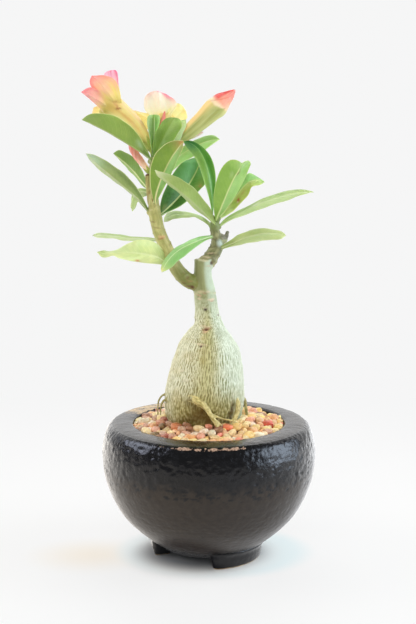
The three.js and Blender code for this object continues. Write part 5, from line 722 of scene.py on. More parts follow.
# ---------------------------------------------------------------- leaves
# colour of the half towards the first edge, of the other half, of the midrib and margin, of the tip and of the base,
# how strongly the midrib and the margin show, and whether the lower face is the one that is turned to the front
G = {
    "leaf_left_01": ((144, 168, 84), (132, 158, 78), (196, 208, 140), (150, 172, 100), (108, 136, 66), .8, .7, 0),
    "leaf_left_02": ((152, 170, 104), (182, 196, 148), (212, 216, 174), (200, 220, 192), (112, 136, 66), .6, .7, 1),
    "leaf_left_03": ((122, 154, 72), (150, 178, 100), (212, 222, 160), (140, 170, 80), (112, 142, 66), .9, .5, 0),
    "leaf_left_04": ((168, 188, 118), (178, 196, 130), (206, 216, 160), (190, 206, 150), (120, 146, 76), .5, .4, 1),
    "leaf_left_05": ((176, 196, 138), (194, 208, 162), (214, 222, 182), (206, 218, 176), (150, 172, 104), .6, .3, 1),
    "leaf_left_06": ((218, 228, 172), (222, 230, 166), (226, 234, 184), (196, 206, 146), (146, 168, 76), .5, .4, 1),
    "leaf_left_07": ((134, 164, 68), (150, 188, 100), (228, 224, 164), (190, 160, 96), (124, 156, 66), .95, .9, 1),
    "leaf_left_08": ((136, 170, 74), (148, 180, 90), (176, 198, 120), (160, 184, 100), (116, 148, 66), .35, .4, 1),
    "leaf_left_09": ((168, 196, 142), (160, 212, 124), (210, 224, 176), (178, 214, 136), (128, 164, 84), .7, .4, 0),
    "leaf_left_10": ((190, 230, 170), (206, 236, 176), (232, 244, 206), (200, 226, 152), (150, 190, 110), .4, .4, 0),
    "leaf_left_11": ((164, 208, 128), (172, 214, 134), (206, 220, 160), (164, 196, 116), (112, 156, 78), .75, .5, 0),
    "leaf_left_12": ((112, 168, 104), (98, 150, 66), (204, 216, 156), (132, 184, 124), (74, 116, 48), .95, .7, 0),
    "leaf_right_01": ((190, 210, 156), (182, 200, 144), (200, 212, 160), (196, 212, 168), (150, 172, 100), .25, .5, 1),
    "leaf_right_02": ((106, 160, 80), (168, 208, 122), (186, 216, 148), (88, 150, 104), (160, 204, 140), .5, .5, 0),
    "leaf_right_03": ((166, 188, 108), (184, 200, 138), (206, 214, 160), (216, 222, 178), (150, 172, 90), .4, .6, 1),
    "leaf_right_04": ((150, 186, 90), (172, 212, 134), (214, 226, 160), (178, 212, 140), (124, 164, 66), .95, .6, 0),
    "leaf_right_05": ((156, 200, 116), (184, 198, 104), (216, 220, 156), (168, 206, 124), (150, 186, 82), .7, .7, 0),
    "leaf_right_06": ((188, 210, 146), (206, 224, 166), (218, 228, 180), (196, 208, 140), (150, 178, 86), .35, .4, 1),
    "leaf_right_07": ((184, 198, 136), (190, 204, 146), (218, 224, 180), (200, 212, 150), (138, 160, 74), .6, .4, 1),
    "leaf_right_08": ((150, 196, 128), (140, 190, 114), (206, 226, 176), (196, 210, 130), (120, 160, 78), .85, .4, 0),
}
# marks on leaves: part of the length, part of the width, size in each, colour, strength; a few are painted highlights
MARKS = {
    # leaf_left_01's first mark is a painted highlight: a pale bluish strip near the base
    "leaf_left_01": [(.22, -.55, .05, .22, (180, 204, 170), .6)],
    "leaf_left_02": [(.62, .10, .10, .10, (150, 110, 70), .7), (.48, .25, .12, .07, (176, 150, 90), .5), (.85, -.2, .12, .6, (190, 212, 186), .5), (.38, -.7, .3, .3, (96, 122, 60), .6)],
    "leaf_left_06": [(.42, .86, .03, .10, (214, 120, 80), .8), (.93, .0, .05, .9, (176, 196, 110), .5), (.3, -.5, .2, .5, (222, 232, 150), .5)],
    "leaf_left_07": [(.97, .0, .05, .9, (206, 150, 84), .9), (.55, .55, .3, .25, (168, 204, 134), .5)],
    "leaf_left_08": [(.70, .30, .16, .35, (176, 198, 116), .6), (.42, .3, .05, .15, (196, 212, 160), .5)],
    "leaf_left_11": [(.40, .1, .05, .10, (232, 240, 220), .8), (.22, .2, .2, .5, (150, 200, 140), .5)],
    "leaf_left_12": [(.26, .0, .24, 1.6, (54, 98, 36), .9), (.12, -.4, .05, .3, (140, 140, 70), .5), (.62, .7, .10, .25, (150, 160, 84), .6), (.62, .82, .02, .1, (176, 120, 80), .7), (.80, -.4, .16, .5, (128, 186, 136), .6)],
    # leaf_right_02's first mark is a painted highlight: a pale bluish strip near the base
    "leaf_right_02": [(.34, .05, .20, .22, (176, 220, 196), .8), (.9, .0, .10, .9, (70, 140, 98), .7), (.62, -.5, .25, .3, (76, 136, 56), .5)],
    "leaf_right_03": [(.95, .1, .06, .7, (232, 234, 200), .7)],
    "leaf_right_04": [(.80, .12, .035, .12, (140, 96, 50), .8), (.72, -.25, .05, .14, (190, 210, 150), .6), (.9, .6, .1, .5, (196, 226, 170), .5)],
    "leaf_right_05": [(.43, .60, .035, .20, (182, 96, 66), .95), (.40, .70, .014, .08, (240, 214, 200), .8), (.56, .45, .05, .12, (176, 140, 80), .5), (.8, -.5, .2, .5, (140, 196, 120), .5)],
    "leaf_right_06": [(.42, -.1, .05, .22, (232, 238, 214), .8), (.7, -.6, .3, .2, (150, 178, 100), .4)],
    "leaf_right_07": [(.14, .0, .14, .9, (140, 156, 74), .5), (.6, -.45, .3, .25, (172, 186, 116), .5)],
    "leaf_right_08": [(.97, .0, .04, .9, (226, 214, 130), .8), (.4, -.5, .3, .3, (178, 220, 156), .5)],
}
EYE = np.array([-0.6, -800.0, 298.6])


def blade(P, nv, nu, thick, camber, ref, wave=0.0, seed=0, groove=0.3, stalk=1.2, sink=1.2, vv=None, rim=0.02, taper=0.45):
    """A closed blade through midrib and edges. Gives vertices, faces, u, v, mm from midrib, mm from edge, lower-face flag."""
    M0, A0, B0 = (np.asarray(x, float) for x in P)
    v = np.linspace(0, 1, nv) if vv is None else vv
    M, A, B = spline(M0, v), spline(A0, v), spline(B0, v)
    T = unit(np.gradient(M, axis=0))
    Wd = B - A
    wl = np.linalg.norm(Wd, axis=1)
    k = wl > 0.8
    first, last = np.argmax(k), len(k) - 1 - np.argmax(k[::-1])
    for i in range(len(Wd)):
        if not k[i]:
            Wd[i] = Wd[first] if i < first else (Wd[last] if i > last else Wd[i])
    n = unit(np.cross(unit(Wd), T))
    for i in range(1, len(n)):
        if np.dot(n[i], n[i - 1]) < 0:
            n[i] = -n[i]
    for _ in range(4):
        n[1:-1] = unit(n[:-2] + 2 * n[1:-1] + n[2:])
    if np.sum(n @ ref) < 0:
        n = -n
    if sink:
        M[0] -= T[0] * sink
        A[0] -= T[0] * sink
        B[0] -= T[0] * sink
    s = np.linspace(-1, 1, nu)
    u = np.sign(s) * (1 - (1 - np.abs(s)) ** 1.25)
    V, attr = [], []
    rng = np.random.RandomState(seed)
    ph = rng.rand(6) * 6.28
    for side in (1, -1):
        for j in range(nv):
            hw = max(np.linalg.norm(A[j] - M[j]), np.linalg.norm(B[j] - M[j]), 0.05)
            th = thick * (1 - taper * v[j]) + stalk * math.exp(-((v[j] / 0.07) ** 2))
            E = np.where((u < 0)[:, None], A[j], B[j])
            a = np.abs(u)[:, None]
            p = M[j] + a * (E - M[j])
            hwe = np.linalg.norm(E - M[j], axis=1)
            arch = camber * hwe * 4 * np.abs(u) * (1 - np.abs(u)) * min(1.0, v[j] / 0.15 + 0.1)
            und = wave * np.abs(u) ** 2.2 * (np.sin(v[j] * 17 + ph[0] + 2.2 * np.sign(u)) * .6 + np.sin(v[j] * 29 + ph[1] + 1.3 * np.sign(u)) * .4) * min(1, hw / 4)
            d_mid = np.abs(u) * hwe
            rib = groove * np.exp(-((d_mid / 0.55) ** 2)) * (1 - 0.6 * v[j])
            t = th * np.sqrt(np.clip(1 - np.abs(u) ** 5, rim, 1)) / 2
            off = arch + und + (side * t) + (-rib * 0.7 if side > 0 else -rib * 1.2)
            q = p + off[:, None] * n[j]
            V.append(q)
            attr.append(np.c_[u, np.full(nu, v[j]), d_mid, hwe - d_mid, np.full(nu, 0.0 if side > 0 else 1.0)])
    V = np.concatenate(V)
    attr = np.concatenate(attr)
    f = grid_faces(nv, nu)
    o = nv * nu
    f += grid_faces(nv, nu, off=o, flip=True)
    for j in range(nv - 1):
        a, b = j * nu, (j + 1) * nu
        f.append((a, b, o + b, o + a))
        a, b = j * nu + nu - 1, (j + 1) * nu + nu - 1
        f.append((b, a, o + a, o + b))
    for i in range(nu - 1):
        f.append((i + 1, i, o + i, o + i + 1))
        k2 = (nv - 1) * nu
        f.append((k2 + i, k2 + i + 1, o + k2 + i + 1, o + k2 + i))
    # the outside must face outwards: test with a quad of the first face
    q = f[len(f) // 5]
    fn = np.cross(V[q[1]] - V[q[0]], V[q[2]] - V[q[0]])
    j = int(attr[q[0]][1] * (nv - 1) + .5)
    if np.dot(fn, n[j]) < 0:
        f = [tuple(reversed(x)) for x in f]
    return V, f, attr, n


def front_hit(V, p, tol=0.7):
    """The point of the skin V that a look from the front through p meets first."""
    p = np.asarray(p, float)
    d = unit(p - EYE)
    w = V - EYE
    t = w @ d
    off = np.linalg.norm(w - t[:, None] * d, axis=1)
    ok = off < tol
    if not ok.any():
        return V[np.argmin(off)]
    return V[np.argmin(np.where(ok, t + off, 1e9))]


for name, P in LEAVES.items():
    ca, cb, rib, tipc, base, rk, ek, under_front = G[name]
    M = np.asarray(P[0], float)
    stem = np.array([-38.0, 0, 0]) if name.startswith("leaf_left") else np.array([4.5, 3, 0])
    inward = unit(np.array([stem[0] - M[6][0], stem[1] - M[6][1], 0]))
    up = np.array([0, 0, 1.0]) + 0.6 * inward
    V, F, at, n = blade(P, 72, 25, 0.95, 0.10, up, wave=0.35, seed=len(name) + sum(map(ord, name)))
    u, v, dm, de, lower = at.T
    front_is_lower = float(np.sum(n @ (EYE - M[6]))) < 0
    shown = (lower > 0.5) == front_is_lower
    c = mix(lin(ca)[None, :], lin(cb)[None, :], step(-0.10, 0.10, u))
    c = mix(c, lin(tipc)[None, :], step(0.72, 1.0, v) * 0.7)
    c = mix(c, lin(base)[None, :], step(0.26, 0.0, v) * 0.85)
    for mv, mu, sv, su, cc, k in MARKS.get(name, []):
        g = np.exp(-(((v - mv) / sv) ** 2) - (((u - mu) / su) ** 2))
        g = np.clip(g + 0.25 * noise3(V / 1.3, 5) * (g > 0.2), 0, 1)
        c = mix(c, lin(cc)[None, :], g * k)
    # the far face: richer above, paler below
    far = c * np.array([0.72, 0.82, 0.62]) if under_front else c * np.array([1.18, 1.10, 1.25]) + 0.02
    c = np.where(shown[:, None], c, far)
    me = mesh_of(name + "_blade", V, F, c, {"lu": u, "lv": v, "dmid": dm, "dedge": de, "under": lower,
                                             "ribk": np.full(len(u), rk) * step(1.0, 0.86, v), "edgek": np.full(len(u), ek)})
    r4 = np.c_[np.tile(lin(rib), (len(u), 1)), np.ones(len(u))]
    a2 = me.attributes.new("rib", "FLOAT_COLOR", "POINT")
    a2.data.foreach_set("color", r4.astype(np.float32).ravel())
    piece(name + "_blade", me, LEAF, "leaf", name)

# ---------------------------------------------------------------- caudex, trunk, branches and surface roots
sp = Soup()
kinds = {}
for name, P in STEMS.items():
    P = np.array(P, float)
    flat = name in ("caudex", "twig_cut")
    v, f, s = tube(P, 40 if name == "caudex" else 24, 1.0, tip=flat)
    sp.add(v, f)
for name, P in ROOTS.items():
    P = np.array(P, float)
    if name == "root_front":
        P[:, 3] *= 0.88
        P[0][3], P[1][3] = 0.9, 1.5
        P[0][:2] *= 0.93
        P[1][:2] *= 0.985
    if name == "root_right":
        P = np.array([[19.6, -15.6, 116.6, 0.8], [20.6, -18.4, 113.9, 1.5], [19.9, -20.3, 110.0, 1.8], [18.7, -21.9, 106.2, 1.8], [17.0, -23.5, 102.3, 1.7], [15.2, -25.4, 98.5, 1.4]])
        ROOTS[name] = P.tolist()
    v, f, s = tube(P, 16, 0.8, tip=False, root=False)
    sp.add(v, f)
# collars where the branches leave the trunk, and leaf cushions
for x, y, z, r in ((-6.5, -0.6, 193.2, 6.0), (-2.4, 1.6, 208.4, 6.2), (0.5, 2.6, 211.4, 5.6), (-37.9, 0.2, 278.5, 3.2), (4.4, 3.0, 238.0, 3.1)):
    v, f, s = tube([[x, y, z - r * .8, r * .55], [x, y, z - r * .45, r * .86], [x, y, z, r], [x, y, z + r * .45, r * .86], [x, y, z + r * .8, r * .55]], 20, 0.8, tip=False, root=False)
    sp.add(v, f)
for P in LEAVES.values():
    M = np.asarray(P[0], float)
    d = unit(M[1] - M[0])
    a = M[0] - d * 2.2
    v, f, s = tube([[*(a), 1.5], [*(M[0] - d * .7), 1.65], [*(M[0] + d * .5), 1.2]], 14, 0.5, tip=False, root=False)
    sp.add(v, f)
V, F, E = fused("plant", sp.verts(), sp.f, 0.565)
print("plant faces", len(F))
V = relax(V, E, 5, 0.5)

# nearest stem for every vertex: angle, length along it, radius
axes = []
for name, P in list(STEMS.items()) + list(ROOTS.items()):
    Q = even(P, 1.0)
    T, U, W = frames(Q[:, :3])
    axes.append((name, Q, T, U, W))
best = np.full(len(V), 1e9)
kind = np.zeros(len(V), int)
ang, along, rad = np.zeros(len(V)), np.zeros(len(V)), np.ones(len(V))
for k, (name, Q, T, U, W) in enumerate(axes):
    lo, hi = Q[:, :3].min(0) - Q[:, 3].max() - 6, Q[:, :3].max(0) + Q[:, 3].max() + 6
    idx = np.nonzero(np.all((V > lo) & (V < hi), axis=1))[0]
    tree = KDTree(len(Q))
    for i, q in enumerate(Q):
        tree.insert(Vector(q[:3]), i)
    tree.balance()
    near = np.array([tree.find(Vector(V[i]))[1] for i in idx], int) if len(idx) else np.zeros(0, int)
    if name == "caudex":      # a nearly straight axis: its height is the better key
        near = np.clip(np.searchsorted(Q[:, 2], V[idx][:, 2]), 0, len(Q) - 1)
    d = V[idx] - Q[near, :3]
    t = np.einsum("ij,ij->i", d, T[near])
    d = d - t[:, None] * T[near]
    dist = np.linalg.norm(d, axis=1) - Q[near, 3]
    out = (near == 0) | (near == len(Q) - 1)
    dist = np.abs(dist) + np.where(out, np.abs(t), 0) + (0 if k < len(STEMS) else -0.25)
    a = np.arctan2(np.einsum("ij,ij->i", d, W[near]), np.einsum("ij,ij->i", d, U[near]))
    ok = dist < best[idx]
    g = idx[ok]
    best[g], kind[g], ang[g] = dist[ok], k, a[ok]
    along[g], rad[g] = near[ok] * 1.0 + t[ok], Q[near[ok], 3]
names = [a[0] for a in axes]
is_c = kind == 0
is_root = kind >= len(STEMS)
on_left = kind == names.index("branch_left")
on_right = np.isin(kind, [names.index("branch_right"), names.index("stub_1"), names.index("stub_2")])
R0 = np.where(is_c, 27.0, np.where(is_root, rad * 1.2, rad * 1.1))
ca, sa = np.cos(ang), np.sin(ang)
zz = V[:, 2]
# the skin's ridges: wavy meridians that part and join
flow = np.c_[ca * R0, sa * R0, along * 0.9]
net = step(150, 128, zz)
w1 = 1.8 * noise3(flow / np.array([6.0, 6.0, 7.0]), 3) + (0.95 + 0.25 * net) * noise3(flow / np.array([2.6, 2.6, 3.2]), 4)
w2 = 1.8 * noise3(flow / np.array([6.0, 6.0, 7.5]), 13) + (0.95 + 0.25 * net) * noise3(flow / np.array([2.6, 2.6, 3.1]), 14)
KN = np.where(is_c, 90, np.where(is_root, 9, 22))
s1, s2 = np.sin(ang * KN + 2.9 * w1), np.sin(ang * KN + 1.7 + 2.9 * w2)
h = np.maximum(s1, s2 * 0.9)
crumb = noise3(V / np.array([1.5, 1.5, 2.0]), 21)
low = step(128, 104, zz)
h = h * (1 - 0.55 * low) + crumb * 1.1 * low + 0.30 * crumb
amp = np.where(is_c, 0.27, np.where(is_root, 0.13, 0.10))
amp = np.where(is_c, amp * (0.16 + 0.84 * step(186, 158, zz)), amp)
lump = fbm(V / 16.0, 31, 3) * np.where(is_c & (zz < 165), 0.75, 0.30) + fbm(V / 4.5, 35, 2) * np.where(is_c, 0.16, 0.22)
N = normals_of(V, F)
if np.mean(np.einsum("ij,ij->i", N[is_c], V[is_c] - np.array([-2, 0, 130]))) < 0:
    N = -N
D = amp * h + lump
# rings and scars: where, half width, half height, push (mm), colour, strength
SCARS = [
    ((-2.0, -15.0, 165.6), 3.0, 0.9, -0.9, (182, 128, 98), 0.85),
    ((-2.3, -15.0, 167.0), 3.4, 0.7, 0.5, (218, 200, 164), 0.8),
    ((-1.6, -15.0, 165.1), 1.4, 0.7, -0.6, (96, 52, 40), 0.95),
    ((-2.3, -15.0, 163.5), 2.0, 0.8, 0.2, (214, 160, 130), 0.6),
    ((-5.5, -18.0, 153.7), 1.0, 0.7, -0.9, (96, 50, 52), 0.95),
    ((-5.1, -18.0, 154.9), 4.2, 0.6, 0.45, (226, 206, 168), 0.75),
    ((-7.2, -8.0, 187.2), 2.2, 0.6, -0.5, (206, 166, 138), 0.8),
    ((-6.5, -8.0, 185.4), 2.0, 0.6, 0.3, (220, 196, 166), 0.8),
    ((1.8, -8.0, 184.4), 2.8, 0.8, 0.5, (232, 212, 186), 0.9),
    ((2.5, -8.0, 183.3), 1.4, 0.4, -0.3, (206, 150, 130), 0.7),
    ((-2.5, -9.0, 177.8), 1.3, 0.9, -0.8, (64, 44, 38), 0.95),
    ((-3.0, -9.0, 178.7), 2.2, 0.5, 0.4, (200, 190, 160), 0.7),
    ((-9.9, -8.0, 170.4), 0.9, 1.1, -0.7, (74, 50, 40), 0.95),
    ((7.2, -6.0, 173.8), 0.9, 0.9, -0.6, (96, 64, 54), 0.95),
    ((-6.1, -8.0, 190.3), 2.6, 0.8, 0.4, (214, 196, 160), 0.6),
    ((-0.6, -8.0, 190.5), 1.6, 0.7, 0.4, (224, 208, 180), 0.6),
    ((-3.0, -8.0, 189.1), 1.4, 0.6, -0.4, (176, 134, 104), 0.6),
    ((-11.3, -6.0, 192.1), 1.4, 1.8, -0.7, (104, 62, 46), 0.9),
    ((-13.7, -6.0, 193.5), 2.6, 0.7, -0.4, (120, 84, 58), 0.8),
    ((-13.0, -6.0, 197.4), 2.2, 0.7, 0.5, (168, 140, 90), 0.7),
    ((-17.2, -6.0, 195.3), 1.6, 0.7, -0.4, (118, 92, 54), 0.7),
    ((-14.4, -6.0, 200.2), 1.6, 1.0, -0.4, (132, 112, 66), 0.6),
    ((-4.0, -6.0, 211.7), 4.0, 0.6, 0.35, (222, 214, 180), 0.8),
    ((-2.0, -5.0, 213.7), 3.0, 0.7, 0.4, (224, 208, 176), 0.8),
    ((2.2, -5.0, 209.8), 1.2, 1.4, -0.6, (86, 60, 48), 0.9),
    ((0.1, -5.0, 207.7), 2.4, 0.5, 0.4, (214, 200, 168), 0.8),
    ((1.5, -5.0, 215.7), 3.4, 0.5, -0.5, (96, 90, 66), 0.8),
    ((1.1, -4.0, 216.7), 3.2, 0.5, 0.5, (200, 182, 146), 0.8),
    ((3.5, -4.0, 220.7), 3.0, 0.5, -0.4, (104, 98, 70), 0.7),
    ((4.9, -3.0, 225.5), 3.0, 0.5, -0.4, (100, 96, 68), 0.7),
    ((-32.5, -8.0, 227.8), 2.6, 1.0, 0.5, (220, 186, 138), 0.9),
    ((-32.8, -8.0, 226.6), 2.4, 0.5, -0.4, (176, 120, 80), 0.85),
    ((-30.8, -8.0, 228.7), 1.6, 0.5, 0.3, (206, 160, 110), 0.7),
    ((-37.9, -5.0, 253.1), 0.9, 0.9, -0.4, (110, 74, 44), 0.95),
    ((-39.1, -5.0, 238.1), 2.4, 0.45, -0.3, (140, 120, 70), 0.8),
    ((-40.0, -5.0, 246.3), 2.4, 0.45, 0.3, (214, 206, 150), 0.7),
    ((-35.7, -5.0, 233.9), 2.6, 0.45, -0.3, (146, 128, 76), 0.7),
    ((-41.0, -4.0, 257.9), 0.8, 1.2, -0.2, (150, 110, 70), 0.6),
    ((7.7, -3.0, 223.4), 1.9, 2.4, 0.6, (196, 212, 206), 0.85),
    ((-15.7, -22.0, 130.9), 3.0, 0.7, 0.4, (226, 218, 190), 0.6),
    ((-18.4, -22.0, 137.2), 2.6, 0.6, 0.35, (226, 214, 180), 0.6),
    ((-4.0, -24.0, 144.6), 2.8, 3.0, 0.3, (190, 176, 112), 0.5),
    ((-4.0, -20.0, 159.8), 2.2, 2.6, 0.25, (200, 186, 128), 0.55),
]
scar = np.zeros(len(V))
scol = np.zeros((len(V), 3))
for p, rx, rz, push, cc, k in SCARS:
    d = V - front_hit(V, p)
    d[:, 2] += 0.25 * d[:, 0] * math.sin(p[2] * 3.1) + 0.25 * noise3(V / 1.1, 77) * (rz < 3)
    g = np.exp(-((np.hypot(d[:, 0], d[:, 1]) / rx) ** 2) - (d[:, 2] / rz) ** 2)
    g = np.clip(g * 1.45 - 0.12, 0, 1)
    D += push * g
    w = g * k
    scol = scol * (1 - w[:, None]) + lin(cc) * w[:, None]
    scar = scar + (1 - scar) * w
# nodes that ring the stems
ragged = noise3(V / 3.0, 64)
for zc, on, r in ((188.9, is_c, 9.5), (171.5, is_c, 11.0)):
    g = np.exp(-(((zz - zc - 0.9 * np.sin(ang * 2 + zc) - 1.1 * ragged) / 0.55) ** 2)) * on * (np.hypot(V[:, 0] + 2, V[:, 1]) < r + 4) * step(-0.6, 0.2, ragged)
    D += 0.35 * g - 0.20 * np.exp(-(((zz - zc + 1.1 - 0.9 * np.sin(ang * 2 + zc) - 1.1 * ragged) / 0.5) ** 2)) * on
for s0 in (9, 17, 29, 41, 52, 60, 68, 75, 82):
    g = np.exp(-(((along - s0 - 0.6 * np.sin(ang * 2 + s0)) / 0.6) ** 2)) * on_left
    D += 0.28 * g
for s0 in (4.5, 8, 12.5, 17, 21, 25, 29):
    g = np.exp(-(((along - s0 - 0.5 * np.sin(ang * 3 + s0)) / 0.55) ** 2)) * on_right
    D += 0.34 * g
# the crevice left of the right-hand root, and the hollow under the front root
for p, r, push in (((16.0, -21.6, 106.0), 1.7, -1.7), ((14.6, -22.8, 102.0), 1.7, -1.7), ((17.4, -19.6, 111.0), 1.5, -1.4),
                   ((-1.6, -27.6, 105.2), 1.6, -1.0), ((-4.5, -27.4, 110.5), 1.8, -.7), ((-6.5, -27.0, 104.0), 4.5, -1.6)):
    g = np.exp(-np.sum((V - np.array(p)) ** 2, axis=1) / (r * r) * 0.6)
    D += push * g * (~is_root)
V2 = V + N * D[:, None]

ridge = np.clip(h * 0.5 + 0.5, 0, 1)
Qc = axes[0][1]
azn = (V[:, 0] - np.interp(zz, Qc[:, 2], Qc[:, 0])) / np.interp(zz, Qc[:, 2], Qc[:, 3])       # -1 left, +1 right
blot = fbm(V / np.array([9.0, 9.0, 15.0]), 63, 3)
# painted rim light: the ridges and valleys turn pale mint towards the right-hand edge and paler, warmer towards the
# left-hand edge
silver = mix(lin((232, 230, 202))[None, :], lin((222, 230, 212))[None, :], step(-0.3, 0.6, azn))
silver = mix(silver, lin((208, 202, 146))[None, :], np.exp(-(((azn + 0.02) / 0.34) ** 2)) * 0.90)
valley = mix(lin((152, 142, 84))[None, :], lin((148, 158, 108))[None, :], step(-0.2, 0.6, azn))
valley = mix(valley, lin((166, 165, 116))[None, :], step(-0.25, -0.75, azn) * 0.75)
valley = mix(valley, lin((180, 192, 158))[None, :], step(0.40, 0.85, azn) * 0.75)
valley = mix(valley, lin((138, 130, 66))[None, :], step(-0.2, 0.4, blot) * np.exp(-(((azn + 0.05) / 0.45) ** 2)) * 0.8)
body = mix(valley, silver, step(0.44, 0.88, ridge))
olive = lin((136, 134, 80))[None, :]
body = mix(body, mix(lin((128, 117, 50))[None, :], lin((188, 178, 110))[None, :], step(0.35, 1.0, ridge)), step(130, 110, zz) * 0.80 * step(1.05, 0.55, np.abs(azn)))
body = mix(body, lin((116, 101, 38))[None, :], step(124, 112, zz) * np.exp(-(((azn + 0.02) / 0.48) ** 2)) * 0.58 * step(1.1, 0.4, ridge))
body = mix(body, mix(lin((162, 146, 88))[None, :], lin((208, 194, 144))[None, :], ridge), 0.35 * step(0.15, 0.55, fbm(V / 13.0, 61, 2) + 0.2) * (zz < 158) * step(0.5, -0.2, azn))
body = mix(body, lin((122, 98, 40))[None, :], step(104, 97, zz) * 0.7)
# painted shade: dark olive in the hollow under the front root, in the crevice beside the right-hand root and low down
# between them
for p, rx, rz, k in (((-13.6, -26.0, 116.4), 3.0, 3.2, 0.55), ((-9.5, -27.0, 113.1), 3.4, 2.8, 0.7), ((-4.7, -27.5, 109.0), 3.6, 3.6, 0.9), ((-0.6, -28.0, 103.5), 3.6, 4.2, 0.95), ((-8.8, -27.0, 104.7), 8.5, 5.0, 0.72), ((-15.7, -25.0, 102.1), 8, 3, 0.6), ((17.0, -19.0, 109.8), 1.7, 6.5, 0.8), ((15.3, -21.0, 104.6), 1.6, 4, 0.8), ((10.4, -25.0, 102.1), 7, 2.2, 0.55)):
    d = V - front_hit(V, p)
    body = mix(body, lin((84, 60, 10))[None, :], np.exp(-((np.hypot(d[:, 0], d[:, 1]) / rx) ** 2) - (d[:, 2] / rz) ** 2) * k)
soft = fbm(np.c_[ca * 1.6, sa * 1.6, along * 0.06], 65, 3)
trunk = mix(lin((140, 142, 94))[None, :], lin((164, 168, 120))[None, :], step(-0.3, 0.4, soft))
trunk = mix(trunk, mix(lin((146, 150, 108))[None, :], lin((198, 202, 168))[None, :], step(0.3, 0.9, ridge)), step(192, 180, zz) * 0.75)
# painted highlight: pale mint down the trunk's right side, and painted rim light along its left edge
trunk = mix(trunk, lin((204, 222, 200))[None, :], step(0.05, 0.50, azn + 0.2 * soft) * (0.42 + 0.32 * step(187, 193, zz)))
trunk = mix(trunk, lin((196, 200, 166))[None, :], step(-0.75, -0.98, azn) * 0.6)
trunk = mix(trunk, lin((214, 200, 160))[None, :], np.exp(-(((zz - 189.0 - 0.9 * np.sin(ang * 2 + 1) - 0.8 * soft) / 1.0) ** 2)) * 0.55 * step(-0.5, 0.3, noise3(V / 2.2, 66)))
body = mix(body, trunk, step(164, 184, zz) * is_c)
bl = mix(lin((168, 166, 98))[None, :], lin((206, 200, 136))[None, :], step(-0.25, 0.45, fbm(np.c_[ca * 2, sa * 2, along * 0.1], 71, 3)))
bl = mix(bl, lin((122, 132, 66))[None, :], step(34, 12, along) * 0.75)
bl = mix(bl, lin((132, 116, 66))[None, :], step(9, 3, along) * 0.55 * step(-0.3, 0.4, noise3(V / 2.4, 67)))
bl = mix(bl, lin((150, 128, 76))[None, :], step(0.25, 0.5, noise3(V / 2.0, 68)) * 0.45)
bl = mix(bl, lin((196, 192, 140))[None, :], np.clip(-ca * 0.2 - sa * 0.5, 0, 1) * 0.5)
br = mix(lin((112, 114, 76))[None, :], lin((160, 160, 116))[None, :], step(-0.3, 0.4, fbm(np.c_[ca * 2, sa * 2, along * 0.22], 72, 3)))
br = mix(br, lin((182, 172, 128))[None, :], step(9, 3, along) * 0.6)
br = mix(br, lin((150, 166, 130))[None, :], step(0.1, 0.9, (V[:, 0] - 5) / 5) * 0.45 * (zz < 226))
tw = mix(lin((160, 146, 92))[None, :], lin((196, 182, 122))[None, :], step(-0.3, 0.4, noise3(V / np.array([1.2, 1.2, 5.0]), 75)))
rt = mix(lin((168, 148, 80))[None, :], lin((230, 216, 152))[None, :], step(-0.2, 0.35, fbm(np.c_[ca * 1.5, sa * 1.5, along * 0.35], 73, 3) + 0.15))
for k, nme in enumerate(names):
    w = (kind == k).astype(float)
    if nme in ("root_left_loop", "root_left_inner", "root_right_back"):
        rt = mix(rt, lin((128, 122, 58))[None, :], w * 0.7)
body = mix(body, bl, on_left.astype(float) * (along > 3))
body = mix(body, br, on_right.astype(float) * (along > 1.5))
body = mix(body, tw, (kind == names.index("twig_cut")).astype(float))
body = mix(body, rt, is_root.astype(float) * 0.9)
# cut faces: the trunk's top, the dead twig and the stubs
cut = (is_c & (zz > 211.3) & (N[:, 2] > 0.8)).astype(float)
body = mix(body, lin((176, 168, 130))[None, :], cut * 0.8)
cut = ((kind == names.index("twig_cut")) & (zz > 269.5)).astype(float)
body = mix(body, lin((104, 70, 46))[None, :], cut)
stub = (np.isin(kind, [names.index("stub_1"), names.index("stub_2")]) & (zz > 225.5)).astype(float)
body = mix(body, mix(lin((104, 104, 92))[None, :], lin((142, 140, 122))[None, :], step(-0.3, 0.4, noise3(V / 1.2, 74))), stub * 0.85)
green = step(3.5, 0.5, np.array([0.0] * len(V)) + np.abs(best)) * 0
top_l = on_left & (zz > 266)
body = mix(body, lin((122, 140, 66))[None, :], top_l * step(262, 274, zz) * 0.7)
top_r = on_right & (zz > 229)
body = mix(body, lin((120, 142, 74))[None, :], top_r * step(229, 236, zz) * 0.7)
body = body * (1 - scar[:, None]) + scol
# painted shade: below z = 168 the caudex is darkened in the valleys between its ridges
body = body * (1 - 0.16 * step(0.35, 0.05, ridge) * is_c * (zz < 168))[:, None]
rc = np.c_[ca * R0 / 1.1, sa * R0 / 1.1, along / 5.0]
me = mesh_of("caudex_and_branches", V2, F, body, {"ridge": ridge}, {"rc": rc})
piece("caudex_and_branches", me, BARK, "bark", "caudex_trunk_and_branches")
N_PLANT = len(F)

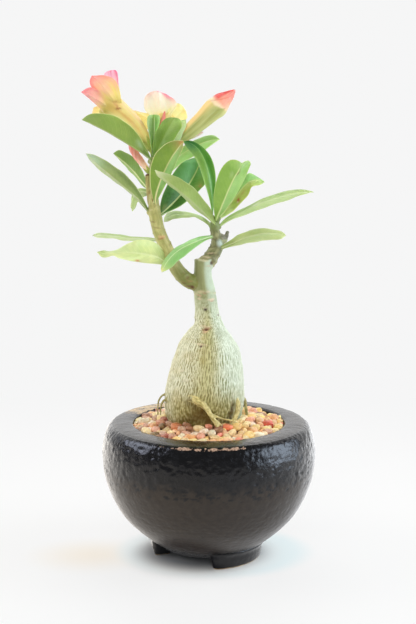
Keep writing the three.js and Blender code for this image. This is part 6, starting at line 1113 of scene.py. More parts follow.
# ---------------------------------------------------------------- bowl
cols = 400
prof = even(np.c_[np.array(POT_OUT), np.zeros(len(POT_OUT))], 1.15)[:, :2]
inner = even(np.c_[np.array(POT_IN), np.zeros(len(POT_IN))], 1.3)[:, :2]
under = np.array([[6.2, 7.6], [9, 7.55], [15, 7.6], [22, 7.6], [28, 7.6]])
deep = np.array([[62.4, 84.5], [65.2, 80], [66.4, 70], [65.0, 58], [60.1, 45], [53.4, 34], [43.8, 25], [32.8, 18.8], [20, 16.6], [6.2, 16.2]])
ring = np.concatenate([under, prof, inner, deep])
th = np.linspace(0, 2 * np.pi, cols, endpoint=False)
RR, ZZ = ring[:, 0], ring[:, 1]
seg = np.gradient(ring, axis=0)
nr, nz = seg[:, 1], -seg[:, 0]
ln = np.maximum(np.hypot(nr, nz), 1e-6)
nr, nz = nr / ln, nz / ln
for _ in range(3):
    nr[1:-1] = (nr[:-2] + nr[1:-1] * 2 + nr[2:]) / 4
    nz[1:-1] = (nz[:-2] + nz[1:-1] * 2 + nz[2:]) / 4
X = RR[:, None] * np.sin(th)[None, :]
Y = -RR[:, None] * np.cos(th)[None, :]
Z = np.repeat(ZZ[:, None], cols, 1)
PV = np.stack([X, Y, Z], -1).reshape(-1, 3)
PN = np.stack([nr[:, None] * np.sin(th), -nr[:, None] * np.cos(th), np.repeat(nz[:, None], cols, 1)], -1).reshape(-1, 3)
rr = np.repeat(RR, cols)
zz = PV[:, 2]
tt = np.tile(th, len(RR))
tt = (tt + np.pi) % (2 * np.pi) - np.pi          # azimuth from -Y towards +X
n_out = len(under) + len(prof)
row = np.repeat(np.arange(len(RR)), cols)
outer = (row >= len(under)) & (row < n_out)
show = row < n_out + len(inner)
shoulder = step(60, 74, zz) * step(96.2, 93.0, zz) * outer
top = outer & (zz > 95.6) & (rr < 67.8)
# glaze crawls into soft bumps on the shoulder, and runs thinner below
b1 = noise3(PV / np.array([4.2, 4.2, 3.0]), 101)
b2 = noise3(PV / np.array([2.1, 2.1, 1.7]), 102)
b3 = fbm(PV / 14.0, 103, 3)
warp = PV + 1.6 * np.c_[noise3(PV / 5.0, 104), noise3(PV / 5.0, 105), noise3(PV / 5.0, 106)]
pit = np.clip(noise3(warp / np.array([4.6, 4.6, 1.9]), 107) - 0.17, 0, 1)
belt = step(55, 63, zz) * step(80, 70, zz)         # where the thick glaze ends, drawn into short curls
D = outer * (0.10 * b3 * 2.0)
D = D + outer * (shoulder * (0.31 * b1 + 0.19 * b2 - 0.95 * pit) + (1 - shoulder) * (0.12 * b1 + 0.075 * b2 - 0.28 * pit) - 0.75 * belt * pit)
lower = step(70, 60, zz) * outer
D = D + lower * 0.05 * np.sin(zz * 2.4 + 1.3 * b3)            # faint throwing lines
D = D * np.where(zz < 9, 0.25, 1.0)
D = D + top * 0.06 * b3
D = D + (show & ~outer) * 0.10 * b1
PV2 = PV + PN * D[:, None]
# values for the glaze
edge_n = noise3(np.c_[np.sin(tt) * 9, np.cos(tt) * 9, zz / 9.0], 111) * 5 + noise3(PV / 2.5, 112) * 2.2
thin = step(78.5, 57, zz + 0.50 * edge_n) * (1 - 0.98 * np.clip(pit * 9.0, 0, 1) * step(56, 64, zz))
thin = np.where(outer | (zz < 9), thin, 0.25)
thin = np.where(zz < 22, thin * step(7, 22, zz + 0.3 * edge_n), thin)
thin = np.where(top, 0.55 + 0.25 * b3, thin)
wet = np.where(top, 0.75, step(70, 84, zz) * outer) + step(20, 10, zz) * 0.6
bare = np.zeros(len(PV))
rust = np.zeros(len(PV))
deg = np.degrees(tt)
fl = noise3(np.c_[np.sin(tt) * 40, np.cos(tt) * 40, zz / 2.0], 121)
g = (0.62 * step(-42, -30, deg) * step(26, 20, deg) + 0.42 * step(-22, -14, deg) * step(22, 15, deg)) * np.exp(-(((rr - 70.0 + 0.6 * fl) / 1.05) ** 2)) * (zz > 91) * outer
bare = np.maximum(bare, g * np.clip(0.66 + 0.80 * fl + 0.5 * noise3(PV / 1.4, 123), 0, 1))
rust = np.maximum(rust, step(0.1, 0.4, g))
streak = noise3(np.c_[PV[:, 0] / 9.0, PV[:, 1] / 2.2, zz / 3.0], 122)
g = step(-158, -146, deg) * step(-104, -116, deg) * step(53.5, 55.0, rr) * step(68.5, 66.6, rr) * (outer & (zz > 94.5))
bare = np.maximum(bare, g * np.clip(0.70 + 0.85 * streak, 0, 1))
PVf = grid_faces(len(RR), cols, wrap=True)
nlast = (len(RR) - 1) * cols
PVf += [(nlast + i, nlast + (i + 1) % cols, (i + 1) % cols, i) for i in range(cols)]      # the wall of the drain hole
pot = Soup()
pot.add(PV2, PVf, thin=thin, bare=bare, wet=wet, rust=rust, flat=top.astype(float))
if np.dot(np.cross(PV2[PVf[40 * cols][1]] - PV2[PVf[40 * cols][0]], PV2[PVf[40 * cols][2]] - PV2[PVf[40 * cols][0]]), PN[40 * cols]) < 0:
    pot.f = [tuple(reversed(q)) for q in pot.f]


def foot(a0, a1, flare, base):
    """One foot: an arc of wall under the bowl, its ends sloping in towards a bare, ground sole."""
    sect = np.array([[33.2, 0.02], [36.6, 0.05], [37.3, 0.45], [37.75, 1.3], [37.9, 3.0], [38.0, 5.0], [38.1, 6.6], [37.9, 8.0], [39.2, 10.0], [41.6, 12.6],
                     [38.0, 13.6], [33.0, 13.0], [28.4, 12.0], [27.4, 9.0], [28.1, 6.6], [28.4, 4.0], [28.5, 1.4], [28.9, 0.5], [29.8, 0.06]])
    o = sect[:, 0] > 36
    sect[:, 0] += o * (flare * 4.6 * step(0.5, 8.0, sect[:, 1]) * step(13.0, 9.5, sect[:, 1]) + base * step(13.0, 7.0, sect[:, 1]))
    mid = 33.0
    rows = []
    aa = a0 + (a1 - a0) * (0.5 - 0.5 * np.cos(np.linspace(0, np.pi, 64)))
    span = math.radians(a1 - a0) * 33.0
    for a in aa:
        x = min(a - a0, a1 - a) / (a1 - a0) * span          # mm from the end
        k = math.sqrt(max(0.0, 1 - (1 - min(1, x / 2.6)) ** 2))
        k = 0.45 + 0.55 * k
        up = np.clip((sect[:, 1] - 5.0) / 6.0, 0, 1)
        rr_ = mid + (sect[:, 0] - mid) * (k + (1 - k) * up * 0.6)
        am = (a0 + a1) / 2
        t = np.radians(am + (a - am) * (1.03 - 0.085 * np.clip(1 - sect[:, 1] / 9.0, 0, 1)))
        lift = 1.3 * max(0.0, 1 - x / 3.6) ** 2
        rows.append(np.c_[rr_ * np.sin(t), -rr_ * np.cos(t), sect[:, 1] + lift * np.clip(1 - sect[:, 1] / 8.0, 0, 1)])
    def shrunk(row, k, away):
        c_ = row.mean(0)
        return c_ + (row - c_) * k + away * (1 - k)
    d0 = unit(rows[0].mean(0) - rows[2].mean(0)) * 0.9
    d1 = unit(rows[-1].mean(0) - rows[-3].mean(0)) * 0.9
    rows = [shrunk(rows[0], k, d0) for k in (0.3, 0.6, 0.82, 0.94)] + rows + [shrunk(rows[-1], k, d1) for k in (0.94, 0.82, 0.6, 0.3)]
    v = np.concatenate(rows)
    ns = len(sect)
    f = grid_faces(len(rows), ns, wrap=True)
    c0, c1 = len(v), len(v) + 1
    v = np.concatenate([v, [rows[0].mean(0)], [rows[-1].mean(0)]])
    for i in range(ns):
        f.append((c0, (i + 1) % ns, i))
        k = (len(rows) - 1) * ns
        f.append((c1, k + i, k + (i + 1) % ns))
    return v, f


for (a0, a1), flare, base in zip(FEET, (0.10, 0.35, 0.35), (0.0, 1.9, 0.8)):
    v, f = foot(a0, a1, flare, base)
    nn = 0.10 * noise3(v / 3.0, 131)
    v = v + np.c_[nn * (v[:, 2] > 0.3), nn * (v[:, 2] > 0.3), np.zeros(len(v))]
    z = v[:, 2]
    sole = step(1.35, 0.85, z + 0.25 * noise3(v / 2.0, 132))
    fn = normals_of(v, f)
    r2 = np.hypot(v[:, 0], v[:, 1])
    o = np.einsum("ij,ij->i", fn, v - np.c_[v[:, 0] / r2 * 33, v[:, 1] / r2 * 33, np.full(len(v), 6.0)])
    if np.mean(o) < 0:
        f = [tuple(reversed(q)) for q in f]
    pot.add(v, f, thin=np.full(len(v), 0.02), bare=sole, wet=np.full(len(v), 0.95), rust=np.zeros(len(v)), flat=np.zeros(len(v)))
vals = pot.values()
me = mesh_of("bowl", pot.verts(), pot.f, None, vals)
piece("glazed_bowl", me, GLAZE, "pot_glaze", "pot")

# ---------------------------------------------------------------- gravel
rng = random.Random(7)
nrs = np.random.RandomState(11)


def bed(x, y):
    """Height of the gravel's mean surface."""
    r = math.hypot(x, y)
    rc_ = math.hypot(x + 3.6, y)
    z = 93.6 + 4.7 * (1 - step(26, 53, r)) + 0.9 * math.exp(-((rc_ - 28) / 6) ** 2)
    return float(z + 0.5 * math.sin(x * 0.21 + 1) * math.cos(y * 0.17))


def ico(sub):
    import bmesh
    bm = bmesh.new()
    bmesh.ops.create_icosphere(bm, subdivisions=sub, radius=1.0)
    v = np.array([x.co[:] for x in bm.verts])
    f = [tuple(x.index for x in q.verts) for q in bm.faces]
    bm.free()
    return v, f


ICO3, ICO2 = ico(3), ico(2)


def inside_plant(x, y, r):
    return math.hypot(x + 3.7, y) < 26.6 + r * 0.55


def stone_at(x, y, r, c, sub, soup, dz=0.0, flat=None):
    v0, f0 = sub
    k = rng.random
    ax = np.array([r * 1.06, r * (0.66 + 0.28 * k()), r * (flat or (0.58 + 0.26 * k()))])
    n = noise3(v0 * 1.1 + np.array([x, y, r]) * 3.1, 201)
    n2 = noise3(v0 * 2.4 + np.array([y, x, r]) * 2.3, 202)
    # a worn pebble: soft flats and blunt corners
    p = v0 * (1 + 0.34 * n + 0.12 * n2)[:, None]
    p = np.sign(p) * np.abs(p) ** 0.74
    p = p * ax
    a, b, c3 = k() * 6.283, (k() - .5) * 0.7, (k() - .5) * 0.7
    ca_, sa_, cb_, sb_, cc_, sc_ = math.cos(a), math.sin(a), math.cos(b), math.sin(b), math.cos(c3), math.sin(c3)
    Rz = np.array([[ca_, -sa_, 0], [sa_, ca_, 0], [0, 0, 1]])
    Rx = np.array([[1, 0, 0], [0, cb_, -sb_], [0, sb_, cb_]])
    Ry = np.array([[cc_, 0, sc_], [0, 1, 0], [-sc_, 0, cc_]])
    p = p @ (Rz @ Rx @ Ry).T
    z = bed(x, y) + dz
    p = p + np.array([x, y, z])
    base = lin(STONE_COLOURS[c])
    j = np.array([1 + (k() - .5) * .10, 1 + (k() - .5) * .10, 1 + (k() - .5) * .12]) * (0.86 + 0.24 * k())
    tone = base * j
    cv = np.tile(tone, (len(p), 1)) * (1 + 0.10 * n)[:, None]
    soup.add(p, f0, col=cv)


big = Soup()
placed = [(x, y, r) for x, y, r, c in STONES]
for x, y, r, c in STONES:
    stone_at(x, y, r * 1.0, c, ICO3, big, dz=0.4)
WARM = ["cream"] * 8 + ["peach"] * 6 + ["gold"] * 6 + ["yellow"] * 6 + ["pink"] * 3 + ["orange2"] * 3 + ["coral"] + ["white"] * 4 + ["tan"] * 3 + ["rose", "brown"]
LEFT = ["cream"] * 5 + ["mauve"] * 4 + ["rose"] * 3 + ["tan"] * 5 + ["pink"] * 2 + ["white"] * 4 + ["brown"] * 2 + ["peach"] * 3 + ["maroon", "olive", "orange2"]
tries = 0
while tries < 26000 and len(placed) < 560:
    tries += 1
    a = rng.random() * 6.2832
    q = math.sqrt(rng.random()) * 53.2
    x, y = q * math.sin(a), -q * math.cos(a)
    r = rng.choice([3.1, 3.4, 3.7, 4.1]) * (0.92 + 0.16 * rng.random())
    if tries > 7000:
        r = rng.choice([2.3, 2.6, 2.9])
    if tries > 16000:
        r = rng.choice([1.8, 2.1])
    if inside_plant(x, y, r) or q + r > 54.6:
        continue
    if any((x - px) ** 2 + (y - py) ** 2 < (0.83 * (r + pr)) ** 2 for px, py, pr in placed):
        continue
    placed.append((x, y, r))
    c = rng.choice(LEFT if x < -22 + 10 * (rng.random() - .5) else WARM)
    stone_at(x, y, r, c, ICO3, big, dz=0.2 + 1.2 * (rng.random() - .35))
    if big.n * 2 > 190000:
        break
me = mesh_of("gravel_stones", big.verts(), big.f, big.values()["col"])
piece("gravel_stones", me, STONE, "gravel", "gravel_top_dressing")
fines = Soup()
cnt = 0
while cnt < 620:
    a = rng.random() * 6.2832
    q = math.sqrt(rng.random()) * 53.6
    x, y = q * math.sin(a), -q * math.cos(a)
    r = rng.choice([1.2, 1.5, 1.8, 2.2])
    if math.hypot(x + 3.7, y) < 25.5 or q + r > 54.4:
        continue
    cnt += 1
    stone_at(x, y, r, rng.choice(["brown", "tan", "rose", "umber", "peach", "gold"]), ICO2, fines, dz=-1.7 - 0.8 * rng.random())
me = mesh_of("gravel_fines", fines.verts(), fines.f, fines.values()["col"])
piece("gravel_fines", me, STONE, "gravel", "gravel_top_dressing")
# the imported layer beneath, seen only in the gaps; its dark brown is partly its own colour and partly painted shade
# between the stones
na, nr_ = 96, 20
rows, cl = [], []
for lev in (0, 1):
    for j in range(nr_):
        r = 55.0 * (1 - j / (nr_ - 1)) if lev == 0 else 55.0 * (j / (nr_ - 1))
        for i in range(na):
            t = 2 * math.pi * i / na
            x, y = r * math.sin(t), -r * math.cos(t)
            z = (bed(x, y) - 2.5 + 0.4 * math.sin(x * 1.3) * math.sin(y * 1.7)) if lev == 0 else 88.0
            rows.append((x * 0.999, y * 0.999, z))
bedv = np.array(rows)
bedf = grid_faces(nr_ * 2, na, wrap=True)
k = (nr_ * 2 - 1) * na
bedf += [(k + i, k + (i + 1) % na, (i + 1) % na, i) for i in range(na)]
bc = mix(lin((64, 42, 30))[None, :], lin((120, 84, 56))[None, :], step(-0.3, 0.4, noise3(bedv / 2.5, 211)))
me = mesh_of("gravel_bed", bedv, bedf, bc)
piece("gravel_bed", me, STONE, "gravel", "gravel_top_dressing")

# ---------------------------------------------------------------- flowers
LOBE_STYLE = {
    # base, middle, end colour, edge colour, strength of the edge on the first and second side
    "flower_left": [
        ((250, 228, 156), (254, 190, 178), (253, 148, 154), (254, 108, 128), .50, .60),
        ((251, 232, 152), (254, 202, 166), (254, 156, 150), (254, 112, 124), .70, .30),
        ((250, 226, 170), (252, 206, 214), (251, 186, 214), (240, 104, 152), .2, .9),
        ((246, 230, 130), (248, 226, 140), (250, 214, 150), (250, 190, 150), .3, .3),
        ((250, 226, 160), (252, 196, 178), (252, 140, 150), (250, 110, 140), .7, .7)],
    "flower_centre": [
        ((250, 242, 176), (252, 240, 214), (253, 222, 214), (250, 124, 156), .18, .95),
        ((250, 242, 162), (250, 242, 172), (252, 236, 162), (250, 206, 150), .1, .1),
        ((250, 240, 156), (251, 240, 166), (252, 232, 158), (250, 190, 160), .3, .1),
        ((246, 228, 140), (250, 214, 170), (252, 160, 150), (250, 110, 140), .7, .7),
        ((246, 228, 140), (250, 214, 170), (252, 160, 150), (250, 110, 140), .7, .7)],
}


def hollow_tube(P, ns, gap, wall, solid):
    Q = even(P, gap)
    C, R = Q[:, :3], Q[:, 3]
    T, U, V = frames(C)
    n = len(C)
    k0 = int(n * solid)
    idx = list(range(n)) + list(range(n - 1, k0 - 1, -1))
    rad_ = [R[i] for i in range(n)] + [max(R[i] - wall, 0.25) for i in range(n - 1, k0 - 1, -1)]
    th_ = np.linspace(0, 2 * np.pi, ns, endpoint=False)
    rows_ = [C[i] + r * (np.cos(th_)[:, None] * U[i] + np.sin(th_)[:, None] * V[i]) for i, r in zip(idx, rad_)]
    v = np.concatenate(rows_)
    f = grid_faces(len(rows_), ns, wrap=True)
    c0, c1 = len(v), len(v) + 1
    v = np.concatenate([v, [C[0]], [C[k0]]])
    for i in range(ns):
        f.append((c0, (i + 1) % ns, i))
        kk = (len(rows_) - 1) * ns
        f.append((c1, kk + i, kk + (i + 1) % ns))
    s = np.r_[np.repeat(np.array(idx) / (n - 1.0), ns), 0, k0 / (n - 1.0)]
    a = np.r_[np.tile(th_, len(rows_)), 0, 0]
    return v, f, s, a


def side_of(V, Q):
    """-1 to 1: how far each point is on the upper-left side of the tube, as seen from the front."""
    Q = np.asarray(Q, float)
    fine = even(Q, 1.0)
    tree = KDTree(len(fine))
    for i, q in enumerate(fine):
        tree.insert(Vector(q[:3]), i)
    tree.balance()
    near = np.array([tree.find(Vector(p))[1] for p in V])
    T = unit(np.gradient(fine[:, :3], axis=0))[near]
    view = unit(fine[near, :3] - EYE)
    e = unit(np.cross(T, view))
    d = V - fine[near, :3]
    up = np.einsum("ij,ij->i", d, e) / np.maximum(fine[near, 3], .3)
    fr = -np.einsum("ij,ij->i", d, view) / np.maximum(fine[near, 3], .3)
    return up, fr, near / (len(fine) - 1.0)


def flatter(L, k):
    """The lobe with its edges brought forward to the midrib's depth by the share k, its outline from the front kept."""
    M_, A_, B_ = (np.array(x, float) for x in L)
    for E_ in (A_, B_):
        y1 = M_[:, 1] + (E_[:, 1] - M_[:, 1]) * (1 - k)
        t_ = (y1 - EYE[1]) / (E_[:, 1] - EYE[1])
        E_[:] = EYE + (E_ - EYE) * t_[:, None]
    return M_, A_, B_


for name in ("flower_left", "flower_centre"):
    sp = Soup()
    P = np.array(TUBES[name], float)
    if name == "flower_left":        # the throat flares on into the lobes
        P = np.concatenate([P, [[*(P[-1][:3] + 0.85 * (P[-1][:3] - P[-2][:3])), 9.6]]])
    v, f, s, a = hollow_tube(P, 56, 0.7, 0.95, 0.35)
    up, fr, _ = side_of(v, P)
    if name == "flower_left":
        c = mix(lin((172, 176, 82))[None, :], lin((250, 222, 142))[None, :], step(0.04, 0.30, s))
        c = mix(c, lin((252, 230, 152))[None, :], step(0.40, 0.75, s))
        # painted highlight: pale cream-pink along the tube's upper-right side as seen from the front
        c = mix(c, lin((253, 206, 160))[None, :], step(0.35, 0.9, -up) * step(0.25, 0.5, s) * 0.7)
        c = mix(c, lin((232, 190, 108))[None, :], np.exp(-(((up - 0.05) / 0.16) ** 2)) * step(0.15, 0.35, s) * step(0.95, 0.7, s) * 0.55)
        c = mix(c, lin((178, 178, 88))[None, :], step(0.10, 0.75, up) * step(0.60, 0.15, s) * 0.85)
        c = mix(c, lin((190, 184, 80))[None, :], np.exp(-(((s - .93) / .11) ** 2)) * step(0.25, 0.80, up) * 0.95)
    else:
        c = mix(lin((196, 200, 110))[None, :], lin((244, 226, 142))[None, :], step(0.1, 0.5, s))
    streak = noise3(np.c_[np.cos(a) * 3.2, np.sin(a) * 3.2, s * 2.2], 301)
    c = mix(c, lin((254, 242, 160))[None, :], step(0.1, 0.5, streak) * 0.5)
    c = mix(c, lin((236, 176, 112))[None, :], step(0.15, 0.55, -streak) * 0.30)
    sp.add(v, f, col=c, lu=a / 3.14159 - 1, lv=s * 0.6)
    cen = P[-1][:3]
    ax_dir = unit(P[-1][:3] - P[-3][:3])
    for k, L in enumerate(LOBES[name]):
        st = LOBE_STYLE[name][k]
        M = np.asarray(L[0], float)
        L = flatter(L, 0.60 if name == "flower_left" else 0.5)
        V, F, at, n = blade(L, 48, 25, 0.95, 0.12, unit(ax_dir - 0.6 * unit(M[3] - cen)), wave=0.6, seed=40 + k, groove=0.08, stalk=0.5, sink=1.0, rim=0.75, taper=0.0)
        u, vv, dm, de, lo_ = at.T
        c = mix(lin(st[0])[None, :], lin(st[1])[None, :], step(0.02, 0.48, vv))
        c = mix(c, lin(st[2])[None, :], step(0.50, 1.0, vv))
        e1 = step(0.45, 1.0, -u) * st[4] + step(0.45, 1.0, u) * st[5]
        c = mix(c, lin(st[3])[None, :], e1 * step(0.20, 0.75, vv))
        c = mix(c, lin(st[3])[None, :], step(0.90, 1.0, vv) * max(st[4], st[5]))
        if name == "flower_left" and k in (0, 1):
            c = mix(c, lin((250, 230, 132))[None, :], step(0.0, 0.35, noise3(np.c_[u * 2.6 + 3 * k, vv * 0.7, vv * 0], 305)) * step(0.75, 0.2, vv) * 0.7)
            c = mix(c, lin((190, 180, 92))[None, :], step(0.22, 0.02, vv) * step(-0.1, 0.8, u if k == 0 else u * 0) * 0.9)
        sp.add(V, F, col=c, lu=u + 2.5 * k, lv=vv + 0.5)
    raw_v, raw_a = sp.verts(), sp.values()
    V, F, E = fused(name, raw_v, sp.f, 0.34)
    V = relax(V, E, 3, 0.5)
    tree = KDTree(len(raw_v))
    for i, q in enumerate(raw_v):
        tree.insert(Vector(q), i)
    tree.balance()
    idx = np.array([tree.find(Vector(q))[1] for q in V])
    c = raw_a["col"][idx]
    c = relax(c, E, 3, 0.5)
    lu, lv = raw_a["lu"][idx], raw_a["lv"][idx]
    if name == "flower_left":       # olive throat, a small brown speck and short streaks from it
        for pt, rad_, cc, kk in (((-69.0, 6.0, 316.2), 4.6, (186, 168, 62), .62), ((-64.5, 7.0, 316.5), 3.4, (216, 172, 92), .45)):
            g = np.exp(-np.sum((V - front_hit(V, pt)) ** 2, axis=1) / rad_ ** 2)
            c = mix(c, lin(cc)[None, :], g * kk)
        pt = front_hit(V, (-62.1, 8.0, 315.2))
        d = V - pt
        d = d + 0.9 * np.c_[noise3(V / 1.6, 312), noise3(V / 1.6, 313), noise3(V / 1.6, 314)]
        c = mix(c, lin((172, 116, 72))[None, :], np.clip(np.exp(-(d[:, 0] / 1.9) ** 2 - (d[:, 2] / 0.85) ** 2 - (d[:, 1] / 3) ** 2) * 1.3, 0, 1) * .80)
        d = V - pt
        for sl in (1.1, 1.9, 3.4):          # up and to the left, fanning out
            ax_ = unit(np.array([-1.0, 0.0, sl]))
            al = d @ ax_
            off = np.linalg.norm(d - al[:, None] * ax_, axis=1)
            c = mix(c, lin((206, 140, 84))[None, :], np.exp(-(off / 0.55) ** 2) * step(0.5, 2.0, al) * step(9.5, 3.0, al) * .55)
    wob = 0.10 * noise3(V / 3.0, 311)
    N = normals_of(V, F)
    V = V + N * wob[:, None]
    me = mesh_of(name + "_petals", V, F, c, {"lu": lu, "lv": lv})
    piece(name + "_petals", me, PETAL, "petal", name + "_corolla")

BUDS = {
    "bud_right": "bud_right_corolla", "bud_left_small": "bud_left_small",
    "bud_right_small": "bud_right_small", "bud_centre_small": "bud_centre_small",
}
for name, node in BUDS.items():
    P = np.array(TUBES[name], float)
    Q = even(P, 0.35 if name != "bud_right" else 0.55)
    C, R = Q[:, :3], Q[:, 3].copy()
    T, U, V3 = frames(C)
    ns = 60
    th_ = np.linspace(0, 2 * np.pi, ns, endpoint=False)
    s = np.linspace(0, 1, len(C))
    furl0 = 0.68 if name == "bud_right" else 0.38
    S, TH = np.meshgrid(s, th_, indexing="ij")
    tw_ = 2.6 * np.clip(S - furl0, 0, 1)
    saw = ((TH * 5 / (2 * np.pi) - tw_ * 1.9) % 1.0)
    over = (saw ** 1.6 - 0.35) * step(furl0 - 0.12, furl0 + 0.12, S)
    ribs = 0.5 * np.cos(TH * 10 + 2.0 * S)
    rmul = 1 + 0.10 * over * (1 if name == "bud_right" else 1.1) + 0.012 * ribs * (1 - step(furl0, furl0 + .2, S))
    ring3 = C[:, None] + (R[:, None] * rmul)[:, :, None] * (np.cos(TH)[..., None] * U[:, None] + np.sin(TH)[..., None] * V3[:, None])
    v = ring3.reshape(-1, 3)
    f = grid_faces(len(C), ns, wrap=True)
    c0, c1 = len(v), len(v) + 1
    v = np.concatenate([v, [C[0] - T[0] * .4], [C[-1] + T[-1] * R[-1] * .5]])
    for i in range(ns):
        f.append((c0, (i + 1) % ns, i))
        kk = (len(C) - 1) * ns
        f.append((c1, kk + i, kk + (i + 1) % ns))
    ss = np.r_[S.ravel(), 0, 1]
    aa = np.r_[TH.ravel(), 0, 0]
    sw = np.r_[saw.ravel(), .5, .5]
    up, fr, _ = side_of(v, P)
    nz_ = noise3(np.c_[np.cos(aa) * 2.4, np.sin(aa) * 2.4, ss * 2.6], 321)
    if name == "bud_right":
        c = mix(lin((178, 184, 108))[None, :], lin((200, 202, 132))[None, :], step(-0.2, 0.4, nz_))
        c = mix(c, lin((252, 222, 150))[None, :], step(0.15, 0.70, up + 0.15 * nz_) * 0.95)
        c = mix(c, lin((216, 218, 146))[None, :], step(0.45, 0.95, -up) * 0.8)
        c = mix(c, lin((150, 164, 72))[None, :], step(0.16, 0.0, ss) * 0.7)
        k_ = step(-0.018, 0.018, ss - 0.752 + 0.033 * up + 0.02 * nz_)
        pet = mix(lin((252, 230, 192))[None, :], lin((250, 172, 146))[None, :], step(0.760, 0.815, ss))
        pet = mix(pet, lin((247, 146, 134))[None, :], step(0.82, 0.97, ss))
        pet = mix(pet, lin((236, 96, 92))[None, :], step(0.30, 0.70, up + 0.1 * nz_) * step(0.77, 0.825, ss))
        pet = mix(pet, lin((250, 226, 176))[None, :], step(0.45, 0.85, -up) * step(0.92, 0.8, ss) * 0.6)
        c = mix(c, pet, k_)
        c = mix(c, lin((224, 84, 78))[None, :], step(0.90, 0.60, np.abs(sw - 0.02) * 8) * k_ * 0.25)
    else:
        tone = {"bud_left_small": ((250, 212, 186), (254, 180, 164), (252, 154, 144)),
                "bud_right_small": ((242, 242, 204), (252, 240, 226), (252, 224, 222)),
                "bud_centre_small": ((226, 220, 150), (246, 176, 156), (240, 144, 128))}[name]
        c = mix(lin(tone[0])[None, :], lin(tone[1])[None, :], step(0.15, 0.5, ss))
        c = mix(c, lin(tone[2])[None, :], step(0.55, 0.95, ss))
        c = mix(c, lin((240, 118, 112))[None, :], step(0.22, 0.02, np.minimum(sw, 1 - sw)) * step(furl0, furl0 + .2, ss) * 0.45)
    me = mesh_of(name + "_petals", v, f, c, {"lu": aa / 3.14159, "lv": ss})
    piece(name + "_petals", me, PETAL, "petal", node)

# calyx: flower stalk, cup and five pointed sepals
for name, st in STALKS.items():
    T0 = np.array(TUBES[name], float)
    stalk = np.array(st, float)
    sp = Soup()
    small = name in ("bud_left_small", "bud_right_small", "bud_centre_small")
    d0 = unit(T0[1][:3] - T0[0][:3])
    r0 = T0[0][3]
    cup = np.concatenate([stalk, [[*(T0[0][:3] + d0 * (1.2 if small else 2.4)), r0 * 1.28 + (0.1 if small else 0.35)]]])
    cup[0][:3] -= unit(cup[1][:3] - cup[0][:3]) * 1.0
    v, f, s = tube(cup, 20, 0.5, tip=True, root=False)
    sp.add(v, f, s=s)
    Q = even(T0, 0.5)
    T, U, V3 = frames(Q[:, :3])
    L = 4.6 if small else 8.5
    n = int(L / 0.5)
    for k in range(5):
        a = 2 * math.pi * k / 5 + 0.4
        M, A, B = [], [], []
        for j in np.linspace(0, 1, 9):
            i = min(int(j * n), len(Q) - 1)
            dirn = math.cos(a) * U[i] + math.sin(a) * V3[i]
            tang = -math.sin(a) * U[i] + math.cos(a) * V3[i]
            rr_ = Q[i, 3] + 0.42 + (0.5 if not small else 0.2) * j * j
            w = (1.25 if small else 2.1) * (math.sin(math.pi * min(1, 0.30 + 0.70 * j)) ** 0.8) * (1 - 0.25 * j) + 0.02
            p = Q[i, :3] + dirn * rr_
            M.append(p)
            A.append(p - tang * w - dirn * w * 0.25)
            B.append(p + tang * w - dirn * w * 0.25)
        V, F, at, nn = blade((M, A, B), 22, 11, 0.6 if not small else 0.42, 0.08, unit(np.array(M[4]) - Q[min(n // 2, len(Q) - 1), :3]), wave=0.05, seed=k, groove=0.05, stalk=0.2, sink=0.3)
        sp.add(V, F, s=0.5 + 0.5 * at[:, 1])
    s = sp.values()["s"]
    Vv = sp.verts()
    c = mix(lin((128, 140, 66))[None, :], lin((166, 176, 88))[None, :], step(0.1, 0.6, s))
    c = mix(c, lin((188, 176, 96))[None, :], step(0.75, 1.0, s) * 0.6)
    me = mesh_of(name + "_sepals", Vv, sp.f, c)
    piece(name + "_sepals", me, CALYX, "calyx", name + "_calyx")

# ---------------------------------------------------------------- floor, light, camera


def stage_mesh():
    x = np.linspace(-4.0, 4.0, 9)
    prof_ = [(-3.0, 0.0), (-1.0, 0.0), (-0.4, 0.0), (0.4, 0.0), (1.4, 0.0)]
    R_ = 1.1
    for k in range(1, 13):
        a = math.pi / 2 * k / 12
        prof_.append((1.4 + R_ * math.sin(a), R_ * (1 - math.cos(a))))
    prof_ += [(2.5, 2.2), (2.5, 4.0)]
    v = [(xx, y, z) for y, z in prof_ for xx in x]
    f = grid_faces(len(prof_), len(x))
    me = bpy.data.meshes.new("sweep")
    me.from_pydata(v, [], f)
    me.polygons.foreach_set("use_smooth", [True] * len(f))
    return me


sweep = bpy.data.objects.new("studio_sweep", stage_mesh())
SC.collection.objects.link(sweep)
fm = bpy.data.materials.new("pale_sweep")
fm.use_nodes = True
nt = fm.node_tree
nt.nodes.clear()
out = nt.nodes.new("ShaderNodeOutputMaterial")
mixn = nt.nodes.new("ShaderNodeMixShader")
em = nt.nodes.new("ShaderNodeEmission")
df = nt.nodes.new("ShaderNodeBsdfDiffuse")
em.inputs["Color"].default_value = (0.920, 0.921, 0.922, 1)
em.inputs["Strength"].default_value = 1.0
df.inputs["Color"].default_value = (0.90, 0.88, 0.86, 1)
geo = nt.nodes.new("ShaderNodeNewGeometry")
ln_ = nt.nodes.new("ShaderNodeVectorMath")
ln_.operation = "LENGTH"
nt.links.new(geo.outputs["Position"], ln_.inputs[0])
mr = nt.nodes.new("ShaderNodeMapRange")
mr.interpolation_type = "SMOOTHSTEP"
mr.inputs["From Min"].default_value = 0.12
mr.inputs["From Max"].default_value = 0.55
mr.inputs["To Min"].default_value = 0.20
mr.inputs["To Max"].default_value = 0.0
nt.links.new(ln_.outputs["Value"], mr.inputs["Value"])
mr2 = nt.nodes.new("ShaderNodeMapRange")
mr2.interpolation_type = "SMOOTHSTEP"
mr2.inputs["From Min"].default_value = 0.035
mr2.inputs["From Max"].default_value = 0.064
mr2.inputs["To Min"].default_value = 0.80
mr2.inputs["To Max"].default_value = 0.0
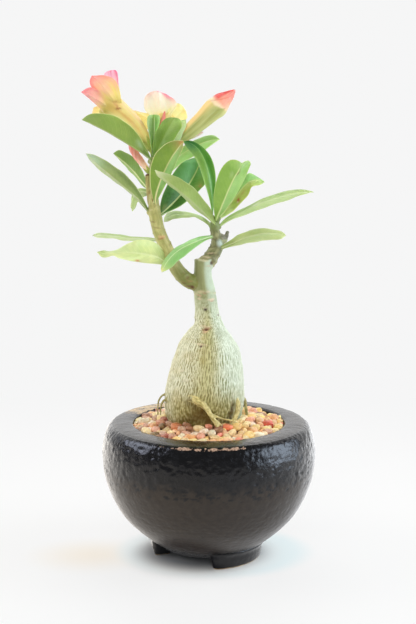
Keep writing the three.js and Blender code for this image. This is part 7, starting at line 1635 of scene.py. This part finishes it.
nt.links.new(ln_.outputs["Value"], mr2.inputs["Value"])
both = nt.nodes.new("ShaderNodeMath")
both.operation = "ADD"
both.use_clamp = True
nt.links.new(mr.outputs["Result"], both.inputs[0])
nt.links.new(mr2.outputs["Result"], both.inputs[1])
nt.links.new(both.outputs[0], mixn.inputs[0])


def pool(centre, r0, r1, colour, before):
    """A soft pool painted on the floor, used both for tinted light and for shadow: full inside r0, gone at r1."""
    m_ = nt.nodes.new("ShaderNodeVectorMath")
    m_.operation = "MULTIPLY"
    m_.inputs[1].default_value = (1.0, 1.3, 1.0)
    nt.links.new(geo.outputs["Position"], m_.inputs[0])
    d_ = nt.nodes.new("ShaderNodeVectorMath")
    d_.operation = "DISTANCE"
    d_.inputs[1].default_value = centre
    nt.links.new(m_.outputs[0], d_.inputs[0])
    q_ = nt.nodes.new("ShaderNodeMapRange")
    q_.interpolation_type = "SMOOTHSTEP"
    q_.inputs["From Min"].default_value = r0
    q_.inputs["From Max"].default_value = r1
    q_.inputs["To Min"].default_value = 1.0
    q_.inputs["To Max"].default_value = 0.0
    nt.links.new(d_.outputs["Value"], q_.inputs["Value"])
    x_ = nt.nodes.new("ShaderNodeMix")
    x_.data_type = "RGBA"
    nt.links.new(q_.outputs["Result"], x_.inputs[0])
    nt.links.new(before, x_.inputs[6])
    x_.inputs[7].default_value = (*colour, 1)
    return x_.outputs[2]


base_c = nt.nodes.new("ShaderNodeRGB")
base_c.outputs[0].default_value = (0.920, 0.921, 0.922, 1)
# painted light: a warm pool on the floor to the left of the bowl
tint = pool((-0.078, -0.010, 0.0), 0.0, 0.055, (0.90, 0.83, 0.73), base_c.outputs[0])
# painted shadow: a soft pale-blue pool round the bowl, the bowl's shadow on the floor
tint = pool((0.010, 0.002, 0.0), 0.056, 0.076, (0.765, 0.875, 0.900), tint)
nt.links.new(tint, em.inputs["Color"])
base_d = nt.nodes.new("ShaderNodeRGB")
base_d.outputs[0].default_value = (0.92, 0.91, 0.90, 1)
# painted contact shadow: the floor's colour darkened right under the bowl
nt.links.new(pool((0.0, -0.003, 0.0), 0.028, 0.056, (0.26, 0.27, 0.29), base_d.outputs[0]), df.inputs["Color"])
nt.links.new(em.outputs[0], mixn.inputs[1])
nt.links.new(df.outputs[0], mixn.inputs[2])
see = nt.nodes.new("ShaderNodeMixShader")
glassy = nt.nodes.new("ShaderNodeBsdfTransparent")
nt.links.new(nt.nodes.new("ShaderNodeNewGeometry").outputs["Backfacing"], see.inputs[0])
nt.links.new(mixn.outputs[0], see.inputs[1])
nt.links.new(glassy.outputs[0], see.inputs[2])
nt.links.new(see.outputs[0], out.inputs[0])
sweep.data.materials.append(fm)

wall_v, wall_n = [], 48
for z_ in (-2.0, 5.0):
    for i in range(wall_n):
        a_ = 2 * math.pi * i / wall_n
        wall_v.append((3.8 * math.sin(a_), 3.8 * math.cos(a_), z_))
wall_v.append((0.0, 0.0, 5.0))
wall_f = grid_faces(2, wall_n, wrap=True) + [(wall_n + i, wall_n + (i + 1) % wall_n, 2 * wall_n) for i in range(wall_n)]
wall_me = bpy.data.meshes.new("round_wall")
wall_me.from_pydata(wall_v, [], wall_f)
wall = bpy.data.objects.new("studio_round_wall", wall_me)
SC.collection.objects.link(wall)
wm = bpy.data.materials.new("pale_wall")
wm.use_nodes = True
wm.node_tree.nodes.clear()
wo = wm.node_tree.nodes.new("ShaderNodeOutputMaterial")
we = wm.node_tree.nodes.new("ShaderNodeEmission")
we.inputs["Color"].default_value = (0.920, 0.921, 0.922, 1)
wm.node_tree.links.new(we.outputs[0], wo.inputs[0])
wall_me.materials.append(wm)
wall.visible_diffuse = False
wall.visible_glossy = False
wall.visible_transmission = False
wall.visible_shadow = False



def mirror_floor():
    """The floor as only the glaze sees it: dull in front, in shade close by, bright behind."""
    n_, rads = 96, (0.036, 0.5, 1.7)
    ang_ = [2 * math.pi * i / n_ for i in range(n_)]
    v_ = [(r * math.sin(t_), -r * math.cos(t_), 0.0003) for r in rads for t_ in ang_]
    me_ = bpy.data.meshes.new("floor_in_glaze")
    me_.from_pydata(v_, [], grid_faces(len(rads), n_, wrap=True))
    ob_ = bpy.data.objects.new("studio_floor_in_glaze", me_)
    SC.collection.objects.link(ob_)
    m = Nodes("floor_in_glaze_tone")
    pos = m.n("ShaderNodeNewGeometry").outputs["Position"]
    xyz = m.n("ShaderNodeSeparateXYZ")
    m.link(pos, xyz.inputs[0])
    ramp = m.n("ShaderNodeValToRGB")
    el = ramp.color_ramp.elements
    el[0].position, el[1].position = 0.0, 1.0
    stops = ((0, 0.53), (30, 0.57), (60, 0.68), (85, 0.86), (101, 1.12), (112, 1.42), (119, 1.65), (125, 1.95), (132, 2.15), (180, 2.30))
    for k_, (y_, e_) in enumerate(stops):
        q_ = el[0] if k_ == 0 else el[-1] if k_ == len(stops) - 1 else el.new(y_ / 180)
        q_.position = y_ / 180
        g_ = e_ / 2.4
        q_.color = (g_, g_, g_, 1)
    turn = m.math("ARCTAN2", xyz.outputs[0], m.math("MULTIPLY", xyz.outputs[1], -1.0))
    m.link(m.math("MULTIPLY", m.math("ABSOLUTE", turn), 1 / math.pi), ramp.inputs[0])
    side = m.ramp(xyz.outputs[0], -0.06, 0.06)
    tone = m.blend(side, (1.0, 0.955, 0.90), (0.94, 0.955, 0.975))
    col = m.blend(1.0, ramp.outputs[0], tone, "MULTIPLY")
    d_ = m.n("ShaderNodeVectorMath", operation="DISTANCE")
    m.link(pos, d_.inputs[0])
    d_.inputs[1].default_value = (-0.006, -0.022, 0.0)
    col = m.blend(m.ramp(d_.outputs["Value"], 0.020, 0.036, 1.0, 0.0), col, (0.03, 0.03, 0.035))
    e_ = m.n("ShaderNodeEmission")
    e_.inputs["Strength"].default_value = 2.4
    m.link(col, e_.inputs["Color"])
    for l_ in list(m.out.inputs[0].links):
        m.t.links.remove(l_)
    m.t.nodes.remove(m.b)
    m.link(e_.outputs[0], m.out.inputs[0])
    me_.materials.append(m.mat)
    ob_.visible_camera = False
    ob_.visible_diffuse = False
    ob_.visible_transmission = False
    ob_.visible_shadow = False


mirror_floor()

world = bpy.data.worlds.new("studio")
SC.world = world
world.use_nodes = True
world.node_tree.nodes["Background"].inputs["Color"].default_value = (0.98, 0.99, 1.0, 1)
world.node_tree.nodes["Background"].inputs["Strength"].default_value = 0.16


def softbox(name, at, to, size, radiance, colour, glossy=True, diffuse=True):
    li = bpy.data.lights.new(name, "AREA")
    li.shape = "RECTANGLE"
    li.size, li.size_y = size
    li.energy = radiance * math.pi * size[0] * size[1]
    li.color = colour
    ob = bpy.data.objects.new(name, li)
    SC.collection.objects.link(ob)
    ob.location = at
    d = Vector(to) - Vector(at)
    ob.rotation_euler = d.to_track_quat("-Z", "Y").to_euler()
    ob.visible_glossy = glossy
    ob.visible_diffuse = diffuse
    ob.visible_camera = False
    return ob


softbox("left_box", (-1.25, 0.10, 0.85), (0, 0, 0.12), (0.80, 1.0), 3.7, (1.0, 0.965, 0.92), glossy=False)
softbox("right_box", (1.20, -0.05, 0.80), (0, 0, 0.12), (0.95, 1.0), 5.0, (0.90, 0.96, 1.0), glossy=False)
softbox("left_card", (-1.22, 0.05, 0.93), (0, 0, 0.09), (0.85, 0.80), 3.8, (0.84, 0.90, 1.08), diffuse=False)
softbox("right_card", (1.19, -0.17, 0.46), (0, 0, 0.09), (0.95, 0.72), 4.4, (0.78, 0.92, 1.10), diffuse=False)
softbox("left_strip", (-0.60, 1.35, 0.30), (0, 0, 0.06), (0.60, 0.85), 0.45, (1.0, 0.95, 0.89), diffuse=False)
softbox("right_strip", (0.60, 1.35, 0.30), (0, 0, 0.06), (0.60, 0.85), 0.30, (0.97, 0.99, 1.0), diffuse=False)
softbox("back_glow", (0.0, 2.0, 0.65), (0, 0, 0.09), (2.6, 0.9), 0.12, (1.0, 1.0, 1.0), diffuse=False)
softbox("front_fill", (-0.35, -1.9, 1.15), (0, 0, 0.18), (1.5, 1.3), 4.3, (1.0, 0.99, 0.965), glossy=False)
softbox("back_top", (0.1, 1.05, 1.5), (0, 0, 0.22), (1.4, 0.6), 4.2, (0.97, 1.0, 0.985), glossy=False)

cam = bpy.data.cameras.new("view")
cam.lens = 66.78
cam.sensor_width = 36.0
cam.clip_start, cam.clip_end = 0.05, 20
co = bpy.data.objects.new("view", cam)
SC.collection.objects.link(co)
co.location = (AX - 0.0006, AY - 0.800, 0.2986)
co.rotation_euler = (math.radians(81.2), 0, 0)
SC.camera = co
SC.view_settings.view_transform = "Standard"
SC.view_settings.look = "None"
SC.view_settings.exposure = 0.0
SC.view_settings.gamma = 1.0
